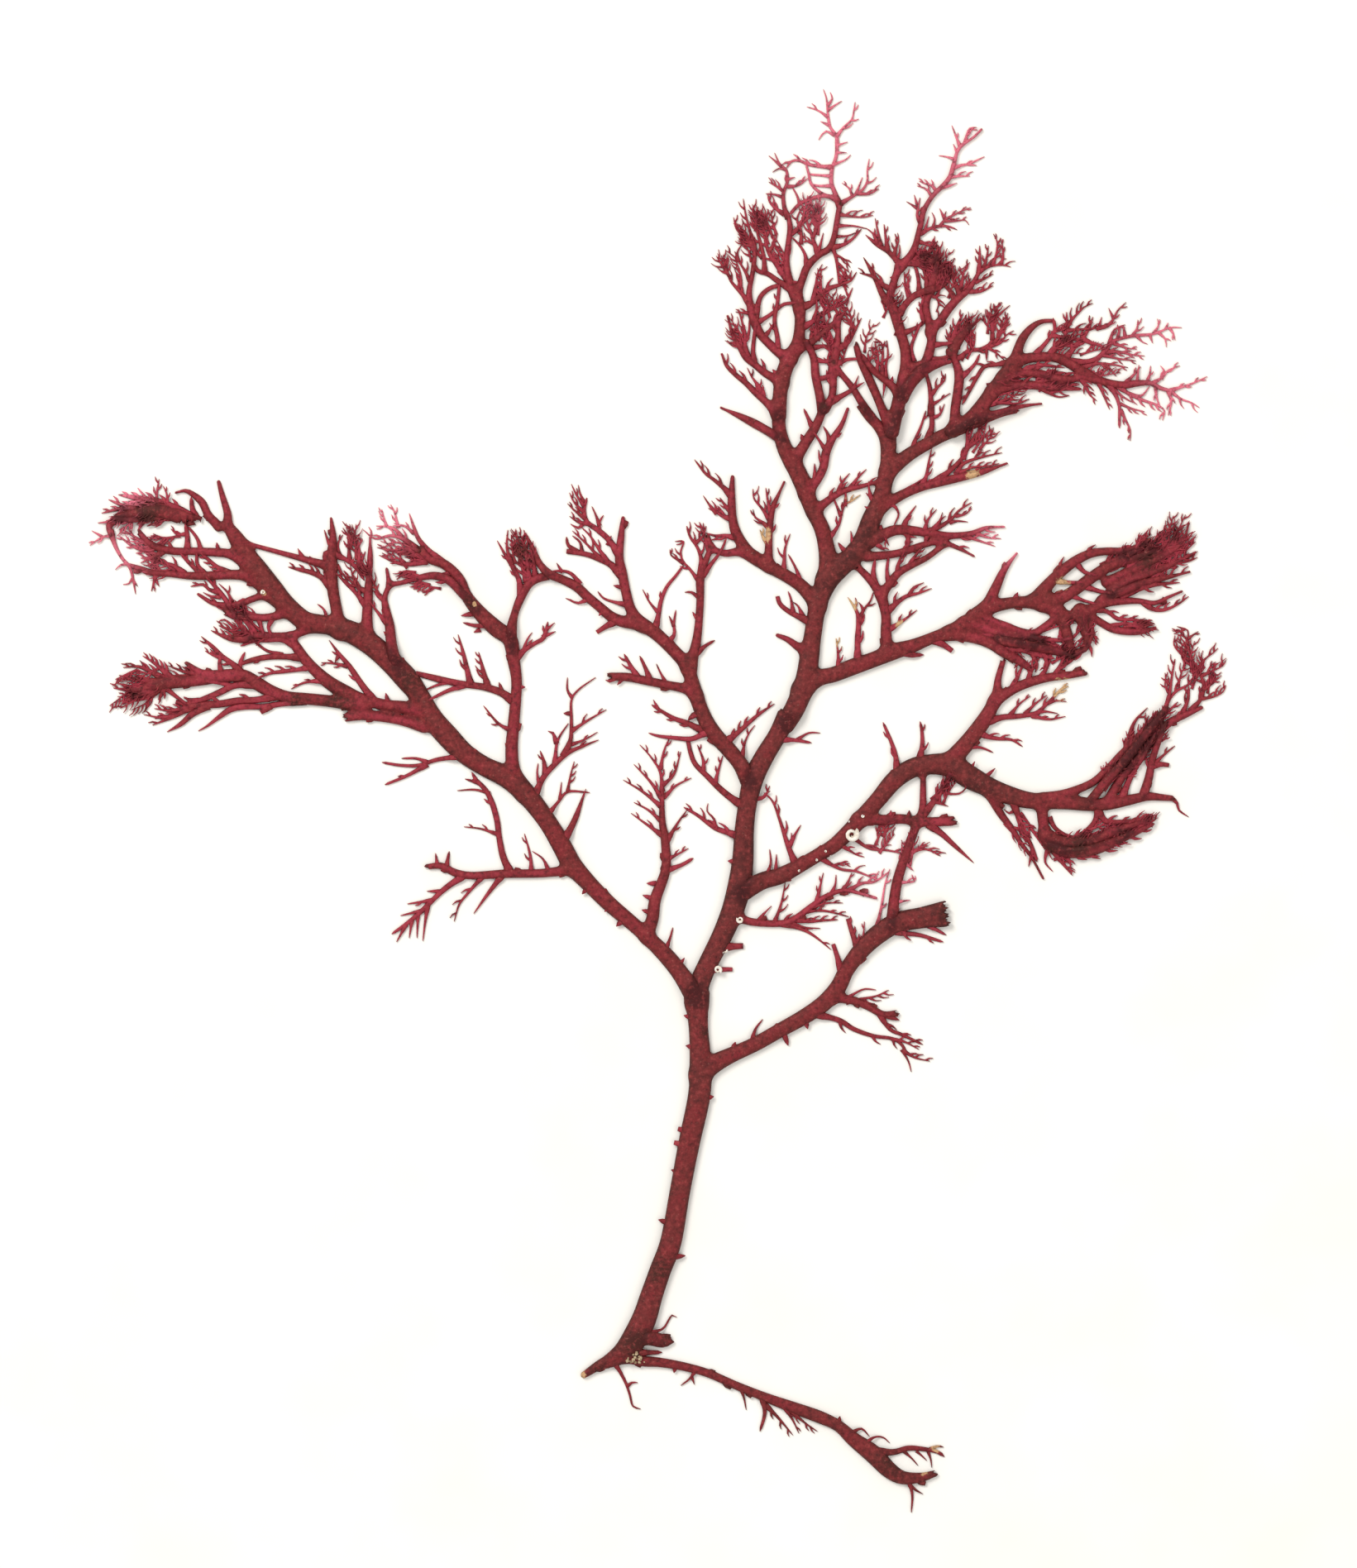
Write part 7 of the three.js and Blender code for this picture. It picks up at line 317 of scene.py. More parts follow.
# Branch climbing from the right limb, with its four side arms.
RIGHT_RISE = [
    [1.9, 0.5, [], [29.8, 4.0], [31.6, 6.0, 1.7], [33, 7.8, 1.6], [34, 9.4, 1.4], [34.6, 11, 1.0],
     [34.8, 12.6, 0.7], [35.3, 14.4]],
    [1.2, 0.6, [], [34.4, 10.2], [36.2, 11.4, 1.0], [38, 12.2, 1.0], [40, 12.7, 0.9], [41.8, 12.9, 0.8],
     [43.7, 13.2]],
    [0.6, 0.2, ["L", 2, 0.8], [36.2, 11.6], [36.8, 12.8], [37.5, 14.4]],
    [0.5, 0.2, ["L", 3, 0.9], [37.8, 12.3], [38.2, 13.4], [39.1, 14.8]],
    [0.5, 0.2, ["L", 2, 0.8], [39.0, 12.6], [39.8, 13.7], [40.3, 15.0]],
    [0.6, 0.2, ["R", 3, 0.8], [40.6, 12.9], [41.3, 14.2], [41.8, 15.6]],
    [0.4, 0.15, ["L", 3, 0.8], [41.3, 13.8], [42.8, 14.8], [44.2, 15.9]],
    [0.9, 0.5, [], [33.2, 8.0], [35.2, 8.6], [36.6, 8.7], [38.2, 8.9], [39, 9.2]],
    [0.45, 0.12, ["L", 2, 0.5], [36.0, 8.8], [37, 10], [38.1, 10.8]],
    [0.45, 0.12, ["L", 2, 0.6], [37.5, 8.9], [38.6, 10], [39.8, 10.9]],
    [0.45, 0.3, ["A", 5, 0.7], [38.8, 9.0], [39.8, 10], [40.6, 10.8], [41.3, 11.5], [42.0, 11.8]],
    [0.35, 0.12, ["L", 2, 0.5], [39.6, 9.9], [40.7, 10.3], [41.8, 10.2]],
    [0.3, 0.12, [], [38.6, 8.9], [39.5, 9.2], [40.9, 9.0]],
    [0.5, 0.12, ["L", 2, 0.4], [38.2, 8.8], [40, 8.4], [41.7, 8.7]],
    [0.7, 0.2, ["L", 3, 0.8], [32.4, 7.2], [33.8, 6.6], [35, 6.4], [36.2, 6.3], [37.3, 5.6]],
    [0.5, 0.2, [], [31.2, 5.6], [33, 5.5], [34.3, 5.0]],
]
# Far right mass of blades that climbs from the right limb.
FAR_RIGHT = [
    [1.1, 0.6, [], [39.6, 0.3], [42, 0.9, 0.9], [44.4, 1.9, 0.8], [46, 3.3, 0.8], [47.2, 4.6, 0.8],
     [48.6, 6.0, 0.8], [50.2, 7.8, 0.8], [51.4, 9.2]],
    [1.0, 0.5, ["L", 3, 1.0], [44.2, 0.0], [45.6, 1.8, 0.9], [47.2, 3.6, 0.9], [49, 5.8, 0.9],
     [50.6, 7.8, 0.8],
     [52, 9.6]],
    [1.0, 0.4, ["L", 3, 1.0], [46.0, 0.0], [47.4, 2.4, 0.9], [49.2, 4.6, 0.9], [50.8, 6.6, 0.9],
     [52.4, 8.1, 0.8], [54, 8.9, 0.7], [55.6, 9.6]],
    [0.8, 0.4, ["L", 2, 0.8], [47.4, 0.2], [48.4, 2.6], [49.8, 5.0], [51.0, 7.2]],
    [1.0, 0.5, ["L", 2, 0.8], [49.6, 0.5], [50.2, 2.4], [50.6, 4.4], [51.2, 6.2], [51.8, 8.0]],
    [0.7, 0.5, [], [50.4, 3.6], [51.4, 3.8], [52.3, 3.7]],
    [0.45, 0.15, ["L", 1, 0.5], [50.7, 3.8], [51.8, 4.8], [52.9, 5.7]],
    [0.8, 0.12, ["R", 2, 0.6], [47.8, 4.8], [48.2, 6.6], [48.8, 8.2], [50.1, 9.6]],
    [0.5, 0.15, ["L", 2, 0.7], [48.8, 5.8], [49.5, 7.2], [50.2, 8.8]],
    [0.5, 0.2, ["R", 3, 0.8], [50.4, 7.6], [51.6, 8.6], [53.2, 10.2]],
    [0.5, 0.25, ["L", 3, 0.9], [51.6, 9.0], [52.4, 10.6], [53.2, 11.4], [54.2, 11.9], [54.8, 12.8]],
    [0.4, 0.2, ["L", 4, 1.0], [52.0, 9.8], [52.4, 11.4], [52.6, 13.0], [52.9, 14.6]],
    [0.55, 0.3, ["L", 2, 0.8], [53.6, 8.9], [54.2, 10.4], [54.3, 11.8]],
    [0.55, 0.3, ["L", 3, 0.9], [54.4, 9.2], [55.6, 10.6], [55.8, 12], [55.3, 13.4], [54.8, 14.4]],
    [0.4, 0.15, ["L", 4, 1.3], [54.9, 13.4], [54.5, 15.0], [54.2, 16.6], [54.2, 17.5], [53.1, 17.9]],
    [0.3, 0.12, ["R", 1, 0.4], [54.2, 16.6], [54.7, 17.0], [55.3, 17.4]],
    [0.4, 0.12, ["L", 4, 1.0], [55.5, 12.8], [56.6, 13.3], [57.8, 13.9], [58.1, 14.5]],
    [0.35, 0.12, ["L", 3, 0.9], [55.3, 13.6], [56.0, 14.6], [56.8, 15.2], [57.3, 15.7]],
    [0.4, 0.12, ["L", 4, 0.9], [55.5, 10.5], [56.8, 10.7], [57.8, 11.2], [58.1, 11.9]],
    [0.35, 0.12, ["R", 3, 0.8], [54.5, 14.4], [53.6, 15.0], [52.8, 16.0], [52.9, 17.0]],
]
# Blades hanging below the right limb.
RIGHT_UNDER = [
    [1.0, 0.12, ["L", 2, 0.7], [33.8, 0.9], [35, -1.2], [36.2, -2.8], [37.2, -4.4], [38.2, -5.7],
     [39.4, -7.9]],
    [0.8, 0.4, ["R", 2, 0.6], [36.2, 0.2], [36.8, -1.4], [37.4, -3], [38.2, -4.6], [38.8, -6.2]],
    [0.35, 0.12, [], [36.5, -0.9], [35.9, -1.2], [35.4, -0.8]],
    [0.45, 0.15, ["L", 1, 0.5], [37.0, -1.2], [37.8, -2.1], [38.5, -3.1]],
    [1.2, 0.8, [], [39.2, 0.0], [39.4, -2.2, 1.1], [39.6, -3.8], [40.2, -5.0]],
    [0.6, 0.4, [], [40.0, -1.6], [40.6, -2.7], [41.6, -3.4], [42.6, -3.7]],
    [0.7, 0.5, [], [45.0, -0.6], [44.7, -2.0], [43.8, -3.0], [42.8, -3.6]],
    [1.5, 0.25, ["L", 6, 0.9], [39.6, -3.4], [41.4, -4.3, 1.5], [44, -4.2, 1.5], [46.4, -3.2, 1.2],
     [48.6, -2.5, 0.9], [50.7, -1.6]],
    [1.2, 0.25, ["R", 6, 0.9], [40.0, -4.4], [42, -5.2, 1.2], [44.6, -4.9, 1.2], [47, -4.0, 0.9],
     [49.4, -2.9, 0.6], [50.7, -2.3]],
    [0.8, 0.3, ["L", 3, 0.6], [45.0, -0.9], [45.8, -2.0], [47.4, -2.1], [49, -1.9], [50.5, -1.5]],
    [0.6, 0.12, ["L", 4, 0.7], [40.4, -5.0], [41.2, -6.1], [42.4, -7.6]],
    [0.45, 0.12, ["L", 2, 0.5], [41.8, -5.6], [42.2, -6.5], [42.1, -7.2]],
    [0.4, 0.12, [], [39.8, -5.0], [39.6, -6.2], [40.4, -7.2]],
    [0.4, 0.12, [], [38.3, -5.0], [37.9, -6.7]],
    [0.5, 0.2, [], [43.0, -5.6], [44.0, -5.6], [45.2, -5.6]],
    [0.4, 0.2, [], [45.4, -4.8], [46.6, -4.5], [47.6, -4.4]],
]
# Crown axis above the upper right limb and the arms on its left.
CROWN = [
    [2.0, 1.3, [], [13.0, 7.9], [13.9, 9.4, 2.1], [14.7, 11.2, 2.1], [15.2, 13.0, 2.1], [15.5, 15, 2.0],
     [15.8, 17, 1.8], [16.3, 20, 1.8], [17.0, 22, 2.0], [17.4, 24, 2.0], [17.2, 26, 1.7], [16.7, 28, 1.6],
     [15.7, 30, 1.6], [15, 32, 1.8], [14.1, 34, 1.8], [13.0, 36, 1.6], [12.4, 38, 1.4], [12.3, 40]],
    [1.6, 0.4, [], [16.4, 20.0], [14.8, 21.9, 1.4], [13.4, 22.9, 1.3], [11.6, 23.9, 1.3], [10.2, 24.7, 1.3],
     [9.0, 25.8, 1.2], [8.0, 27.4, 1.1], [7.6, 29, 0.9], [7.5, 31, 0.8], [7.6, 33.2]],
    [1.0, 0.5, [], [10.0, 24.9], [8.2, 25.5], [6.8, 25.4], [5.6, 25.9], [5.0, 27.1]],
    [1.0, 0.12, ["R", 2, 0.6], [11.3, 24.0], [11.3, 26, 0.8], [11.4, 28, 0.7], [11.7, 30, 0.6],
     [12.3, 31.4],
     [12.9, 32.7]],
    [0.5, 0.12, ["L", 2, 0.6], [11.4, 27.9], [10.6, 28.6], [9.9, 29.1], [9.7, 29.9]],
    [0.5, 0.12, ["R", 3, 0.9], [11.4, 28.8], [10.6, 30], [9.8, 31], [9.7, 32.0]],
    [0.45, 0.12, ["R", 2, 0.6], [11.5, 29.4], [11.2, 30.8], [11.0, 32.1]],
    [0.45, 0.15, ["R", 2, 0.5], [11.3, 26.2], [10.8, 26.9], [10.4, 27.8]],
    [0.6, 0.12, ["L", 2, 0.8], [12.8, 23.2], [12.9, 24.8], [13, 26], [13.5, 27.4]],
    [0.45, 0.2, [], [14.7, 22.2], [14.0, 24.0], [13.3, 25.3]],
    [0.9, 0.5, [], [15.9, 18.2], [14.0, 19.1], [13.0, 19.7], [12.4, 20.3], [12.2, 21.0]],
    [0.5, 0.15, [], [14.8, 18.9], [14.3, 20.0], [13.8, 20.4]],
    [0.45, 0.2, [], [13.8, 19.3], [13.6, 20.6], [13.3, 21.5]],
    [1.1, 0.4, [], [15.5, 15.0], [14.2, 15.9], [13.2, 16.6], [12.2, 17.0]],
    [0.6, 0.15, ["L", 3, 0.8], [7.8, 27.0], [6.8, 27.2], [5.8, 27.2], [4.8, 27.5]],
    [0.6, 0.2, ["R", 2, 0.9], [7.7, 28.8], [6.6, 29.2], [5.8, 29.7], [5.1, 30.0]],
    [0.4, 0.12, [], [6.0, 29.4], [5.2, 30.4], [4.6, 31.3]],
    [0.5, 0.15, ["L", 2, 0.6], [7.6, 29.4], [6.9, 30.2], [6.3, 31.1]],
    [0.7, 0.15, ["R", 3, 0.9], [7.6, 31.0], [6.8, 32.0], [5.6, 33], [4.8, 33.6], [3.7, 35.0]],
]
# Arm climbing to the left from the centre axis, and its two forks.
CENTRE_LEFT = [
    [1.8, 1.4, [], [9.3, 2.0], [8.4, 3.8, 1.6], [7.2, 5.3, 1.6], [6.0, 6.6, 1.6], [5.0, 8.0, 1.6],
     [4.3, 9.6, 1.5], [3.7, 11.4, 1.5], [3.2, 13.2, 1.4], [3.0, 14.4]],
    [0.9, 0.12, ["L", 4, 0.7], [6.8, 6.0], [8.1, 7.0, 0.6], [9.2, 8.0, 0.5], [10.4, 9.0, 0.4],
     [11.9, 10.0]],
    [0.4, 0.3, [], [7.4, 6.2], [7.8, 7.5]],
    [0.55, 0.12, ["L", 2, 0.6], [8.5, 3.9], [8.8, 5.8], [9.3, 7.0], [9.9, 7.8]],
    [0.7, 0.2, [], [5.6, 7.2], [4.6, 6.9], [3.4, 6.4, 0.6], [1.6, 6.5, 0.5], [0, 6.7, 0.4], [-1.0, 7.0]],
    [0.8, 0.3, ["L", 3, 0.6], [4.8, 7.2], [3.8, 7.6], [3, 8.0], [1.6, 8.5], [0.4, 9.2], [-0.7, 9.9]],
    [0.7, 0.4, [], [4.4, 9.0], [3.6, 8.8], [3.0, 8.2]],
    [0.35, 0.15, [], [0.0, 9.4], [-0.5, 10.4]],
    [1.1, 0.7, [], [3.9, 10.8], [2.8, 11.5, 1.0], [1, 11.9, 0.9], [-1, 12.3, 0.9], [-3, 12.7, 0.9],
     [-5.0, 12.8]],
    [0.7, 0.3, ["L", 2, 0.7], [-2.0, 12.5], [-2.8, 13.8], [-3.5, 15.1]],
    [0.6, 0.3, [], [-0.8, 12.3], [-1.3, 13.6], [-1.9, 14.9]],
    [0.4, 0.15, [], [0.9, 11.9], [0.2, 13.2], [-0.2, 14.1]],
    [0.5, 0.3, [], [-4.0, 12.8], [-5.0, 12.3], [-5.4, 12.4]],
    [0.4, 0.2, [], [-3.6, 12.6], [-4.2, 11.9]],
    [1.4, 0.15, [], [3.1, 13.8], [1.8, 15.2, 1.3], [0.4, 16.6, 1.3], [-0.8, 17.6, 1.4], [-2.2, 18.2, 1.4],
     [-3.6, 18.4, 1.2], [-4.8, 18.9, 1.1], [-6, 19.9, 1.0], [-7.2, 20.9, 1.0], [-8.4, 22.0, 1.0],
     [-9.8, 22.7, 0.9], [-11.2, 23.3, 0.9], [-12.2, 24.4, 0.7], [-12.9, 26, 0.5], [-13.6, 27.4]],
    [1.2, 0.4, [], [-1.6, 18.0], [-2.8, 19.6, 1.1], [-3.3, 21.4, 1.0], [-3.7, 23.4, 1.0], [-4, 25, 0.9],
     [-3.8, 27.2, 0.7], [-3.6, 29.0]],
    [0.9, 0.6, [], [-3.7, 23.0], [-4.8, 24.2, 0.8], [-6.0, 24.8, 0.7], [-7.4, 25.3, 0.6], [-9.4, 25.6]],
    [0.55, 0.15, ["R", 2, 0.7], [-5.2, 24.5], [-6.2, 26], [-7.0, 27.2], [-7.9, 28.1]],
    [0.45, 0.15, ["R", 3, 0.7], [-5.8, 24.7], [-7.0, 26.0], [-7.8, 26.8], [-8.8, 27.7]],
    [0.5, 0.3, [], [-8.2, 25.5], [-9.2, 26.2], [-9.4, 27.1]],
    [0.4, 0.2, [], [-7.8, 25.3], [-8.0, 26.5], [-8.8, 27.2]],
    [0.9, 0.3, [], [-4.0, 25.2], [-5.0, 26.7, 0.7], [-6.2, 27.8, 0.7], [-7.3, 28.6, 0.6], [-7.6, 29.8, 0.5],
     [-7.3, 31.1]],
    [0.4, 0.3, [], [-5.2, 26.2], [-4.8, 27.2]],
    [0.45, 0.2, ["L", 1, 0.5], [-6.0, 27.4], [-6.0, 28.6], [-5.6, 29.3]],
    [0.4, 0.15, [], [-6.0, 28.2], [-6.4, 29.3], [-6.8, 30.2]],
    [0.45, 0.12, ["R", 2, 0.6], [-7.0, 28.4], [-8.2, 28.6], [-9.1, 29.2]],
    [0.45, 0.12, ["R", 2, 0.6], [-7.4, 28.9], [-8.6, 29.8], [-9.3, 30.5]],
    [0.4, 0.12, ["R", 2, 0.6], [-7.6, 29.6], [-8.6, 30.6], [-9.1, 31.6]],
    [0.4, 0.12, ["R", 1, 0.5], [-7.6, 30.2], [-8.4, 31.4], [-8.9, 32.5]],
    [0.35, 0.12, [], [-7.6, 30.6], [-8.0, 31.5], [-8.2, 32.4]],
    [0.45, 0.15, [], [-7.6, 28.5], [-8.2, 28.0], [-9.0, 28.4]],
    [0.5, 0.2, [], [-3.2, 20.1], [-4.5, 20.4], [-5.6, 20.8], [-6.2, 21.5]],
    [0.4, 0.3, [], [-3.4, 21.8], [-4.6, 22.1]],
    [0.5, 0.2, [], [-7.0, 20.8], [-8.2, 20.3], [-9.0, 20.6], [-9.5, 20.8]],
    [0.45, 0.3, [], [-5.6, 19.5], [-6.1, 19.0]],
    [0.9, 0.5, [], [-3.8, 18.7], [-5.2, 18.0], [-6.3, 17.3]],
    [0.55, 0.2, [], [-8.0, 22.2], [-8.9, 23.3], [-10.0, 23.6], [-11.4, 23.4]],
    [0.35, 0.12, [], [-9.8, 23.4], [-10.4, 24.4]],
    [0.7, 0.3, ["L", 1, 0.5], [-0.4, 17.2], [0.0, 19], [0.3, 20.6], [0.9, 22], [1.8, 23.1], [2.6, 24.2]],
    [0.4, 0.12, ["R", 1, 0.5], [0.1, 19.2], [-0.9, 20.4], [-1.6, 21.7]],
    [0.5, 0.2, [], [0.7, 16.1], [1.6, 17], [1.6, 18.2], [1.8, 19.6]],
    [0.35, 0.12, [], [1.6, 17.9], [1.1, 19.0]],
    [1.4, 0.5, [], [3.1, 13.6], [3.7, 15.4, 1.1], [4.0, 17, 0.9], [4.2, 19, 0.8], [4.3, 21, 0.8],
     [4.3, 22.8, 0.9], [4.7, 24.2, 0.7], [5.4, 26.0]],
    [0.6, 0.3, [], [3.8, 15.0], [4.8, 15.9], [5.8, 16.5]],
    [0.4, 0.2, [], [4.2, 20.8], [3.4, 21.4], [2.7, 21.4]],
    [0.35, 0.2, [], [4.0, 18.6], [3.5, 19.4]],
    [0.6, 0.25, [], [4.5, 23.0], [5.5, 24.4], [6.4, 25.6], [7.0, 27.0]],
    [0.6, 0.25, ["R", 4, 0.9], [4.2, 22.8], [4.4, 24.6], [4.0, 26], [3.3, 27], [2.9, 28.2]],
    [0.45, 0.15, ["L", 3, 0.7], [4.1, 22.6], [3.2, 23.8], [2.5, 24.6], [2.3, 25.6], [2.6, 26.6],
     [1.7, 26.6]],
    [0.4, 0.12, ["R", 2, 0.5], [2.6, 24.4], [1.9, 24.8], [1.3, 25.2], [1.2, 25.8]],
    [0.5, 0.2, ["L", 3, 0.8], [5.2, 25.6], [4.8, 27.0], [4.2, 28.6]],
    [0.4, 0.15, ["L", 2, 0.6], [3.8, 26.4], [4.6, 27.2], [4.9, 28.2]],
]
# Crown fork leaning right, with its crowded side sprays.
CROWN_RIGHT = [
    [2.2, 1.0, [], [17.2, 22.6], [18.6, 24, 2.2], [20.0, 25.3, 2.1], [21, 26.8, 2.0], [21.8, 28.8, 2.0],
     [22.6, 30.6, 1.8], [23.2, 32.6, 1.6], [23.5, 34.6, 1.6], [23.6, 36.8, 1.5], [24.1, 38.5, 1.1],
     [24.8, 40.2]],
    [1.2, 1.0, [], [23.6, 36.4], [22.6, 38.3], [21.6, 39.4], [20.8, 40.6]],
    [1.6, 0.9, [], [23.4, 33.6], [25.4, 35.3, 1.4], [27, 36.3, 1.3], [29, 37.4, 1.3], [31, 38.2, 1.3],
     [33, 39, 1.1], [35, 39.7, 0.8], [36.6, 40.2]],
    [0.5, 0.2, ["R", 2, 0.6], [25.9, 35.6], [26.3, 37], [26.9, 38.4], [27.4, 40.0]],
    [0.8, 0.5, [], [27.4, 36.6], [28, 38.4], [27.9, 40.2]],
    [0.7, 0.4, [], [29.2, 37.6], [30.2, 38.9], [30.6, 40.2]],
    [1.2, 0.12, ["L", 2, 0.5], [23.0, 30.2], [25, 31.4, 1.0], [27, 32.2, 0.9], [29, 32.7, 0.9],
     [31, 33.2, 0.9],
     [32.6, 33.6, 0.8], [34, 34, 0.5], [35.7, 34.6]],
    [0.45, 0.2, [], [24.6, 31.4], [26.2, 32.4], [27.2, 33.1]],
    [0.55, 0.12, ["R", 3, 0.7], [26.8, 32.1], [27.4, 33.2], [27.7, 34.8], [28.0, 36.2]],
    [0.8, 0.2, ["L", 4, 0.8], [28.2, 32.6], [29.8, 33.8], [31, 35], [31.8, 36.3], [32.4, 37.4],
     [33.7, 38.7]],
    [0.5, 0.12, ["L", 4, 0.9], [30.4, 33.4], [31.3, 34.6], [33, 35.2], [35.2, 35.7]],
    [0.4, 0.12, ["L", 4, 0.7], [30.8, 33.6], [32.2, 34.2], [33.6, 34.3], [34.9, 34.6]],
    [0.5, 0.15, ["R", 3, 0.8], [31.2, 35.0], [31.6, 36.4], [31.6, 37.8], [32.1, 38.9]],
    [0.4, 0.12, ["L", 3, 0.8], [31.8, 36.3], [33, 37.1], [34.1, 37.6], [34.3, 38.3]],
    [1.3, 0.15, ["R", 4, 1.0], [21.8, 26.6], [24, 27.7, 1.1], [26, 27.7, 1.0], [28, 27.4, 0.8],
     [30, 27.2, 0.7],
     [32, 27.4, 0.6], [33.6, 28, 0.4], [35.4, 28.1]],
    [0.45, 0.12, ["L", 2, 0.6], [31.2, 27.2], [32.8, 26.7], [34.5, 26.1]],
    [0.4, 0.12, ["L", 2, 0.5], [32.4, 27.5], [33.8, 27.0], [35.1, 26.9]],
    [1.0, 0.12, ["L", 3, 1.0], [21.4, 25.0], [24, 25.3, 0.8], [25.6, 25.7, 0.8], [27, 26.2, 0.7],
     [28.6, 26.6, 0.6],
     [29.8, 26.3, 0.5], [31, 25.8, 0.4], [32.3, 25.1]],
    [0.8, 0.15, ["L", 3, 0.9], [27.0, 27.4], [28.6, 28, 0.6], [30, 28.9, 0.5], [30.7, 29.7], [31.4, 30.2],
     [32.1, 30.6]],
    [0.35, 0.12, [], [29.8, 28.5], [30.6, 28.7], [31.7, 28.6]],
    [0.35, 0.12, ["L", 2, 0.4], [30.4, 29.2], [31.4, 29.4], [32.1, 30.0]],
    [0.5, 0.12, ["L", 2, 0.7], [27.2, 27.4], [27.6, 28.8], [28.5, 29.9]],
    [0.4, 0.12, [], [28.0, 27.8], [28.8, 28.7], [29.1, 29.6]],
    [0.7, 0.12, ["R", 1, 0.5], [24.9, 27.5], [25.5, 29], [26.4, 30.3]],
    [0.4, 0.15, [], [22.8, 30.0], [24.0, 30.3], [24.6, 29.4], [24.2, 28.4], [24.0, 27.6]],
    [0.6, 0.12, ["L", 1, 0.4], [22.4, 30.2], [21.7, 31.3], [21.5, 32.8]],
    [0.45, 0.2, [], [22.0, 29.6], [21.1, 30.2]],
    [0.5, 0.25, [], [21.4, 28.2], [20.5, 28.1]],
    [0.6, 0.12, [], [20.4, 25.4], [19.9, 26.4], [19.7, 27.7]],
    [0.7, 0.3, [], [20.0, 25.2], [19.0, 25.7], [18.4, 26.5]],
    [0.5, 0.2, ["L", 2, 0.6], [22.2, 27.0], [22.4, 26.2], [23.2, 25.7]],
    [0.5, 0.2, ["R", 2, 0.6], [22.6, 28.2], [23.2, 27.0], [23.6, 26.2]],
    [0.6, 0.4, ["R", 2, 0.5], [25.4, 27.6], [25.6, 26.8], [25.5, 25.8]],
    [0.5, 0.3, [], [27.6, 27.4], [27.4, 26.8], [27.3, 26.2]],
    [1.1, 0.3, ["L", 4, 0.8], [15.9, 29.6], [17.4, 30.8, 0.8], [18.4, 31.5, 0.7], [19.4, 31.9],
     [20.6, 32.2],
     [22.8, 32.8]],
    [0.5, 0.12, ["L", 1, 0.5], [18.4, 31.5], [18.8, 32.6], [19.6, 33.6]],
    [0.5, 0.12, ["L", 1, 0.5], [19.6, 32.0], [20.4, 33.1], [21.3, 34.0]],
    [0.6, 0.15, ["L", 3, 0.6], [17.2, 26.6], [18.4, 28.2], [18.8, 29.6], [19.1, 30.4], [19.7, 30.7],
     [20.7, 31.4]],
    [0.4, 0.2, [], [18.7, 29.2], [18.2, 30.4], [17.9, 31.2]],
    [0.4, 0.2, [], [19.1, 30.2], [19.2, 31.2], [19.1, 31.9]],
    [1.1, 0.3, ["R", 1, 0.6], [15.0, 31.4], [16.2, 32.8, 0.9], [16.9, 34.2, 0.9], [17.2, 35.8, 0.9],
     [17.9, 37.2, 0.7], [18.8, 38.6, 0.5], [19.4, 40.2]],
    [0.4, 0.2, [], [15.9, 32.6], [16.0, 33.6], [16.0, 34.6]],
    [0.35, 0.12, [], [16.8, 34.4], [16.5, 35.2], [16.4, 36.0]],
    [0.45, 0.25, [], [17.2, 35.8], [16.5, 36.9], [15.9, 37.8]],
    [0.45, 0.25, [], [17.4, 36.2], [17.4, 37.4], [16.9, 38.4]],
    [1.3, 0.8, [], [13.8, 34.6], [15.0, 36.6, 1.1], [15.9, 38.0, 1.0], [16.5, 39.2], [16.9, 40.4]],
    [0.5, 0.4, [], [15.0, 36.6], [14.6, 37.6]],
    [0.6, 0.3, [], [15.9, 38.0], [15.3, 39.3], [14.9, 40.2]],
]
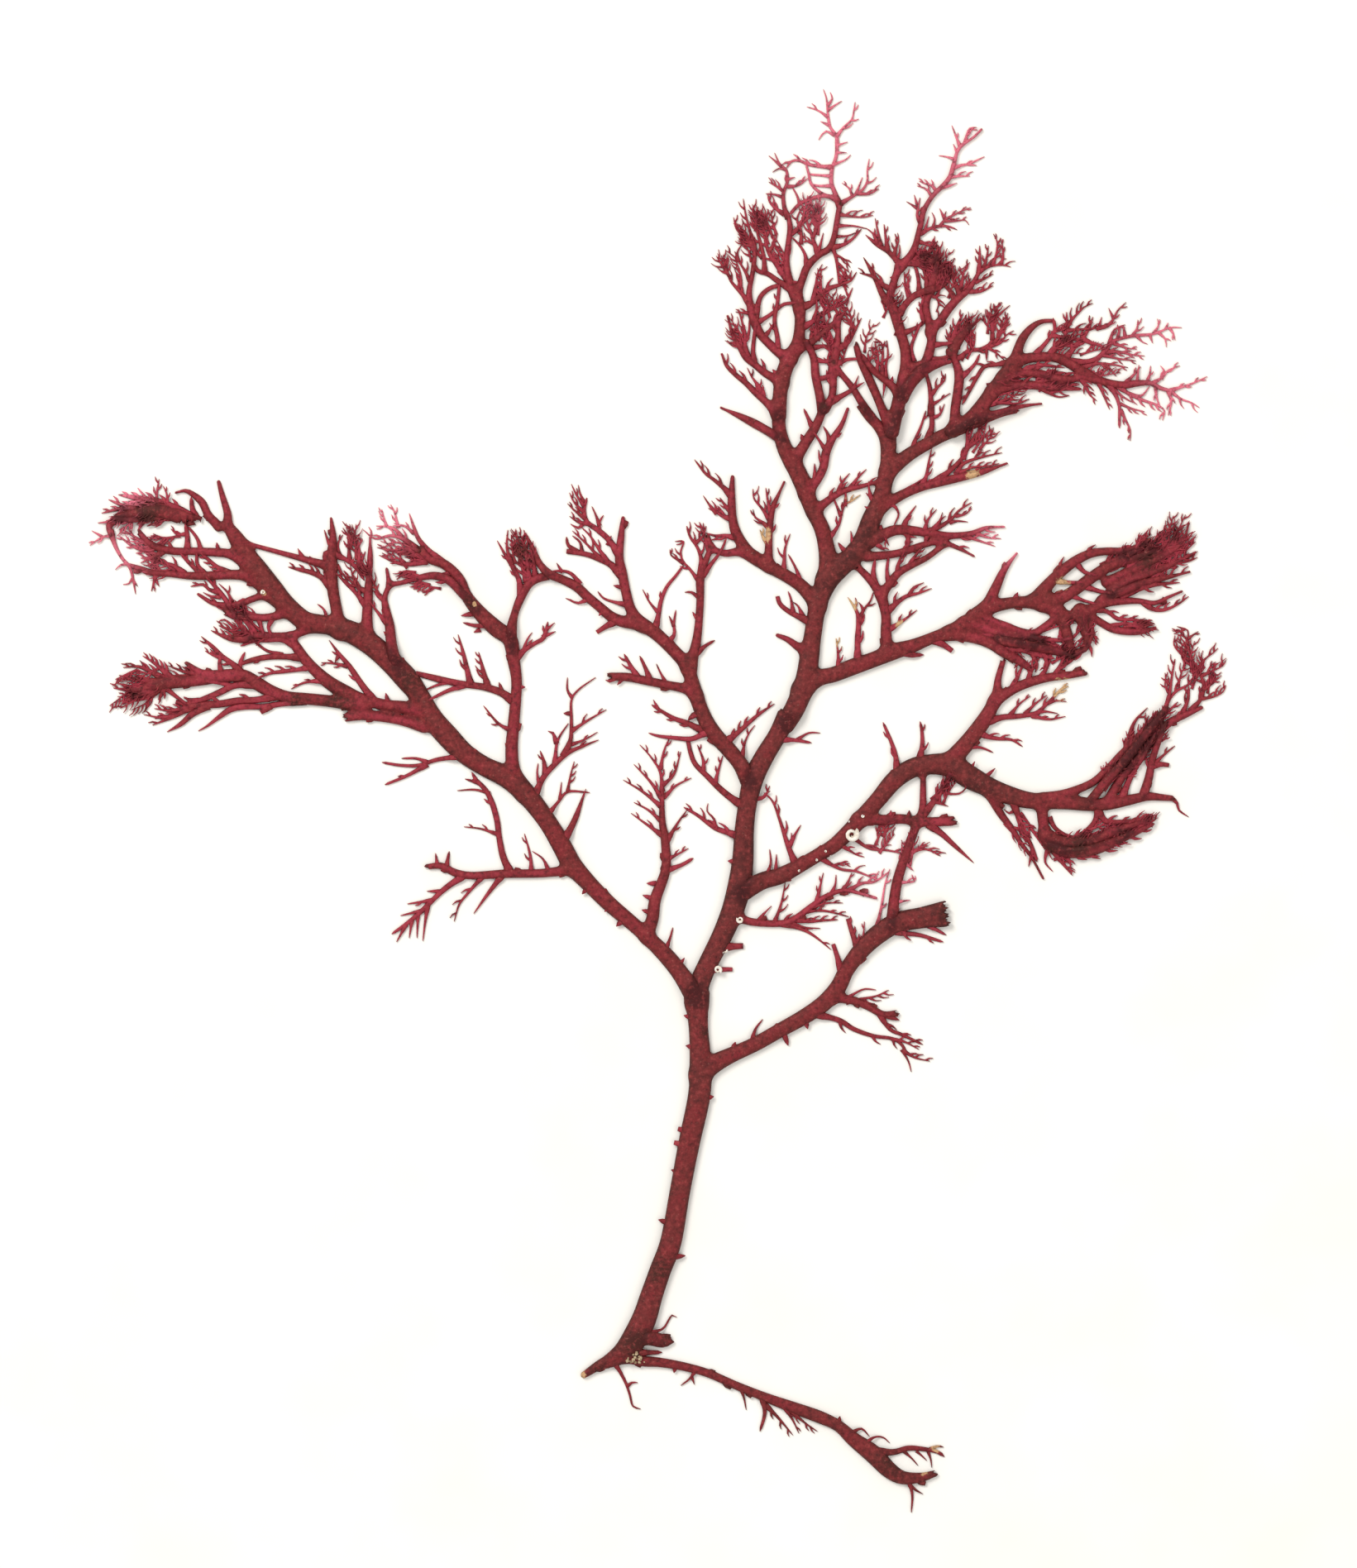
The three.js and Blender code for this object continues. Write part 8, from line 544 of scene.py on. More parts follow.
# Upper right limb with the link that climbs to the crown.
UPPER_RIGHT = [
    [2.0, 1.2, [], [14.6, 11.4], [16.4, 12.6, 1.7], [18, 13.0, 1.6], [20, 13.8, 1.7], [22, 14.5, 1.6],
     [24, 15.3, 1.7], [26, 15.9, 1.4], [28, 16.7, 1.2], [30, 17.4, 1.5], [31.8, 18.5, 1.5],
     [33.5, 19.7, 1.5],
     [36, 20.3, 1.2], [38, 20.4, 1.3], [39.8, 20.5]],
    [0.7, 0.4, [], [24.6, 15.3], [26.0, 15.0], [27.2, 15.0]],
    [0.8, 0.6, [], [27.6, 16.6], [28.9, 16.2], [30.1, 15.4]],
    [1.3, 0.15, [], [33.6, 19.8], [34.6, 22, 1.0], [35.4, 23.7, 0.7], [36.7, 25.4]],
    [0.6, 0.3, [], [36.4, 20.5], [36.8, 21.4]],
    [1.3, 0.6, [], [23.4, 15.4], [23.3, 17.5, 1.1], [23.3, 19, 1.0], [22.9, 20.7, 1.1], [22.2, 22, 0.9],
     [21.4, 23, 0.8], [20.4, 24.0]],
    [1.0, 0.5, [], [22.9, 21.2], [23.7, 22.3, 0.9], [24.6, 23.4, 0.8], [26, 24.2, 0.7], [27.4, 24.9],
     [29.2, 26.2]],
    [0.6, 0.4, [], [22.4, 21.8], [22.0, 23.2], [22.2, 24.8]],
    [0.5, 0.3, [], [23.6, 22.2], [23.4, 23.6], [23.6, 25.2]],
    [0.45, 0.2, ["R", 2, 0.6], [24.4, 23.2], [24.6, 24.4], [25.2, 25.6]],
    [0.45, 0.2, ["R", 2, 0.6], [25.6, 24.0], [26.2, 25.0], [27.0, 26.0]],
    [0.9, 0.12, ["R", 3, 1.0], [20.4, 14.0], [20.4, 16.5, 0.7], [20.5, 18, 0.7], [20.4, 19.2, 0.6],
     [20, 20], [19.4, 20.9]],
    [0.5, 0.15, ["R", 1, 0.6], [20.6, 18.2], [20.9, 19.4], [21.7, 20.5], [22.0, 21.4]],
    [0.35, 0.12, [], [21.0, 19.4], [20.8, 20.0], [20.5, 20.4]],
    [0.5, 0.12, ["R", 3, 0.6], [18.4, 13.2], [18.4, 15], [18.2, 16.7]],
    [0.8, 0.12, ["L", 3, 0.9], [23.2, 19.2], [24.4, 20.3, 0.6], [25.4, 21, 0.5], [26.6, 21.3],
     [28.0, 21.8]],
    [0.4, 0.12, ["R", 1, 0.4], [25.6, 21.0], [26.2, 21.9], [27.2, 22.4]],
    [0.6, 0.12, ["L", 2, 0.6], [23.2, 17.3], [24.6, 18.2, 0.5], [25.6, 18.9], [26.5, 19.6]],
    [1.6, 0.5, ["L", 3, 0.9], [38.6, 20.6], [40.2, 22.5, 1.2], [41.6, 23.8, 1.1], [43, 24.8, 1.0],
     [44.4, 25.4, 0.9],
     [46, 25.6, 0.8], [47.4, 25.6, 0.8], [48.8, 25.9, 0.7], [50.2, 26.8]],
    [1.6, 0.6, [], [39.2, 20.4], [41.2, 20.8, 1.3], [42.6, 21.6, 1.2], [44.2, 22.8, 1.2], [46, 24, 1.1],
     [48, 24.7, 1.0], [50, 25.2, 0.8], [52.2, 25.8]],
    [1.3, 0.2, [], [39.4, 20.0], [41, 19.3, 1.0], [42.6, 19.0, 1.0], [44.2, 19.6, 1.1], [45.6, 20.3, 1.0],
     [47.4, 20.5, 0.8], [49.2, 20.5, 0.6], [50.8, 20.3, 0.5], [52.2, 20.9], [53.6, 21.5]],
    [0.5, 0.3, [], [42.0, 21.2], [43.4, 20.6], [44.8, 20.2]],
    [0.6, 0.4, [], [43.6, 22.0], [45.2, 21.5], [46.8, 21.2]],
    [0.6, 0.4, [], [40.4, 22.6], [42.0, 22.4], [43.4, 22.4]],
    [0.6, 0.4, [], [42.6, 24.6], [43.6, 23.5], [44.8, 23.1]],
    [0.6, 0.15, ["L", 4, 0.6], [49.6, 20.4], [50.6, 19.7], [51.8, 19.6], [53.2, 20.2], [54.3, 21.0]],
    [1.0, 0.25, [], [43.0, 19.4], [44.8, 18.6, 0.8], [46.4, 17.7, 0.8], [48, 17.4, 0.8],
     [49.6, 17.4, 0.6], [50.9, 17.8]],
    [0.7, 0.2, ["L", 4, 0.6], [44.6, 19.7], [46, 19.4, 0.5], [47, 18.7, 0.5], [48.4, 18.6], [49.6, 18.5],
     [50.8, 18.2]],
    [0.5, 0.2, ["L", 3, 0.6], [46.2, 17.9], [47.8, 18.2], [49.4, 18.1], [50.6, 18.0]],
    [0.9, 0.15, ["L", 5, 1.0], [46, 24.2], [48, 25.2, 0.8], [50, 26.2, 0.6], [51.6, 27.1], [52.7, 27.9]],
    [0.9, 0.15, ["L", 5, 1.0], [47, 24.5], [49, 25, 0.8], [51, 25.8, 0.6], [52.6, 26.8], [53.4, 28.2]],
    [1.0, 0.15, ["L", 6, 1.1], [45.8, 22.4], [48.4, 23.6, 0.9], [50.6, 24.6, 0.8], [52.6, 25.6, 0.5],
     [53.8, 26.8],
     [54.3, 28.5]],
    [1.1, 0.15, ["L", 6, 1.1], [45.4, 20.6], [46.8, 21.7], [48.4, 22.6, 0.9], [50, 23.2, 0.9],
     [52, 24, 0.7],
     [53.6, 24.8, 0.4], [55.0, 25.5]],
    [1.0, 0.15, ["L", 6, 1.0], [46.2, 21.0], [48, 21.7, 0.9], [50, 22.4, 0.8], [52, 22.9, 0.5],
     [54.4, 23.5]],
    [0.8, 0.15, ["A", 5, 0.8], [47.2, 20.9], [49, 21.7, 0.7], [51, 22.2, 0.5], [53.4, 22.4]],
    [0.5, 0.15, ["L", 4, 0.9], [51.2, 24.0], [52.8, 24.3], [54.4, 24.6], [55.2, 25.0]],
    [0.4, 0.15, ["L", 3, 0.9], [52.2, 25.8], [53.4, 26.2], [54.8, 26.4]],
]
# Crowded patch under the upper right limb.
UNDER_PATCH = [
    [1.4, 0.5, [], [29.8, 17.2], [32.2, 16.8, 1.2], [34, 16.2, 1.2], [35.4, 15.3, 1.2], [36.8, 14.5, 1.0],
     [38.2, 13.5]],
    [1.0, 0.5, [], [31.2, 18.3], [33, 17.9, 0.9], [34.6, 17.3, 0.9], [36, 16.8, 1.0], [38, 16.5, 1.0],
     [39.8, 16.0]],
    [1.0, 0.6, [], [32.4, 19.0], [34.2, 18.5, 0.7], [35.6, 18, 0.7], [37, 17.4, 0.8], [38.4, 17.2, 0.8],
     [39.6, 17.9, 0.8], [40.8, 18.9]],
    [0.6, 0.4, [], [33.2, 16.9], [34.6, 17.0], [35.6, 16.6]],
    [1.2, 0.4, ["L", 5, 0.9], [34.8, 16.6], [36.6, 16.2, 1.1], [38.6, 15.8, 1.0], [40.6, 15.4, 0.9],
     [42.2, 14.9]],
    [0.9, 0.3, ["L", 4, 0.9], [35.2, 15.4], [37.0, 15.6, 0.9], [39.0, 15.0, 0.8], [40.6, 14.6]],
    [0.9, 0.4, ["R", 4, 0.8], [36.2, 17.5], [37.8, 16.9, 0.8], [39.4, 16.6], [41, 16.5], [42.4, 16.7]],
    [1.4, 0.5, ["R", 4, 1.0], [41.0, 19.4], [41.6, 17.8, 1.2], [42, 16.4, 1.1], [42.4, 14.8]],
    [1.4, 0.5, ["L", 4, 1.0], [43.2, 19.6], [43.6, 17.8, 1.2], [43.9, 16.6, 0.9], [43.6, 15.6],
     [42.6, 15.2]],
    [0.6, 0.3, ["R", 3, 0.6], [44.0, 19.2], [44.4, 17.4], [44.0, 16.0], [43.0, 15.2], [41.8, 14.6]],
    [0.3, 0.12, [], [43.9, 18.3], [44.4, 17.3], [45.0, 16.2]],
    [0.5, 0.2, [], [36.6, 15.0], [36.8, 14.2], [36.4, 13.6]],
    [0.5, 0.2, ["R", 2, 0.6], [38.2, 15.2], [38.8, 14.0], [38.6, 13.2]],
    [0.5, 0.2, ["R", 2, 0.6], [39.4, 15.2], [39.8, 14.0], [39.4, 13.2]],
    [0.4, 0.2, [], [35.4, 18.2], [36.4, 17.8], [37.2, 16.9]],
]
# Top of the crown: the axis above its left arms and the two tall plumes.
TOP = [
    [1.5, 0.4, [], [12.35, 39.4], [12.5, 42, 1.5], [12.9, 44, 1.6], [13.6, 45.6, 1.5], [14.3, 47, 1.3],
     [14.5, 49, 1.1], [14.4, 50.6, 1.2], [13.8, 52.0, 1.0], [13.3, 53.6, 0.9], [13.1, 55.2, 0.7],
     [13.3, 57, 0.6], [13.5, 58.6, 0.6], [13.3, 60.0]],
    [1.0, 0.5, [], [14.4, 50.4], [14.4, 52.2, 0.8], [14.8, 53.6, 0.8], [15.3, 54.8, 0.8], [16.4, 55.9, 0.7],
     [17.5, 56.6, 0.7], [18.0, 57.8, 0.6], [18.3, 59.4, 0.6], [18.6, 61.2]],
    [0.7, 0.12, [], [18.6, 60.8], [18.1, 62.2, 0.6], [17.7, 63.4, 0.5], [17.8, 64.8, 0.5], [18.2, 66, 0.4],
     [18.3, 67.4, 0.4], [18.2, 68.2, 0.5], [17.6, 69.0, 0.35], [17.4, 70, 0.35], [17.3, 71, 0.25],
     [17.2, 72],
     [16.9, 72.9]],
    [0.4, 0.12, ["R", 3, 0.7], [18.2, 68.0], [19, 69], [19.8, 69.8], [20, 70.6], [20.15, 71.6]],
    [0.35, 0.12, [], [18.0, 68.2], [17.2, 68.6], [16.8, 68.3], [16.4, 67.7]],
    [0.3, 0.12, [], [17.5, 69.2], [16.6, 69.6]],
    [0.3, 0.12, ["R", 1, 0.6], [17.4, 70.0], [16.4, 70.7], [15.2, 71.1]],
    [0.3, 0.12, [], [17.3, 70.7], [18, 71.2], [18.8, 71.7]],
    [0.3, 0.12, [], [17.3, 71.2], [17.8, 71.9], [17.6, 72.6]],
    [0.25, 0.12, [], [18.2, 67.1], [19.4, 67.5]],
    [0.25, 0.12, [], [18.2, 66.4], [19.3, 66.4]],
    [0.3, 0.15, [], [18.0, 65.2], [19.2, 65.7], [19.7, 66.2]],
    [0.45, 0.12, ["R", 3, 0.9], [18.7, 61.2], [20, 62, 0.4], [20.9, 62.6], [21.4, 63.5], [21.4, 64.6],
     [21.6, 65.8]],
    [0.35, 0.12, ["L", 2, 0.7], [20.4, 62.2], [21.6, 62.2], [22.6, 62.7]],
    [0.3, 0.12, [], [20.2, 62.1], [20.6, 63.1], [20.9, 63.9]],
    [0.3, 0.12, ["R", 2, 0.5], [19.9, 61.9], [19.5, 62.8], [18.8, 63.3]],
    [0.5, 0.25, ["R", 4, 0.8], [17.9, 64.9], [16.6, 65, 0.45], [15.4, 65.2, 0.4], [14.4, 65.6, 0.35],
     [13.6, 65.5],
     [13.1, 64.8]],
    [0.3, 0.25, [], [17.7, 64.0], [16.4, 64.1], [15.3, 64.2]],
    [0.35, 0.25, [], [17.8, 63.0], [16.4, 63.0], [15.6, 63.2]],
    [0.5, 0.25, [], [18.4, 61.8], [17.2, 62.0], [16.2, 62.6], [15.6, 63.3], [15.4, 64.2], [15.1, 65.3]],
    [0.5, 0.4, [], [18.4, 61.4], [17.4, 61.9], [16.4, 61.9], [15.4, 61.6], [14.4, 61.1], [13.4, 60.0]],
    [0.3, 0.2, [], [14.5, 61.0], [14.2, 62.0], [13.7, 62.9]],
    [0.6, 0.12, ["L", 1, 0.5], [13.3, 59.6], [12.9, 60.8, 0.5], [12.8, 62.2, 0.45], [13.2, 63.4, 0.4],
     [13.1, 64.6, 0.35], [12.4, 65.3], [11.9, 66.4]],
    [0.35, 0.15, ["L", 2, 0.6], [13.2, 62.9], [14.4, 63.1], [15.3, 63.8]],
    [0.3, 0.12, [], [13.1, 63.6], [14.0, 63.9]],
    [0.5, 0.2, ["R", 3, 0.8], [12.9, 60.1], [12.0, 60.7], [11.4, 61.4], [11.2, 62.2]],
    [0.3, 0.15, [], [12.8, 61.8], [12, 62.1], [11.0, 62.2]],
    [0.35, 0.12, ["R", 3, 0.7], [12.9, 62.4], [12.2, 62.9], [11.3, 63.4]],
    [0.25, 0.12, [], [13.1, 64.6], [12.4, 64.8], [11.7, 64.4]],
    [0.3, 0.12, [], [12.6, 65.0], [11.9, 65.6], [11.3, 66.1]],
    [0.4, 0.12, ["L", 4, 0.8], [18.4, 60.1], [19.6, 59.9], [21, 59.8], [22.0, 60.0]],
    [0.4, 0.12, [], [18.3, 58.9], [20, 58.9], [21.4, 58.6]],
    [0.3, 0.12, [], [18.2, 57.8], [19.4, 57.9], [20.4, 58.3]],
    [0.6, 0.2, ["L", 2, 0.5], [17.6, 56.6], [19, 57.0], [19.9, 57.6], [20.8, 58.6]],
    [0.45, 0.25, ["L", 5, 1.3], [17.8, 56.8], [18.2, 55.6], [18.4, 54.2], [18.5, 52.8]],
    [0.9, 0.15, ["L", 4, 1.0], [14.6, 50.5], [15.7, 51.0, 0.7], [16.6, 51.8, 0.7], [17.5, 52.5, 0.6],
     [18.7, 52.9],
     [19.7, 53.3], [20.3, 54.2]],
    [0.5, 0.12, ["R", 4, 0.8], [15.8, 51.1], [16.1, 52.6], [16.3, 54.0], [16.8, 55.0]],
    [0.8, 0.15, ["L", 4, 1.0], [14.6, 48.4], [15.8, 49.1, 0.6], [16.8, 49.9, 0.6], [18, 50.6, 0.5],
     [19.2, 51.2],
     [19.9, 52.6]],
    [0.45, 0.2, [], [15.9, 49.2], [16.2, 50.4], [16.2, 51.4]],
    [1.0, 0.2, ["L", 5, 1.0], [14.2, 46.2], [15.5, 46.9, 0.8], [16.5, 47.7, 0.7], [17.7, 48.7, 0.6],
     [18.6, 49.5],
     [19.3, 50.4]],
    [0.5, 0.2, [], [16.2, 47.5], [16.2, 48.8], [16.7, 50.2]],
    [1.1, 0.6, [], [16.8, 40.0], [16.5, 41.6, 0.9], [16.1, 43.6, 0.9], [15.9, 45.4, 0.8], [15.1, 47.0]],
    [1.2, 0.3, ["L", 4, 1.0], [17.0, 40.2], [17.7, 41.2, 0.8], [17.9, 42.6, 0.8], [17.8, 44.2, 0.9],
     [18.2, 46, 0.9], [18.4, 47.8, 0.6], [18.5, 49.6]],
    [0.8, 0.5, [], [17.2, 40.6], [18.6, 41.4], [19.8, 42.1], [20.2, 42.6]],
    [1.0, 0.6, [], [21.9, 39.2], [20.8, 40.8, 0.8], [19.9, 42.3, 0.7], [18.7, 43.8, 0.6], [18.0, 44.8]],
    [0.3, 0.12, [], [20.0, 42.3], [20.5, 43.6]],
    [0.3, 0.12, [], [20.2, 42.4], [21.1, 42.9]],
    [0.6, 0.3, [], [18.0, 44.6], [19.3, 45.2], [20.6, 45.3]],
    [0.7, 0.12, ["L", 4, 0.9], [18.3, 46.2], [19.4, 47.0, 0.6], [20, 48, 0.4], [20.8, 49.5]],
    [0.5, 0.4, [], [16.1, 45.2], [17.2, 45.0], [18.0, 45.2]],
    [0.5, 0.4, [], [16.2, 43.2], [17.2, 43.4], [18.0, 43.9]],
    [0.5, 0.4, [], [15.8, 46.4], [17.0, 46.6], [18.0, 46.4]],
    [1.1, 0.12, [], [12.8, 36.9], [11.2, 37.9, 0.9], [9.8, 38.7, 0.9], [8.2, 39.5, 0.6], [6.4, 40.3]],
    [1.0, 0.15, ["R", 5, 0.9], [12.2, 39.4], [11.2, 40.7, 0.8], [10, 41.8, 0.7], [9, 42.8, 0.6],
     [8, 43.6, 0.5],
     [7, 44.6, 0.4], [6.5, 45.8]],
    [0.5, 0.12, ["R", 2, 0.6], [10.6, 41.2], [10.3, 42.4], [9.6, 43.4], [9.1, 44.4]],
    [1.0, 0.15, ["R", 4, 0.8], [12.8, 42.8], [11, 43.8, 0.8], [10, 44.6, 0.7], [9, 45.4, 0.7],
     [8.4, 46.4, 0.6],
     [7.6, 47.8, 0.4], [7.1, 49.7]],
    [0.5, 0.3, [], [12.2, 43.6], [11.7, 44.2]],
    [0.6, 0.15, ["R", 2, 0.6], [9.4, 45.0], [8.9, 46.4], [8.9, 47.8], [8.6, 49], [8.2, 50.4]],
    [0.6, 0.4, [], [9.9, 44.6], [9.7, 46], [9.8, 47.4], [10.0, 49.0]],
    [0.4, 0.15, [], [9.0, 47.2], [9.3, 48.2], [9.3, 49.4]],
    [1.2, 0.4, [], [13.6, 45.3], [12.4, 45.9, 1.0], [11.4, 46.8, 0.9], [10.4, 47.9, 0.9], [9.8, 49.3, 1.0],
     [9.4, 50.8, 0.8], [9.3, 52.2, 0.6], [9.6, 53.8, 0.5], [9.8, 55.2, 0.5], [9.9, 56.8]],
    [0.7, 0.12, ["R", 4, 0.9], [9.4, 50.8], [8.6, 51.9, 0.5], [7.8, 52.8, 0.4], [7.3, 53.5], [6.9, 54.8]],
    [0.4, 0.12, ["R", 2, 0.4], [9.4, 50.0], [8.6, 50.0], [7.9, 50.1]],
    [0.45, 0.12, ["R", 4, 0.7], [9.4, 53.2], [8.8, 54.4], [8.2, 55.3], [7.6, 55.9], [6.9, 56.4]],
    [0.35, 0.12, [], [8.2, 55.2], [8.1, 56.2], [8.6, 57.1]],
    [0.7, 0.5, [], [9.9, 49.0], [10.1, 50.4], [10.5, 51.7], [11.4, 52.5], [12.6, 52.9]],
    [0.5, 0.4, [], [10.2, 49.0], [11.3, 49.7], [12.1, 50.3], [12.9, 50.9], [14.2, 51.0]],
    [0.6, 0.4, ["L", 3, 0.6], [12.2, 46.0], [12.2, 47.4], [11.9, 49.2], [12.2, 51], [12.4, 52.9]],
    [0.5, 0.2, [], [10.8, 47.5], [11.4, 48.2], [11.8, 49.0]],
    [0.8, 0.5, [], [13.6, 52.4], [12.2, 53.3], [11.2, 54.0], [10.2, 54.3], [9.7, 55.1]],
    [0.6, 0.12, ["L", 4, 0.9], [10.9, 54.0], [10.8, 55.6], [10.5, 57], [10.1, 58.6], [10.2, 60.9]],
    [0.7, 0.2, ["L", 3, 0.8], [13.2, 53.4], [12.2, 54.8], [11.3, 56.2], [10.9, 57.8], [10.9, 59.2],
     [11.3, 60.6]],
    [0.5, 0.12, ["L", 4, 0.8], [9.9, 56.2], [9.6, 57.6], [9.2, 59], [8.9, 60.3], [8.7, 61.7]],
    [0.5, 0.12, ["R", 4, 0.8], [9.9, 56.8], [8.8, 57.8], [8.0, 58.6], [7.7, 59.8]],
    [0.5, 0.12, ["L", 3, 0.6], [11.2, 56.2], [11.7, 56.8], [12.0, 57.5], [12.2, 58.2]],
    [0.4, 0.12, [], [11.0, 57.8], [11.4, 58.5], [11.9, 59.3]],
    [0.5, 0.3, [], [13.2, 55.2], [12.5, 55.8]],
    [0.4, 0.2, [], [13.3, 56.0], [13.6, 57.0]],
    [0.5, 0.2, [], [15.2, 54.6], [15.0, 56.0], [14.4, 57.0], [13.6, 57.8]],
    [0.6, 0.12, ["A", 6, 0.9], [16.4, 55.8], [16.0, 57], [15.6, 58.3], [15.2, 59.4], [15.3, 61.0]],
    [0.4, 0.12, [], [16.3, 56.0], [16.6, 57.0], [16.9, 58.2]],
    [0.4, 0.12, ["L", 1, 0.5], [15.8, 57.6], [16.2, 58.7], [16.7, 59.8]],
    [0.5, 0.12, ["L", 4, 0.8], [13.5, 58.0], [14.3, 58.6], [15.0, 59.4], [16.4, 60.4]],
    [0.45, 0.12, ["A", 4, 0.7], [14.6, 57.0], [14.6, 58.4], [14.2, 59.6], [14.8, 61.0]],
    [0.4, 0.2, [], [13.4, 53.0], [14.4, 53.2]],
    [0.5, 0.3, [], [14.9, 53.6], [14.6, 54.2]],
]
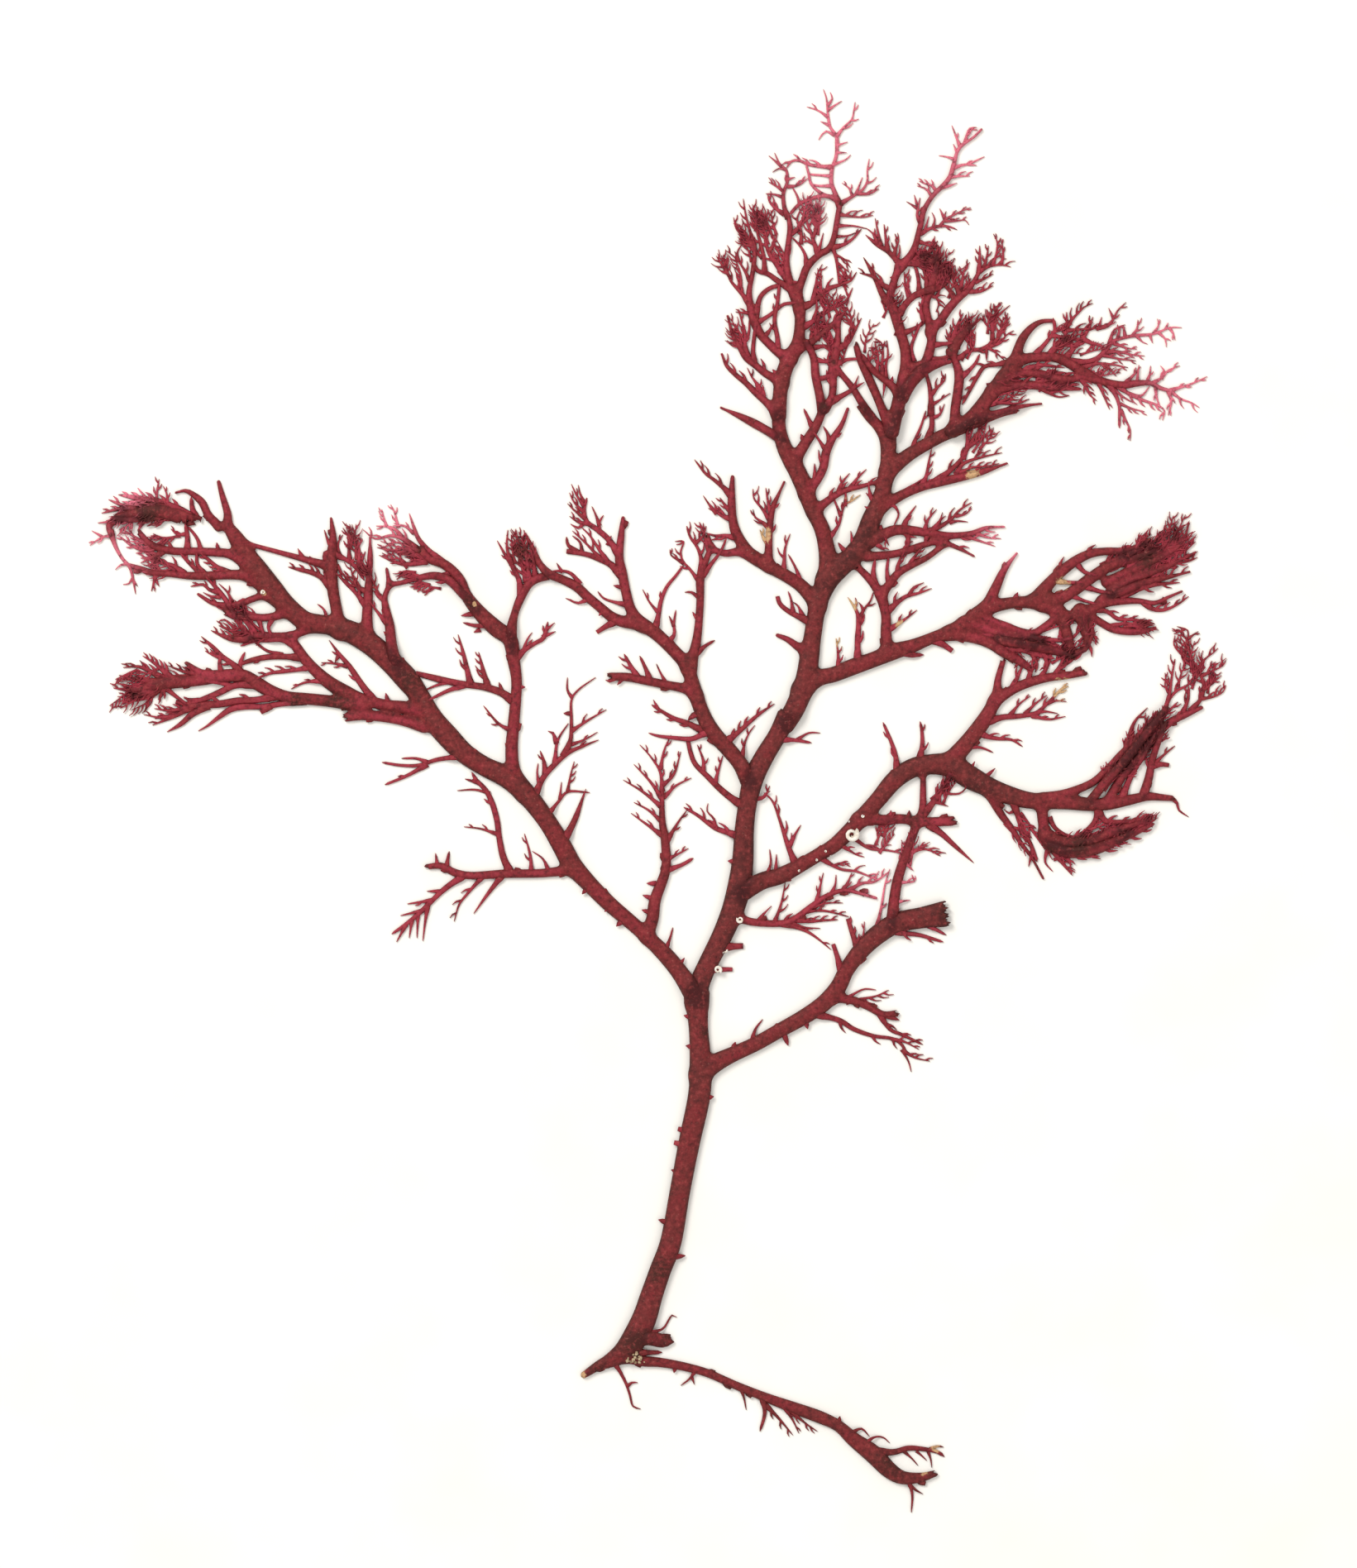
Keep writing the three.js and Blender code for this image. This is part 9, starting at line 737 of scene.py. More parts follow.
# Left limb from the main fork to its outer tip, and the inner branch near its root.
LEFT = [
    [2.3, 0.9, [], [4.0, -20.2], [2.4, -17.8, 1.8], [0.9, -15.9, 1.7], [-1.2, -13.8, 1.5], [-3, -12.2, 1.5],
     [-5, -10.5, 1.6], [-7, -8.5, 1.7], [-8.8, -6.5, 2.0], [-9.9, -4.5, 2.0], [-11.4, -2, 1.9],
     [-13.4, 0.6, 2.1], [-15.4, 2.4, 2.2], [-17.8, 3.6, 2.0], [-19.8, 4.9, 2.1], [-21.5, 6.6, 2.3],
     [-23.2, 8.6, 2.2], [-24.6, 11, 2.1], [-25.7, 12.5, 2.4], [-27.4, 14.3, 2.3], [-29.3, 16, 2.3],
     [-31.4, 17.3, 2.3], [-33.6, 18.0, 2.0], [-36, 18.4, 2.0], [-38, 20.0, 2.0], [-39.7, 21.9, 2.3],
     [-41.2, 23.8, 2.3], [-42.3, 25.4, 1.9], [-43.2, 26.9, 1.6], [-44.0, 28.2, 1.1], [-44.1, 29.5, 0.8],
     [-44.6, 31.2, 0.6], [-45.0, 32.7, 0.4]],
    [0.5, 0.3, [], [-7.2, -8.8], [-7.8, -9.5]],
    [0.5, 0.3, [], [-4.8, -10.6], [-5.5, -11.3]],
    [0.7, 0.4, [], [-3.4, -11.9], [-4.3, -12.8]],
    [0.5, 0.3, [], [1.8, -17.2], [2.7, -16.0]],
    [0.5, 0.2, [], [0.6, -15.6], [1.2, -14.0], [1.5, -12.9]],
    [1.1, 0.5, [], [-9.0, -7.0], [-12, -7.35, 0.9], [-15.5, -7.4, 0.9], [-19, -7.6, 0.8],
     [-20.8, -7.3, 0.8],
     [-22.2, -6.6, 0.7], [-23.7, -6.7]],
    [0.5, 0.3, [], [-21.7, -6.8], [-21.4, -5.1]],
    [0.4, 0.2, [], [-22.6, -6.6], [-22.8, -5.3]],
    [0.8, 0.3, [], [-19.8, -7.5], [-21.8, -8.9, 0.7], [-23.2, -10.2, 0.6], [-24.2, -11.2, 0.6],
     [-25.6, -12.4, 0.5],
     [-27.3, -13.6]],
    [0.4, 0.15, [], [-22.2, -9.2], [-23.7, -9.2]],
    [0.45, 0.15, ["L", 1, 0.5], [-23.0, -10.1], [-25.7, -10.5]],
    [0.35, 0.15, [], [-24.3, -11.2], [-26.4, -11.7]],
    [0.5, 0.12, [], [-23.6, -10.6], [-23.9, -12.6], [-24.1, -14.3]],
    [0.4, 0.12, [], [-24.6, -11.6], [-24.7, -14.0]],
    [0.4, 0.12, [], [-25.2, -12.1], [-25.5, -14.0]],
    [0.4, 0.15, [], [-25.8, -12.6], [-26.8, -14.4]],
    [0.7, 0.12, [], [-16.0, -7.6], [-17.4, -9.4], [-18.9, -11.5]],
    [0.55, 0.12, ["R", 3, 0.8], [-18.0, -7.7], [-19.5, -9.4], [-20.4, -10.6], [-20.9, -12.3]],
    [0.9, 0.5, ["L", 1, 0.5], [-15.2, -7.2], [-15.9, -5.6, 0.8], [-16.3, -3.6, 0.7], [-16.5, -2, 0.7],
     [-17, -0.2, 0.7],
     [-17.7, 1.2, 0.6], [-18.9, 2.4]],
    [0.4, 0.12, ["R", 2, 0.5], [-16.3, -3.4], [-18.2, -2.8], [-19.9, -2.6]],
    [0.4, 0.12, [], [-17.2, 0.8], [-18.8, 1.2], [-20.6, 1.1]],
    [0.4, 0.2, [], [-18.4, 1.9], [-19.8, 2.3]],
    [0.4, 0.2, [], [-18.6, 2.1], [-19.1, 3.0]],
    [0.45, 0.12, ["L", 2, 0.6], [-13.0, -7.2], [-13.1, -5.6], [-13.7, -3.3]],
    [0.4, 0.12, [], [-11.2, -7.2], [-11.8, -5.9], [-12.9, -5.1]],
    [1.3, 0.4, [], [-1.2, -13.9], [-0.6, -12.0, 1.3], [-0.3, -10, 1.2], [0.75, -7, 1.0], [0.7, -4, 0.9],
     [0.4, -2, 0.7], [0.4, 1.0]],
    [0.5, 0.3, [], [-0.2, -8.4], [-1.2, -8.4]],
    [0.5, 0.3, [], [-0.4, -10.0], [-1.6, -9.6]],
    [0.5, 0.3, [], [-0.7, -11.4], [-1.7, -11.1]],
    [0.6, 0.4, [], [0.7, -7.1], [2.4, -6.5], [3.6, -5.8]],
    [0.4, 0.15, ["L", 2, 0.5], [0.8, -6.0], [2.2, -5.3], [3.1, -4.8]],
    [0.6, 0.12, ["R", 2, 0.6], [0.6, -3.6], [-1.4, -2.2], [-2.8, -1.2]],
    [0.6, 0.12, ["R", 2, 0.5], [0.8, -4.2], [2.0, -2.2], [3.0, -0.8]],
    [0.5, 0.12, ["R", 2, 0.5], [0.5, -2.2], [-1, -0.9], [-2.5, -0.1]],
    [0.55, 0.12, ["R", 3, 0.7], [0.4, -0.6], [-1.6, 1.0], [-3.6, 2.2]],
    [0.5, 0.12, ["R", 3, 0.7], [0.4, 0.2], [-0.8, 2.0], [-2.5, 3.8]],
    [0.5, 0.12, ["R", 3, 0.7], [0.4, 1.0], [0.2, 3.0], [-0.8, 4.6], [-1.9, 5.8]],
    [0.45, 0.12, ["R", 2, 0.6], [0.2, 3.2], [0.6, 5.2], [1.3, 6.8]],
    [0.45, 0.12, ["L", 3, 0.6], [0.4, 1.6], [1.6, 2.8], [2.3, 5.1]],
    [0.4, 0.15, ["L", 2, 0.5], [0.6, 0.4], [1.8, 1.6], [3.4, 2.4]],
    [1.6, 0.9, [], [-13.8, 0.8], [-14.8, 3.2, 1.4], [-15.0, 5.4, 1.3], [-14.8, 8, 1.2], [-14.5, 12, 1.1],
     [-14.8, 14.4, 1.3], [-15.2, 16.6, 1.6], [-16.6, 17.7, 1.7], [-18.2, 19.2, 1.5], [-19.6, 21, 1.2],
     [-20.4, 22.8, 1.1], [-21.8, 24.2, 1.0], [-23.4, 24.8, 0.9], [-24.4, 25.8]],
    [0.45, 0.15, ["L", 2, 0.5], [-14.9, 7.2], [-16.4, 8.0], [-17.9, 9.8]],
    [0.9, 0.6, [], [-14.8, 10.2], [-16.0, 11.1, 0.9], [-17.8, 11.7, 0.8], [-20, 12, 0.8],
     [-22, 12.4, 0.8], [-24.8, 13.1]],
    [0.8, 0.12, ["L", 3, 0.8], [-19.2, 11.9], [-19.6, 13.6, 0.6], [-20.0, 15.3, 0.4], [-20.5, 17.1]],
    [0.7, 0.12, ["L", 4, 0.7], [-17.4, 11.6], [-17.9, 13.3, 0.5], [-18.4, 15.3]],
    [0.5, 0.3, [], [-16.0, 11.2], [-16.3, 12.2]],
    [0.6, 0.3, [], [-19.8, 11.9], [-21.6, 11.3], [-23.6, 10.3]],
    [0.45, 0.2, [], [-21.6, 12.2], [-22.9, 11.8], [-24.0, 11.3]],
    [0.4, 0.3, [], [-14.5, 11.7], [-13.6, 11.7]],
    [0.8, 0.2, ["L", 2, 0.5], [-14.7, 14.4], [-13.8, 15.4, 0.6], [-12.6, 16.2, 0.5], [-11.7, 16.8, 0.6],
     [-11.3, 18.4]],
    [0.4, 0.12, [], [-13.8, 15.4], [-13.4, 16.6], [-12.9, 17.3]],
    [0.4, 0.15, [], [-11.9, 16.8], [-10.5, 17.4]],
    [0.3, 0.12, [], [-11.4, 17.6], [-10.6, 18.3]],
    [1.2, 0.8, [], [-15.0, 15.6], [-15.0, 17.6, 1.1], [-14.7, 19.2, 0.8], [-14.1, 20.8, 0.9],
     [-13.3, 22.2, 0.9],
     [-12.4, 22.8, 0.9], [-11.2, 23.1]],
    [0.5, 0.4, [], [-15.0, 17.2], [-15.3, 18.4]],
    [0.7, 0.12, ["L", 2, 0.5], [-14.1, 20.6], [-14.2, 22.4, 0.6], [-14.8, 23.8, 0.6], [-15.6, 25.1],
     [-16.5, 26.7]],
    [0.5, 0.12, [], [-15.0, 24.2], [-15.5, 26], [-15.4, 27.8]],
    [0.6, 0.3, ["A", 7, 0.9], [-13.5, 22.4], [-14.0, 24.4], [-14.6, 26.2]],
    [0.6, 0.3, ["A", 7, 0.9], [-13.2, 22.4], [-13.4, 24.4], [-13.9, 26.4]],
    [0.6, 0.2, ["A", 6, 0.8], [-12.6, 23.0], [-12.8, 24.8], [-13.2, 26.2]],
    [1.1, 0.5, ["L", 2, 0.6], [-18.4, 19.6], [-20, 21.2, 0.9], [-21.4, 22.6, 0.9], [-23, 23.1, 0.8],
     [-24.8, 22.8, 0.6],
     [-26.2, 22.4, 0.5], [-27.4, 22.2]],
    [0.5, 0.3, [], [-17.8, 18.0], [-18.8, 18.0], [-20.0, 18.3]],
    [0.5, 0.3, [], [-19.0, 19.2], [-20.2, 19.0]],
    [0.5, 0.3, [], [-18.2, 17.6], [-18.9, 17.3]],
    [0.5, 0.4, [], [-21.0, 23.6], [-21.8, 23.2], [-22.8, 23.2]],
    [0.7, 0.12, [], [-21.8, 24.3], [-23.4, 25.6, 0.6], [-24.5, 26.8, 0.6], [-25.0, 28.0, 0.4],
     [-25.5, 29.5]],
    [0.45, 0.15, [], [-24.9, 22.8], [-25.8, 23.4], [-26.8, 22.7]],
    [0.35, 0.12, ["L", 2, 0.5], [-24.8, 23.4], [-25.8, 23.6], [-26.6, 23.4]],
    [0.7, 0.12, ["R", 4, 0.8], [-23.6, 24.6], [-25.2, 24.3, 0.6], [-26.6, 24.4], [-28.6, 25.2]],
    [0.7, 0.12, ["R", 4, 0.8], [-23.8, 25.0], [-25.4, 25.3, 0.6], [-27, 25.6], [-28.8, 26.0]],
    [0.6, 0.12, ["R", 3, 0.7], [-24.0, 25.4], [-25.6, 26.1], [-26.6, 26.5], [-27.7, 26.4]],
    [0.6, 0.12, ["R", 4, 0.8], [-24.6, 25.8], [-26, 26.8], [-27.4, 27.2], [-29, 26.9], [-30.2, 27.8]],
    [0.45, 0.12, ["L", 2, 0.5], [-26.2, 27.0], [-27.2, 28.0], [-28.9, 28.2]],
    [0.35, 0.12, ["A", 3, 0.6], [-26.6, 28.0], [-26.8, 28.8], [-27, 29.6], [-27.4, 30.4]],
    [0.3, 0.12, ["L", 3, 0.6], [-27.8, 28.1], [-28.1, 29.0], [-28.3, 29.9]],
    [0.35, 0.2, ["R", 2, 0.5], [-25.0, 27.4], [-26.0, 28.2], [-27.2, 28.2]],
    [0.8, 0.12, ["L", 3, 0.6], [-12.8, 0.2], [-11.8, 2.4, 0.7], [-10.6, 3.8, 0.7], [-9.2, 5, 0.6],
     [-7.6, 5.7, 0.4],
     [-6.1, 6.3]],
    [0.6, 0.12, [], [-9.8, 4.6], [-9.0, 6.2], [-8.9, 8.4], [-8.9, 10.3], [-8.2, 11.4], [-6.4, 12.7]],
    [0.35, 0.12, [], [-8.8, 10.6], [-9.3, 11.4], [-9.3, 12.7]],
    [0.45, 0.12, ["L", 2, 0.7], [-8.9, 7.2], [-7.2, 8.3], [-5.3, 9.4]],
    [0.35, 0.12, ["L", 1, 0.4], [-8.9, 5.8], [-7.4, 6.4], [-6.2, 7.1]],
    [0.5, 0.15, [], [-10.6, 3.9], [-10.3, 6.2], [-9.2, 8.0]],
    [0.5, 0.3, [], [-10.4, 5.9], [-10.8, 7.0], [-11.3, 7.2]],
    [0.4, 0.3, [], [-9.0, 9.0], [-9.7, 9.0]],
    [0.5, 0.2, ["L", 1, 0.5], [-11.6, 2.7], [-11.7, 4], [-12.1, 5.2]],
    [0.35, 0.15, [], [-12.2, 1.6], [-12.4, 2.9], [-12.3, 3.9]],
    [0.5, 0.2, [], [-11.6, -1.8], [-10.2, 0], [-9.2, 1], [-7.0, 0.9]],
    [0.3, 0.12, [], [-10.1, 0.2], [-9.9, 2.0]],
    [0.35, 0.12, ["R", 3, 0.6], [-9.3, 0.9], [-9, 2.6], [-8.6, 4.1]],
    [0.9, 0.12, [], [-9.8, -4.2], [-8.6, -2.0, 0.7], [-7.4, 1.3]],
    [0.7, 0.3, [], [-19.4, 4.7], [-22.5, 4.3], [-24.5, 3.7], [-26.4, 3.7], [-28.3, 4.0]],
    [0.55, 0.3, ["R", 1, 0.4], [-23.6, 3.8], [-25.8, 2.6], [-28.0, 1.7]],
    [0.4, 0.2, [], [-23.6, 4.0], [-24.8, 4.4], [-26.3, 4.4]],
]
# Right plume of the crown and the tufts round it.
TOP_RIGHT = [
    [1.0, 0.5, [], [23.6, 38.2], [22.6, 40.9, 0.9], [21.6, 43.2, 0.9], [20.7, 45.2, 0.8], [20.2, 46.8]],
    [1.5, 1.0, [], [23.9, 37.8], [24.4, 40, 1.4], [24.9, 42, 1.5], [25.3, 44, 1.3], [25.3, 46, 1.1],
     [24.8, 48, 1.1], [24.2, 50, 1.1], [23.7, 51.4, 0.9], [24.0, 52.8, 0.8], [24.4, 54, 0.8], [24.9, 55.0]],
    [1.0, 0.12, [], [24.8, 54.8], [25.7, 55.7, 0.8], [26.3, 56.8, 0.7], [26.6, 58, 0.6], [26.9, 59.2, 0.6],
     [27.1, 60.3, 0.6], [27.5, 61.1, 0.5], [28.1, 62, 0.5], [28.8, 62.7, 0.5], [29.4, 63.3, 0.5],
     [29.9, 64, 0.5], [30.2, 65, 0.5], [30.4, 65.8, 0.4], [30.6, 66.5, 0.35], [31, 67.1, 0.4],
     [31.7, 67.6, 0.3], [32.3, 68.0], [33.1, 68.8]],
    [0.4, 0.15, ["R", 1, 0.4], [26.8, 59.2], [26.5, 60], [26.6, 60.8], [26.8, 61.8]],
    [0.3, 0.12, [], [26.5, 60.7], [25.9, 61.1], [25.4, 61.4]],
    [0.25, 0.12, [], [26.5, 61.0], [26.2, 62.1]],
    [0.35, 0.12, ["R", 2, 0.5], [28.0, 61.9], [27.6, 62.5], [27.2, 62.8], [26.5, 63.0]],
    [0.35, 0.12, ["R", 3, 0.5], [28.5, 62.4], [28, 63.0], [27.4, 63.2], [26.7, 63.5]],
    [0.5, 0.15, ["R", 2, 0.4], [26.8, 58.1], [28, 58.7, 0.4], [29, 58.9, 0.4], [29.9, 58.8], [30.6, 58.5]],
    [0.35, 0.12, ["A", 6, 0.5], [28.8, 58.8], [29.4, 59.6], [30.2, 60], [31, 60.4], [32.0, 60.8]],
    [0.3, 0.12, ["L", 2, 0.4], [29.3, 59.4], [30.4, 59.4], [31.4, 59.5], [31.8, 59.0]],
    [0.3, 0.12, [], [27.3, 58.4], [27.7, 59.9]],
    [0.3, 0.12, [], [28.1, 58.7], [28.3, 59.6], [28, 60.3]],
    [0.3, 0.12, [], [29.3, 59.6], [28.8, 60.7]],
    [0.35, 0.12, [], [29.0, 62.8], [29.8, 63], [30.6, 63.3]],
    [0.35, 0.12, ["L", 2, 0.7], [29.9, 63.9], [31, 64], [31.9, 64]],
    [0.35, 0.12, ["L", 1, 0.4], [30.2, 64.8], [31, 65.1], [31.9, 65.3], [33.4, 66.0]],
    [0.25, 0.12, [], [31.7, 65.2], [32.6, 65.1]],
    [0.3, 0.12, [], [30.4, 65.7], [29.4, 66], [28.7, 66.1]],
    [0.25, 0.12, [], [30.6, 66.3], [30.2, 67.3]],
    [0.35, 0.12, ["R", 1, 0.4], [30.9, 67.0], [30.5, 68], [30.05, 69.2]],
    [0.35, 0.12, ["R", 3, 0.5], [31.4, 67.4], [31.6, 68.3], [31.9, 68.9], [32.6, 69.0]],
    [0.9, 0.12, ["R", 2, 0.6], [24.0, 50.4], [23.0, 51.8, 0.8], [22.3, 53.3, 0.6], [21.7, 54.5, 0.5],
     [21.0, 55.7]],
    [0.6, 0.12, ["R", 3, 0.8], [23.9, 52.3], [22.8, 53, 0.5], [22, 53.7, 0.4], [20.6, 54.1]],
    [0.5, 0.3, [], [24.3, 53.6], [23.7, 53.6]],
    [0.7, 0.12, [], [24.9, 54.8], [24, 55.8, 0.6], [23.4, 56.4, 0.6], [22.4, 57, 0.5], [21.2, 58.0]],
    [0.5, 0.12, ["R", 2, 0.5], [23.5, 56.3], [23.3, 57.6], [23.1, 59.1]],
    [0.45, 0.12, ["A", 2, 0.4], [22.8, 56.8], [22.5, 58.2], [22.2, 59.7]],
    [0.4, 0.12, ["R", 1, 0.5], [22.5, 57.0], [21.9, 58.2], [21.2, 58.7]],
    [0.45, 0.12, ["L", 3, 0.6], [24.1, 55.6], [24.3, 56.6], [24.6, 57.4], [24.5, 58.2]],
    [0.35, 0.12, [], [24.4, 55.3], [24.7, 56.2], [24.7, 57.0]],
    [0.9, 0.6, [], [24.6, 49.8], [25.4, 51.0, 0.8], [26.3, 51.8, 0.8], [27.4, 52.2, 0.9], [28.6, 52.6, 0.9],
     [29.4, 53.2, 0.8], [30.0, 54.2]],
    [0.4, 0.15, ["R", 3, 0.8], [25.7, 51.4], [25.3, 52.6], [25.2, 54.2]],
    [0.4, 0.15, ["L", 2, 0.6], [25.9, 51.6], [25.5, 52.8], [25.7, 54.0]],
    [0.5, 0.4, [], [26.7, 52.0], [26.6, 53.6], [26.2, 55.1]],
    [0.5, 0.4, ["L", 2, 0.6], [27.5, 52.2], [27.4, 53.6], [27.0, 55.0]],
    [1.0, 0.2, ["A", 8, 0.9], [27.8, 52.2], [28.2, 53.6, 0.9], [28.5, 55, 0.8], [28.6, 56.9]],
    [0.9, 0.2, ["A", 6, 0.8], [28.6, 52.6], [29.2, 54.0, 0.8], [29.8, 55.3]],
    [0.8, 0.2, ["L", 6, 0.9], [25.4, 55.2], [26.8, 55.0, 0.8], [28, 55.2, 0.8], [29.2, 56.2]],
    [0.6, 0.2, ["L", 5, 0.8], [26.0, 55.3], [27.0, 55.9, 0.6], [28.0, 56.4], [28.6, 57.4]],
    [0.45, 0.15, ["L", 3, 0.6], [26.6, 57.3], [27.5, 57.0], [28.2, 56.4]],
    [0.45, 0.3, [], [26.3, 56.2], [27.4, 55.9]],
    [1.0, 0.6, [], [25.2, 43.4], [26.4, 44.4, 1.1], [27.3, 44.8, 1.1], [27.8, 46.2, 1.0], [28.0, 47.6, 0.9],
     [27.7, 49.0, 0.8], [27.4, 50.6, 0.8], [27.7, 52.2]],
    [1.5, 0.6, [], [24.9, 41.4], [25.9, 42.9, 1.3], [27.2, 44.2, 1.3], [28.6, 44.8, 0.9], [29.8, 45.1]],
    [1.0, 0.4, [], [27.8, 48.0], [28.8, 49.1, 0.9], [29.7, 50.4, 0.9], [30.7, 51.5, 0.8], [31.7, 52.3, 0.6],
     [32.3, 53.2, 0.5], [32.9, 54.3]],
    [0.4, 0.3, [], [29.6, 50.0], [29.3, 50.3]],
    [0.5, 0.12, ["L", 2, 0.5], [32.8, 54.0], [32.9, 55.4, 0.4], [32.9, 56.9]],
    [0.45, 0.12, ["L", 3, 1.0], [32.8, 54.2], [34, 54.8, 0.35], [35.2, 54.9], [36.1, 54.7]],
    [0.4, 0.12, ["A", 3, 0.6], [33.3, 54.5], [33.6, 55.6], [33.8, 56.9]],
    [0.4, 0.12, ["R", 5, 0.5], [34.2, 54.8], [34.6, 56], [34.7, 57.2], [34.3, 58.1]],
    [0.3, 0.12, ["A", 4, 0.4], [35.1, 54.9], [35.3, 56.0], [35.1, 57.6]],
    [0.6, 0.4, [], [30.4, 51.2], [29.9, 52.2], [29.2, 52.9]],
    [0.6, 0.12, ["A", 3, 0.6], [30.9, 51.6], [30.6, 52.6], [30.2, 53.7], [30.1, 55.2]],
    [0.5, 0.12, ["A", 5, 0.7], [30.8, 52.0], [31.1, 53.2], [31.3, 54.3], [31.9, 55.2]],
    [0.4, 0.12, ["L", 3, 0.6], [31.0, 52.2], [31.7, 52.8], [32.0, 53.6]],
    [0.5, 0.12, ["L", 3, 0.7], [31.8, 52.2], [33, 52.2], [34.3, 52.8]],
    [0.4, 0.12, ["L", 2, 0.6], [32.4, 53.1], [33.4, 53.5], [34.3, 54.0]],
    [0.4, 0.12, ["L", 4, 0.8], [27.7, 51.8], [28.5, 51.5], [28.7, 50.8], [28.4, 50.1]],
    [0.6, 0.4, [], [24.9, 47.8], [26.2, 48.4], [27.3, 49.0]],
    [0.5, 0.3, ["L", 3, 0.6], [26.2, 45.0], [25.9, 46.4], [26.4, 47.9], [27.0, 49.2]],
    [0.5, 0.3, ["L", 3, 0.5], [27.3, 49.0], [26.9, 50.2], [27.2, 51.8]],
    [1.0, 0.5, [], [24.9, 41.2], [23.8, 42.6, 0.8], [22.8, 43.4, 0.7], [22, 44.1, 0.7], [20.9, 45.5]],
    [0.5, 0.12, ["A", 5, 0.6], [22.9, 43.4], [22.9, 44.8], [23, 46], [22.8, 47], [22.1, 47.4]],
    [0.45, 0.12, ["A", 3, 0.5], [23.3, 43.2], [23.3, 44.6], [23.5, 45.7], [23.4, 47.2]],
    [0.45, 0.12, ["L", 3, 0.6], [22.3, 43.9], [22.5, 45.3], [22.3, 46.4], [21.5, 46.4]],
    [0.4, 0.12, [], [21.6, 44.5], [21.5, 45.9]],
    [0.35, 0.12, [], [23.2, 43.0], [23.0, 41.3]],
    [0.4, 0.3, [], [23.8, 42.7], [24.0, 43.5]],
    [0.7, 0.4, [], [27.9, 39.4], [27.9, 41.2, 0.6], [27.7, 42.8], [27.2, 44.2]],
    [0.5, 0.15, ["L", 3, 0.7], [27.9, 41.6], [28.7, 42.5], [29.3, 43.1], [29.4, 43.8]],
    [0.35, 0.12, ["L", 1, 0.4], [27.9, 40.5], [29, 41.2], [29.9, 41.8]],
    [0.4, 0.12, ["L", 1, 0.4], [27.9, 39.2], [28.8, 39.6], [29.3, 40.7]],
    [1.2, 0.6, [], [30.3, 38.0], [30.4, 40.2, 1.0], [30.7, 42.2, 1.0], [30.8, 43.6, 1.0], [30.5, 44.8, 0.8],
     [29.9, 46.2]],
    [0.6, 0.3, [], [30.9, 43.3], [31.8, 44.1], [32.5, 44.9], [32.9, 45.8]],
    [0.6, 0.3, ["R", 2, 0.7], [30.9, 45.2], [31.7, 46.1, 0.5], [33.1, 46.3, 0.5], [34.1, 47],
     [34.2, 48.3], [33.6, 50.4]],
    [0.6, 0.5, [], [30.0, 45.3], [30.8, 45.4], [31.4, 45.9]],
    [1.1, 0.12, ["L", 4, 0.9], [30.0, 45.9], [30.7, 47.2, 1.1], [31.6, 48.3, 0.7], [33.0, 49.4]],
    [0.8, 0.15, ["A", 5, 0.8], [30.1, 46.2], [30.3, 47.8, 0.6], [30.7, 48.9], [31.2, 50.0]],
    [0.6, 0.15, ["A", 3, 0.6], [30.8, 47.2], [31.4, 48.5], [31.8, 49.7]],
    [0.5, 0.12, ["L", 2, 0.5], [29.9, 46.4], [29.8, 47.6], [30.2, 48.7]],
    [0.6, 0.4, [], [27.7, 46.6], [29.0, 46.8], [30.2, 46.9]],
    [0.6, 0.4, [], [28.0, 45.2], [29.2, 45.3], [30.2, 45.9]],
    [0.45, 0.12, ["A", 6, 0.7], [34.2, 47.2], [34.2, 48.6], [34.4, 49.8], [34.9, 51.1]],
    [0.4, 0.12, ["A", 5, 0.6], [34.2, 46.8], [35, 47.7], [35.4, 48.8], [35.8, 50.0]],
    [0.4, 0.12, ["A", 4, 0.6], [33.9, 46.6], [35, 46.9], [35.6, 47.7], [36.4, 48.2]],
    [0.35, 0.12, ["A", 3, 0.5], [33.7, 46.5], [34.6, 45.9], [35.4, 45.2]],
    [0.3, 0.12, [], [34.4, 49.4], [35.2, 50.1], [36.0, 50.8]],
    [0.3, 0.2, [], [33.6, 46.5], [33.6, 45.1]],
    [0.7, 0.3, ["R", 5, 0.6], [36.2, 45.0], [34.6, 44.7, 0.5], [33.4, 44.5, 0.5], [32.6, 43.4, 0.5],
     [31.9, 42.1],
     [31.1, 40.6]],
]
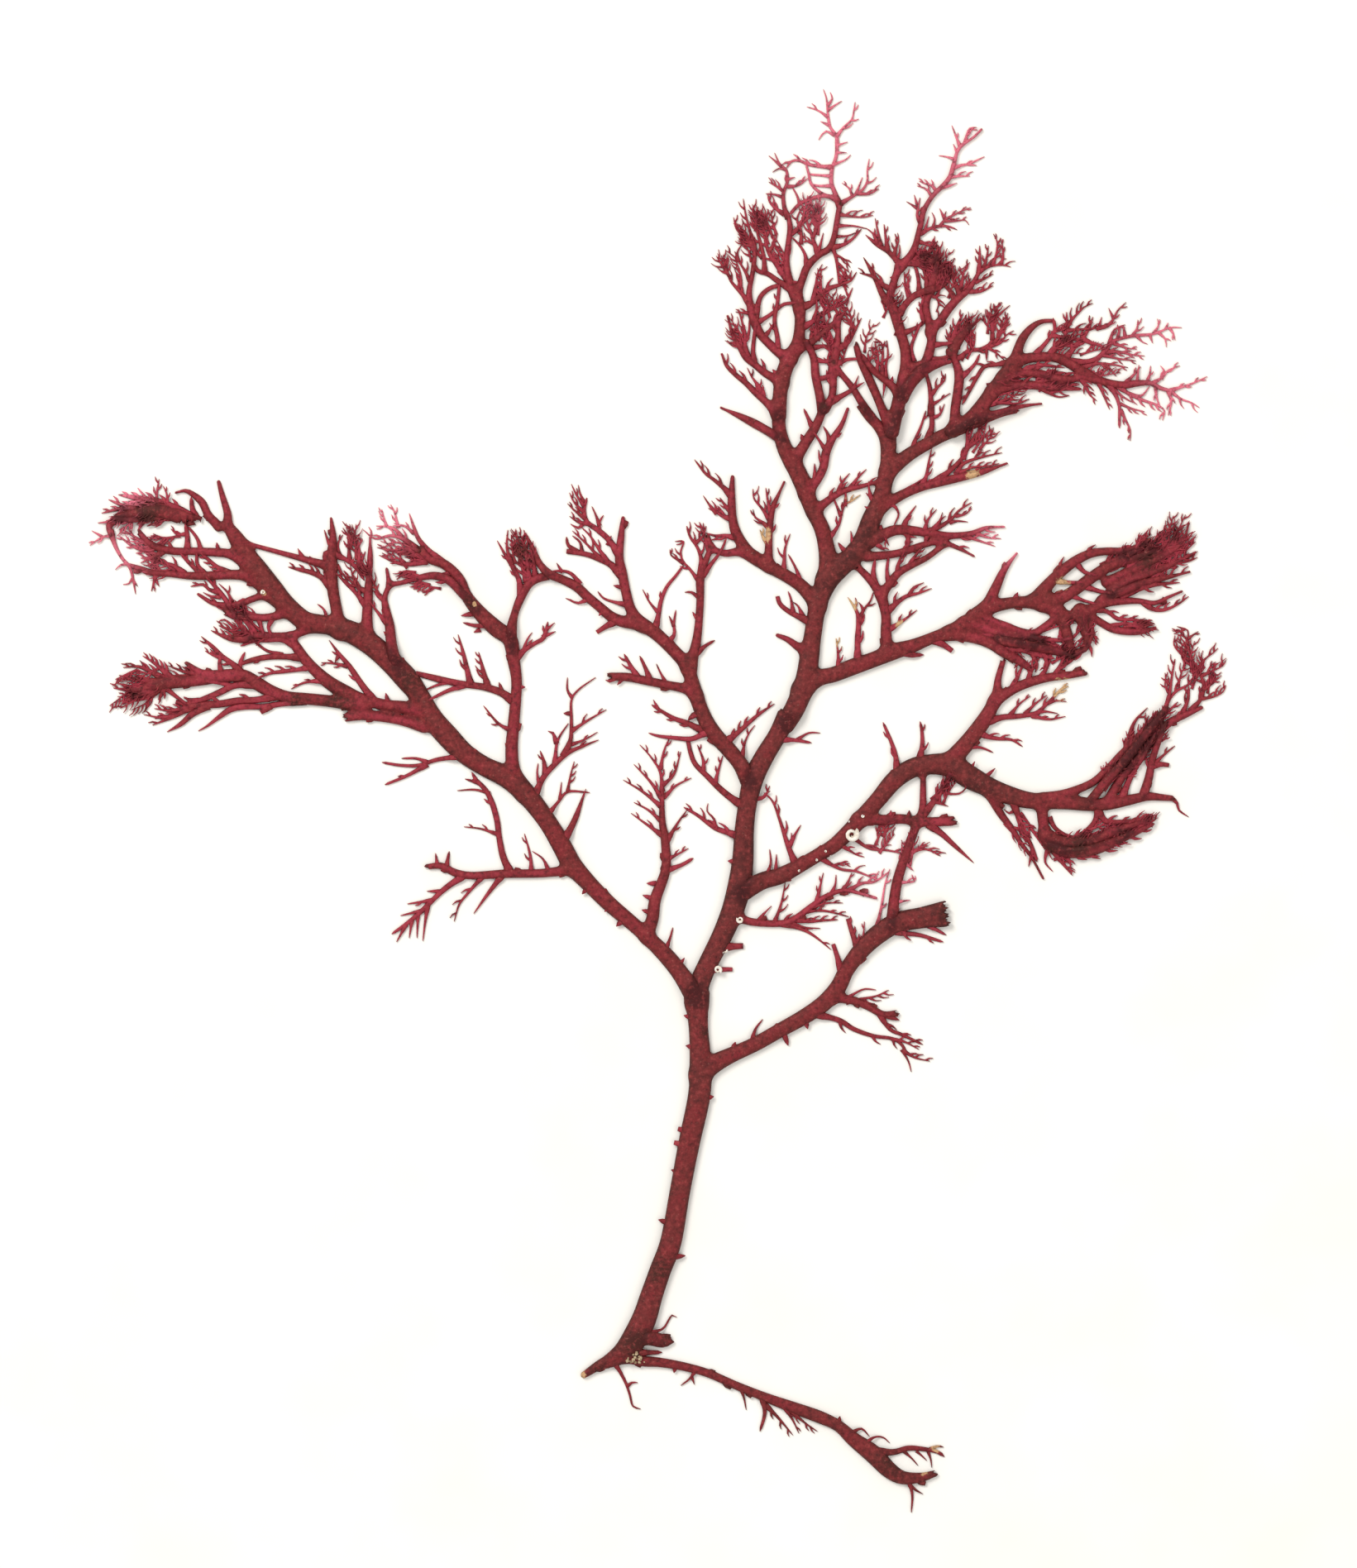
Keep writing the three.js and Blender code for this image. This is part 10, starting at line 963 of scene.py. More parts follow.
# Long arm that leaves the crown fork to the right and its two outer plumes.
OUTER_RIGHT = [
    [1.5, 0.4, [], [30.0, 37.9], [31.6, 38.9, 1.4], [33, 40.3, 1.5], [34.4, 42.2, 1.5], [35.6, 43.7, 1.5],
     [36.4, 45, 1.2], [36.8, 46.2, 1.0], [37.3, 47.4, 0.9], [38.2, 48.5, 0.7], [39.2, 49.1, 0.5],
     [40.4, 49.2]],
    [1.3, 0.8, [], [36.0, 44.7], [37.6, 45.3, 1.1], [39.2, 45.5, 1.0], [40.8, 45.4, 1.0], [42.2, 44.8, 1.1],
     [43.2, 44.1, 1.0], [44.4, 43.3]],
    [1.2, 0.4, ["L", 6, 0.9], [35.3, 43.4], [37.2, 43.8, 0.9], [38.8, 43.8, 0.9], [40.4, 43.4, 0.9],
     [42, 43.2, 0.8], [43.6, 43.4]],
    [1.2, 0.3, ["L", 6, 0.9], [34.2, 42.0], [36, 42.4, 0.9], [38, 42.6, 0.9], [40, 42.4, 0.8],
     [41.6, 42.3, 0.6],
     [43.2, 42.2]],
    [0.6, 0.12, [], [38.8, 42.6], [40.0, 41.8, 0.4], [41, 41.4], [42.0, 41.5]],
    [1.0, 0.12, [], [32.0, 39.0], [34.4, 39.6, 0.8], [36, 40.1, 0.6], [37.6, 40.5, 0.4], [39.2, 40.7]],
    [0.7, 0.15, ["L", 3, 0.8], [33.2, 40.5], [35, 40.8, 0.5], [36.6, 40.7], [38.0, 41.2]],
    [0.6, 0.15, ["L", 3, 0.6], [37.4, 44.0], [38.8, 44.6, 0.5], [40.0, 44.6], [41.6, 44.4]],
    [0.6, 0.4, ["L", 1, 0.6], [38.2, 45.4], [39.2, 46.4], [40.2, 47.6], [40.6, 48.3], [40.4, 49.5]],
    [0.7, 0.15, ["A", 5, 0.7], [39.8, 45.4], [40.8, 46.7, 0.6], [41.6, 47.6, 0.5], [41.8, 48.7, 0.4],
     [41.8, 50.1]],
    [0.7, 0.15, ["A", 5, 0.7], [41.6, 45.2], [42.6, 46.5, 0.6], [43.5, 47.5, 0.6], [44.1, 48.5, 0.4],
     [44.5, 49.6]],
    [0.45, 0.12, ["L", 4, 0.8], [41.7, 48.4], [42.4, 49.4], [43, 50], [43.6, 50.6], [44.5, 51.0]],
    [0.45, 0.15, ["L", 4, 0.8], [41.7, 48.2], [43.2, 48.3], [44.6, 48.4], [45.6, 48.5], [46.0, 48.7]],
    [0.45, 0.3, ["R", 2, 0.5], [40.3, 47.7], [42, 47.4], [43.5, 47.3]],
    [0.45, 0.2, [], [41.0, 46.8], [42.2, 46.6], [43.2, 46.6]],
    [0.5, 0.3, [], [43.3, 47.4], [44.4, 46.9, 0.4], [45.2, 46.7], [46.0, 46.1]],
    [0.8, 0.12, [], [42.0, 45.0], [43.8, 45.0, 0.6], [45, 45.4, 0.6], [45.8, 46.2, 0.6], [46.6, 47.1, 0.5],
     [47.8, 47.5, 0.4], [49, 47.7, 0.4], [50.4, 47.8, 0.35], [51.4, 48.1, 0.3], [52.4, 48.5], [53.6, 48.5]],
    [0.45, 0.12, ["R", 2, 0.4], [46.2, 46.8], [46.5, 48.0], [47, 48.5], [47.8, 48.8]],
    [0.35, 0.2, ["L", 1, 0.6], [47.0, 47.3], [47.3, 48.6]],
    [0.35, 0.2, [], [47.8, 47.5], [47.6, 48.7]],
    [0.35, 0.12, ["R", 2, 0.7], [48.5, 47.6], [49, 48.4], [49.1, 49.3]],
    [0.3, 0.12, ["R", 1, 0.4], [50.7, 47.9], [51.2, 48.7], [51.1, 49.4]],
    [0.25, 0.12, [], [51.9, 48.3], [52.2, 49.0]],
    [0.35, 0.12, [], [48.9, 47.7], [49.6, 47.0], [50.1, 46.8]],
    [0.3, 0.12, [], [50.3, 47.8], [50.6, 46.9]],
    [0.3, 0.12, ["L", 1, 0.4], [51.2, 48.0], [51.9, 47.3], [52.0, 46.5]],
    [0.3, 0.12, ["R", 1, 0.4], [52.3, 48.5], [52.7, 47.9], [52.9, 47.2]],
    [0.5, 0.12, ["A", 6, 0.6], [45.4, 46.0], [47.2, 46.0, 0.4], [48.6, 45.7], [49.8, 45.6]],
    [0.4, 0.12, ["A", 4, 0.5], [45.4, 45.7], [47.2, 45.3], [48.9, 45.1]],
    [0.4, 0.12, ["A", 3, 0.5], [46.6, 46.9], [48, 46.4], [49.0, 46.3]],
    [0.5, 0.12, ["A", 4, 0.5], [43.4, 44.4], [45.0, 44.8, 0.4], [46.6, 44.7], [48.1, 44.4]],
    [0.4, 0.12, [], [45.6, 44.8], [46.3, 44.2], [46.9, 43.5]],
    [0.45, 0.12, ["R", 3, 0.5], [44.8, 48.4], [46, 48.7], [46.6, 49.4], [47, 50.2], [47.9, 51.1]],
    [0.3, 0.12, [], [46.6, 49.4], [46.1, 50.5]],
    [0.3, 0.12, [], [45.1, 48.5], [45.4, 49.6]],
    [1.0, 0.3, [], [43.6, 43.8], [44.8, 43.2, 0.9], [46.2, 42.8, 0.8], [47.6, 42.6, 0.8], [49, 42.8, 0.7],
     [50.4, 42.8, 0.5], [51.4, 42.3, 0.45], [52.6, 42.0]],
    [0.4, 0.12, ["A", 4, 0.5], [52.2, 42.0], [53.2, 42.3], [54.2, 42.6], [55.2, 43], [56.2, 43.5]],
    [0.4, 0.12, ["R", 2, 0.9], [52.4, 42.0], [53.5, 41.2], [54.6, 40.8], [55.4, 40.3]],
    [0.45, 0.15, ["L", 1, 0.5], [47.8, 42.8], [48.6, 43.6], [49.4, 44.5]],
    [0.3, 0.15, [], [49.0, 43.0], [49.2, 44.7]],
    [0.35, 0.12, ["R", 1, 0.4], [50.0, 42.9], [50.3, 43.7], [50.4, 44.6]],
    [0.4, 0.12, ["A", 3, 0.6], [50.6, 42.8], [51.6, 43.4], [52.2, 44.1], [53.4, 44.6]],
    [0.3, 0.12, [], [51.5, 43.2], [51.8, 44.0], [51.4, 44.6]],
    [0.4, 0.12, ["R", 2, 0.4], [50.9, 42.6], [51, 41.4], [51.4, 40.3]],
    [0.4, 0.12, ["A", 3, 0.5], [52.2, 42.0], [52.5, 40.9], [52.2, 39.5]],
    [0.6, 0.3, [], [46.0, 42.8], [46.8, 41.6, 0.5], [47.2, 40.4, 0.4], [47.2, 39.2], [47.2, 38.2]],
    [0.4, 0.12, ["R", 3, 0.4], [47.3, 40.1], [47.9, 38.9], [48.3, 38.0], [48.3, 36.9]],
    [0.5, 0.12, ["L", 3, 0.6], [45.0, 43.0], [45.6, 41.6], [46.2, 40.1]],
    [0.5, 0.12, ["R", 5, 0.8], [47.0, 42.5], [48.4, 41.6, 0.4], [49.8, 41, 0.4], [51, 40.6], [51.8, 40],
     [51.6, 39.0]],
    [0.35, 0.12, ["R", 3, 0.6], [47.3, 40.7], [48.5, 40.2], [49.8, 39.9]],
    [0.35, 0.15, ["R", 1, 0.5], [46.6, 42.2], [47.6, 41.4], [48.6, 40.8]],
    [0.35, 0.15, [], [48.0, 41.8], [49.4, 41.5], [50.3, 42.5]],
    [0.6, 0.12, ["A", 4, 0.6], [43.0, 43.8], [43.7, 42.6, 0.5], [44.2, 41.6], [44.9, 41.0]],
    [0.35, 0.15, [], [43.4, 43.0], [44.2, 42.4], [44.6, 42.0]],
]
# Arms that leave the left limb, from the collar outward.
LEFT_OUT = [
    [1.3, 0.3, [], [-26.0, 13.0], [-26.9, 14.5, 1.3], [-27.3, 16.2, 1.1], [-27.5, 18, 1.0],
     [-27.9, 19.8, 0.8],
     [-28.0, 20.9, 0.6], [-27.6, 22.2, 0.5], [-27.8, 23.8]],
    [0.45, 0.2, [], [-28.1, 20.6], [-28.9, 21.3], [-28.6, 22.3]],
    [0.4, 0.2, [], [-28.4, 21.0], [-29.2, 21.6]],
    [0.6, 0.2, ["R", 2, 0.6], [-27.6, 18.0], [-28.6, 19.2], [-29.5, 20.4]],
    [0.4, 0.2, [], [-27.6, 16.8], [-28.1, 17.4]],
    [1.4, 0.12, [], [-29.8, 16.4], [-29.8, 19, 1.1], [-29.7, 21, 1.0], [-29.6, 23, 0.7], [-29.5, 25, 0.6],
     [-29.5, 27.0]],
    [0.5, 0.3, [], [-30.0, 18.0], [-30.5, 18.3]],
    [0.7, 0.15, ["R", 4, 0.8], [-29.9, 20.0], [-31, 21.4, 0.5], [-32.2, 22.6, 0.5], [-33.0, 23.4]],
    [0.6, 0.2, ["R", 3, 0.8], [-29.8, 21.4], [-30.8, 22.0], [-32.0, 23.0]],
    [0.5, 0.2, ["L", 2, 0.5], [-29.6, 23.2], [-30.4, 24.2], [-30.0, 25.6]],
    [1.6, 0.25, [], [-32.6, 17.3], [-32.9, 19.4, 1.2], [-33.3, 21.6, 1.2], [-33.5, 23.6, 1.3],
     [-33.4, 25.4, 1.1],
     [-33.3, 27.2, 0.7], [-33.5, 29.0]],
    [1.0, 0.3, [], [-33.4, 24.0], [-35.2, 24.5, 0.8], [-37, 25, 0.6], [-39.2, 25.6, 0.5], [-41, 26.1, 0.45],
     [-42.9, 26.7]],
    [0.5, 0.15, [], [-36.4, 24.9], [-36.9, 25.9]],
    [0.4, 0.2, [], [-35.4, 24.6], [-35.7, 25.1]],
    [0.9, 0.15, ["R", 5, 0.6], [-33.3, 21.6], [-34.3, 22.8, 0.7], [-35.4, 23.4, 0.6], [-36.6, 23.7, 0.5],
     [-37.9, 24.0]],
    [0.35, 0.2, [], [-33.8, 18.3], [-34.2, 19.6], [-34.9, 20.2]],
    [0.7, 0.3, ["L", 2, 0.6], [-33.2, 25.3], [-31.9, 24.7, 0.5], [-30.9, 23.9, 0.5], [-30.1, 22.6]],
    [0.5, 0.2, ["L", 3, 0.5], [-30.7, 23.8], [-30.6, 25.4], [-30.8, 26.6], [-31.3, 27.5]],
    [0.5, 0.15, ["L", 2, 0.5], [-31.6, 24.6], [-31.7, 26.2], [-31.8, 27.2], [-32.3, 28.0]],
    [0.45, 0.15, ["L", 2, 0.5], [-32.6, 25.0], [-32.8, 26.3], [-32.3, 27.3]],
    [0.4, 0.12, [], [-32.9, 24.2], [-32.4, 23.4], [-32.0, 22.8]],
    [0.4, 0.15, [], [-33.5, 26.0], [-33.9, 26.9], [-34.2, 27.8]],
    [0.8, 0.5, [], [-33.4, 25.4], [-34.0, 25.3], [-34.1, 24.6]],
    [1.5, 0.5, [], [-23.6, 9.0], [-25.8, 9.6, 1.3], [-28, 9.9, 1.1], [-30.4, 10.5, 1.2], [-32, 11.2, 1.4],
     [-33.6, 12.1, 1.4], [-35, 13.3, 1.2], [-36.2, 14.6, 1.1], [-37.1, 15.9, 1.0], [-37.7, 16.9]],
    [0.5, 0.3, [], [-27.6, 9.9], [-27.9, 11.1]],
    [0.9, 0.12, ["L", 2, 0.6], [-28.8, 9.9], [-30.4, 12.0, 0.8], [-31.6, 13.8, 0.7], [-32.6, 15.0, 0.5],
     [-33.7, 16.5]],
    [0.4, 0.12, ["A", 3, 0.5], [-31.8, 13.8], [-33.0, 14.1], [-34.5, 14.2]],
    [0.4, 0.2, [], [-32.7, 15.0], [-33.1, 14.2]],
    [0.7, 0.3, [], [-36.9, 15.7], [-38.4, 16.5, 0.6], [-40, 16.5, 0.6], [-41.4, 16.4], [-42.8, 15.9]],
    [0.9, 0.3, ["L", 1, 0.5], [-36.3, 14.7], [-38, 14.8, 0.7], [-39.6, 14.8, 0.7], [-41, 14.6, 0.7],
     [-42.4, 14.2, 0.6], [-43.2, 13.8]],
    [0.7, 0.25, ["R", 4, 0.8], [-35.5, 13.8], [-36.8, 13.5, 0.5], [-38.4, 13.3, 0.5], [-39.8, 13.1],
     [-41.2, 12.5]],
    [0.5, 0.15, ["R", 2, 0.5], [-34.0, 12.2], [-35.2, 12.3], [-36.4, 12.1], [-37.6, 11.5]],
    [0.4, 0.3, [], [-38.4, 15.0], [-40, 15.4], [-41, 16.1], [-41.9, 16.9]],
    [1.4, 0.6, [], [-30.2, 9.8], [-32, 10.0, 1.2], [-34, 10.3, 1.2], [-36, 10.5, 1.2], [-38, 10.7, 1.2],
     [-39.7, 11.3, 1.3], [-41.1, 12.1, 1.4], [-42.4, 12.9, 1.2], [-43.8, 13.1, 0.9], [-45.4, 13.0, 0.9],
     [-46.8, 13.2, 0.7], [-48.3, 14.0]],
    [0.8, 0.12, ["L", 3, 0.8], [-42.5, 13.0], [-43.6, 14.1, 0.6], [-44.6, 14.8, 0.6], [-45.5, 15.7, 0.5],
     [-46.8, 16.9]],
    [0.45, 0.12, ["R", 3, 0.5], [-44.4, 14.7], [-45.4, 14.9], [-46.4, 15.4]],
    [0.5, 0.4, [], [-44.6, 12.8], [-44.9, 14.0], [-44.8, 15.0]],
    [0.45, 0.3, [], [-42.9, 13.5], [-42.7, 14.4], [-42.3, 15.3]],
    [1.1, 0.5, [], [-43.2, 12.8], [-44.8, 12.6, 0.9], [-46.4, 12.4, 1.0], [-48.4, 12.3, 1.3],
     [-50, 12.2, 1.4],
     [-51.6, 11.9, 1.3], [-53.0, 11.5]],
    [0.8, 0.12, ["R", 5, 0.8], [-49.6, 12.4], [-50.8, 13.5, 0.6], [-51.8, 14.3], [-52.8, 14.9]],
    [0.8, 0.12, ["R", 5, 0.8], [-50.4, 12.4], [-51.8, 13.2, 0.6], [-53.2, 13.8], [-54.8, 13.7]],
    [0.8, 0.12, ["R", 4, 0.7], [-51.2, 12.2], [-53, 12.4, 0.6], [-55.1, 12.6]],
    [0.8, 0.12, ["R", 4, 0.8], [-52.2, 11.7], [-53.8, 11.4, 0.6], [-55.8, 11.6]],
    [0.8, 0.12, ["R", 4, 0.7], [-51.6, 11.6], [-53.0, 11.0, 0.6], [-55.0, 10.8]],
    [0.8, 0.12, ["R", 4, 0.7], [-51.0, 11.6], [-52.6, 10.6, 0.6], [-54.4, 10.2]],
    [0.6, 0.12, ["R", 4, 0.6], [-46.4, 13.1], [-48.2, 13.2, 0.4], [-50.2, 13.9]],
    [0.7, 0.3, ["L", 2, 0.5], [-50.4, 11.9], [-50.8, 11.0], [-51.2, 10.4]],
    [0.8, 0.5, [], [-41.2, 11.9], [-43.2, 11.9, 0.8], [-44.8, 11.2, 0.8], [-46.2, 10.6, 0.7], [-48, 10.0]],
    [0.5, 0.4, [], [-43.4, 11.8], [-44.8, 12.1], [-46.2, 12.3]],
    [0.9, 0.5, ["R", 3, 0.7], [-39.0, 10.8], [-41, 10.4, 0.8], [-43, 10.3, 0.8], [-44.6, 10.0, 0.9],
     [-46, 9.9, 0.9],
     [-47.6, 9.8, 0.8], [-49.4, 10.2]],
    [0.9, 0.12, [], [-36.0, 10.3], [-38.5, 10.0, 0.7], [-40.4, 9.7, 0.7], [-42.4, 9.7, 0.7],
     [-43.8, 9.4, 0.8],
     [-45, 8.6, 0.7], [-46.2, 7.7, 0.4], [-47.1, 7.2]],
    [0.7, 0.5, [], [-39.6, 9.8], [-40.7, 9.1]],
    [0.9, 0.12, [], [-46.0, 9.8], [-47.6, 9.0, 0.8], [-48.9, 7.9, 0.6], [-50.3, 7.1]],
    [0.7, 0.12, ["R", 5, 0.9], [-47.6, 9.7], [-49.6, 8.7, 0.5], [-51.8, 7.8]],
    [0.5, 0.12, ["R", 4, 0.6], [-48.0, 9.7], [-49.8, 9.3, 0.4], [-51.6, 9.5]],
    [0.4, 0.12, ["R", 2, 0.5], [-49.4, 8.8], [-51, 8.6], [-52.7, 8.9]],
    [0.5, 0.4, [], [-50.4, 11.6], [-49.3, 10.7], [-48.2, 9.9]],
    [0.4, 0.2, [], [-47.0, 10.4], [-47.8, 10.4], [-48.6, 10.6]],
    [1.2, 0.5, [], [-24.0, 7.6], [-26, 8.2, 1.0], [-28, 8.6, 1.0], [-30.2, 8.8, 1.0], [-32, 8.6, 0.8]],
    [1.3, 0.7, [], [-35.2, 18.3], [-36.4, 17.4, 0.9], [-37.6, 17.0, 0.8], [-39.2, 16.9, 0.8],
     [-41, 17, 0.8],
     [-42.4, 16.6, 0.8], [-43.6, 16.7]],
    [0.7, 0.15, ["R", 3, 0.6], [-42.8, 16.6], [-44.2, 16.8, 0.5], [-45.8, 17.5]],
    [0.6, 0.2, ["R", 3, 0.8], [-42.6, 16.8], [-43.8, 17.5], [-45.0, 18.0]],
    [1.2, 0.6, [], [-37.8, 19.6], [-39.0, 19.0, 0.9], [-40.4, 18.8, 0.8], [-41.8, 18.9, 0.8],
     [-43.2, 18.9, 0.7],
     [-44.4, 19.4]],
    [0.5, 0.3, [], [-39.4, 18.8], [-39.9, 17.8], [-39.5, 16.9]],
    [0.5, 0.4, [], [-40.9, 18.7], [-40.6, 17.7], [-40.3, 16.9]],
    [0.5, 0.4, [], [-42.4, 18.8], [-41.8, 17.8], [-41.4, 16.8]],
    [0.7, 0.3, ["R", 3, 0.7], [-41.6, 16.4], [-42.9, 18.2, 0.6], [-44.0, 20.2, 0.6], [-45.2, 21.8, 0.6],
     [-46.3, 23.0]],
    [0.5, 0.3, ["R", 2, 0.6], [-41.2, 17.2], [-42.2, 19.0], [-42.6, 20.4]],
    [0.5, 0.15, ["R", 3, 0.6], [-42.6, 18.8], [-43.8, 19.4], [-45.0, 19.8], [-45.4, 20.2]],
    [0.5, 0.15, [], [-43.2, 17.6], [-44.4, 18.6], [-45.1, 18.3]],
    [1.1, 0.3, ["R", 2, 0.6], [-39.0, 20.7], [-40.4, 21.0, 0.8], [-41.6, 20.7, 0.7], [-42.8, 20.2, 0.7],
     [-44.2, 20.1, 0.6], [-45.6, 20.3, 0.5], [-47.1, 21.2]],
    [0.5, 0.2, ["R", 2, 0.5], [-45.0, 21.4], [-46.0, 21.7], [-46.6, 22.2], [-47.9, 22.0]],
    [0.4, 0.15, [], [-44.8, 20.9], [-45.8, 21.0], [-46.6, 21.4]],
    [0.4, 0.12, ["R", 1, 0.5], [-43.6, 20.4], [-44.1, 21.4], [-45.0, 22.3]],
    [1.6, 0.4, [], [-40.6, 22.4], [-42.4, 23.1, 1.1], [-44, 23.2, 1.0], [-46, 23.1, 0.9], [-48, 23.1, 0.8],
     [-50, 23.3, 0.7], [-51.8, 23.4, 0.7], [-53, 23.8, 0.6], [-54.2, 24.2]],
    [0.6, 0.4, ["L", 4, 0.6], [-43.6, 23.3], [-45.0, 23.9], [-46.0, 24.7], [-46.8, 25.4]],
    [0.5, 0.4, [], [-46.4, 23.3], [-47.2, 24.3], [-47.2, 25.5]],
    [0.6, 0.4, ["R", 2, 0.5], [-46.8, 23.3], [-47.9, 24.3], [-48.9, 25.4]],
    [0.6, 0.2, ["R", 4, 0.7], [-48.4, 23.3], [-49.8, 24.2, 0.5], [-51.0, 24.4], [-52.4, 24.8]],
    [0.5, 0.12, ["L", 1, 0.6], [-51.4, 23.5], [-51.6, 22.5], [-51.9, 21.5]],
    [0.35, 0.12, [], [-51.5, 22.8], [-51.1, 22.0]],
    [1.5, 0.5, [], [-42.0, 24.4], [-43.8, 25.3, 1.0], [-45.5, 25.5, 0.9], [-47.5, 25.6, 0.8],
     [-49.4, 25.6, 0.8],
     [-51, 25.9, 0.8], [-52.2, 26.5, 0.7], [-53.2, 27.6]],
    [0.4, 0.3, [], [-45.0, 25.5], [-45.2, 26.5]],
    [0.7, 0.4, [], [-48.2, 25.7], [-48.2, 27.0, 0.6], [-48.4, 28.4]],
    [0.5, 0.3, [], [-46.8, 25.6], [-47.2, 26.9], [-48.2, 28.2]],
    [0.4, 0.15, ["R", 2, 0.5], [-48.3, 27.4], [-49.2, 27.3], [-49.9, 27.9]],
    [0.4, 0.3, [], [-49.8, 25.8], [-50.2, 26.7]],
    [0.7, 0.15, ["A", 6, 0.7], [-50.4, 25.8], [-51.6, 25.0, 0.6], [-53.0, 24.9]],
    [0.6, 0.15, ["A", 5, 0.6], [-51.0, 26.0], [-52.4, 26.4, 0.5], [-53.8, 27.2], [-54.8, 27.8]],
    [0.6, 0.15, ["A", 5, 0.6], [-51.6, 25.6], [-53.2, 25.9, 0.5], [-54.2, 26.4], [-55.2, 27.2]],
    [1.4, 0.5, [], [-43.2, 27.0], [-44.6, 27.9, 1.2], [-46.4, 28.3, 1.3], [-48.2, 28.9, 1.5],
     [-50, 29.5, 1.6],
     [-52, 29.7, 1.4], [-54, 29.3, 1.2], [-55.4, 28.9, 1.0], [-56.2, 28.2, 0.7], [-56, 27.2, 0.5]],
    [0.7, 0.12, [], [-56.1, 27.8], [-55.6, 26.2, 0.5], [-54.9, 24.9, 0.4], [-54.1, 24.0, 0.4],
     [-53.8, 22.9, 0.3],
     [-53.5, 21.2]],
    [0.25, 0.12, [], [-54.2, 24.3], [-55.0, 24.2], [-55.6, 23.7]],
    [0.25, 0.12, [], [-53.8, 22.9], [-54.2, 22.3], [-54.8, 22.2]],
    [0.25, 0.12, [], [-53.8, 22.7], [-53.3, 22.0]],
    [0.3, 0.12, ["A", 2, 0.5], [-56.0, 27.2], [-57.0, 27.0], [-58.2, 26.2]],
    [0.25, 0.12, [], [-56.9, 27.1], [-58.0, 27.7]],
    [0.3, 0.12, [], [-56.1, 28.6], [-57.4, 28.5]],
    [0.9, 0.2, ["R", 5, 0.7], [-47.6, 29.0], [-49.4, 30.0, 0.9], [-51.2, 30.7, 0.8], [-53, 31.0, 0.7],
     [-55.3, 31.4]],
    [0.8, 0.15, ["R", 4, 0.7], [-50.0, 30.0], [-52.4, 30.3, 0.8], [-54.4, 30.2, 0.6], [-56.3, 30.9]],
    [0.7, 0.15, ["R", 3, 0.6], [-53.2, 29.8], [-54.8, 30.0, 0.5], [-57.0, 29.5]],
    [0.8, 0.5, ["L", 2, 0.5], [-50.6, 29.2], [-52.6, 28.9, 0.7], [-54.4, 28.8, 0.7], [-56.0, 29.0]],
    [0.4, 0.15, ["A", 3, 0.6], [-51.4, 30.6], [-51.3, 31.8], [-51.1, 33.0]],
    [0.35, 0.12, ["R", 2, 0.4], [-50.2, 30.2], [-50.3, 31.4], [-50.7, 32.3]],
    [0.3, 0.15, [], [-52.4, 31.0], [-53.3, 32.1]],
    [1.0, 0.15, [], [-45.0, 28.1], [-46.1, 29.4, 0.8], [-46.7, 30.6, 0.8], [-47.6, 31.4, 0.6],
     [-48.4, 31.8, 0.4],
     [-49.4, 31.6]],
    [0.8, 0.4, [], [-47.2, 28.8], [-47.7, 30.0, 0.6], [-47.8, 31.2]],
    [0.5, 0.3, [], [-52.0, 29.0], [-52.8, 28.4], [-53.3, 27.7]],
]

# The limbs in the order in which they lie, the lowest first.
LIMBS = {
    "stem": [STIPE, RUNNER, CENTRE, LOW_RIGHT, LOW_SPRAY],
    "right": [RIGHT, RIGHT_RISE, FAR_RIGHT, RIGHT_UNDER],
    "left": [LEFT, LEFT_OUT],
    "crown": [CROWN, CENTRE_LEFT, CROWN_RIGHT, UPPER_RIGHT, UNDER_PATCH],
    "top": [TOP],
    "top_right": [TOP_RIGHT, OUTER_RIGHT],
}

# Places on the frond that age has bleached or browned: x, y and radius in millimetres.
BLEACHED = [
    [10.8, 27.3, 0.9], [20.1, 30.9, 0.9], [32.1, 33.4, 0.8], [19.7, 20.2, 0.8], [18.4, 16.4, 0.8],
    [24.9, 18.0, 0.7], [41.4, 11.5, 1.3], [41.3, 22.3, 0.8], [-18.8, 20.2, 0.3], [-40.3, 21.3, 0.3],
    [-8.0, -58.7, 0.75], [27.2, -68.4, 0.6], [28.4, -66.2, 0.5],
]
BROWNED = [
    [-25.2, 12.1, 1.9], [-19.2, 20.2, 1.2], [-33.0, 10.0, 2.6], [-37.0, 10.2, 1.6], [3.0, 9.0, 0.8],
    [-2.4, -55.6, 2.6], [-6.4, -58.0, 1.8], [24.0, -67.6, 2.2], [28.2, -69.0, 1.2], [30.0, -12.0, 1.2],
    [-52.0, 29.5, 2.0], [-14.0, 25.5, 1.4], [50.0, 24.5, 1.4], [43.0, -4.5, 1.6], [0.0, -48.0, 2.4],
    [0.9, -55.0, 1.3], [5.0, -23.5, 1.2], [26.0, -1.5, 1.5], [25.5, 4.5, 1.2],
]

# Young plumes that are thin and pale: x, y and radius in millimetres.
PALE = [
    [18.5, 68.0, 6.0], [17.0, 64.0, 2.6], [30.5, 65.5, 4.8], [53.5, 46.5, 5.0], [54.0, 40.5, 5.5],
    [-56.5, 25.0, 3.5], [-27.5, 29.0, 2.5], [-54.0, 31.5, 2.0], [24.0, -9.0, 3.0],
    [36.0, 27.0, 3.0],
]

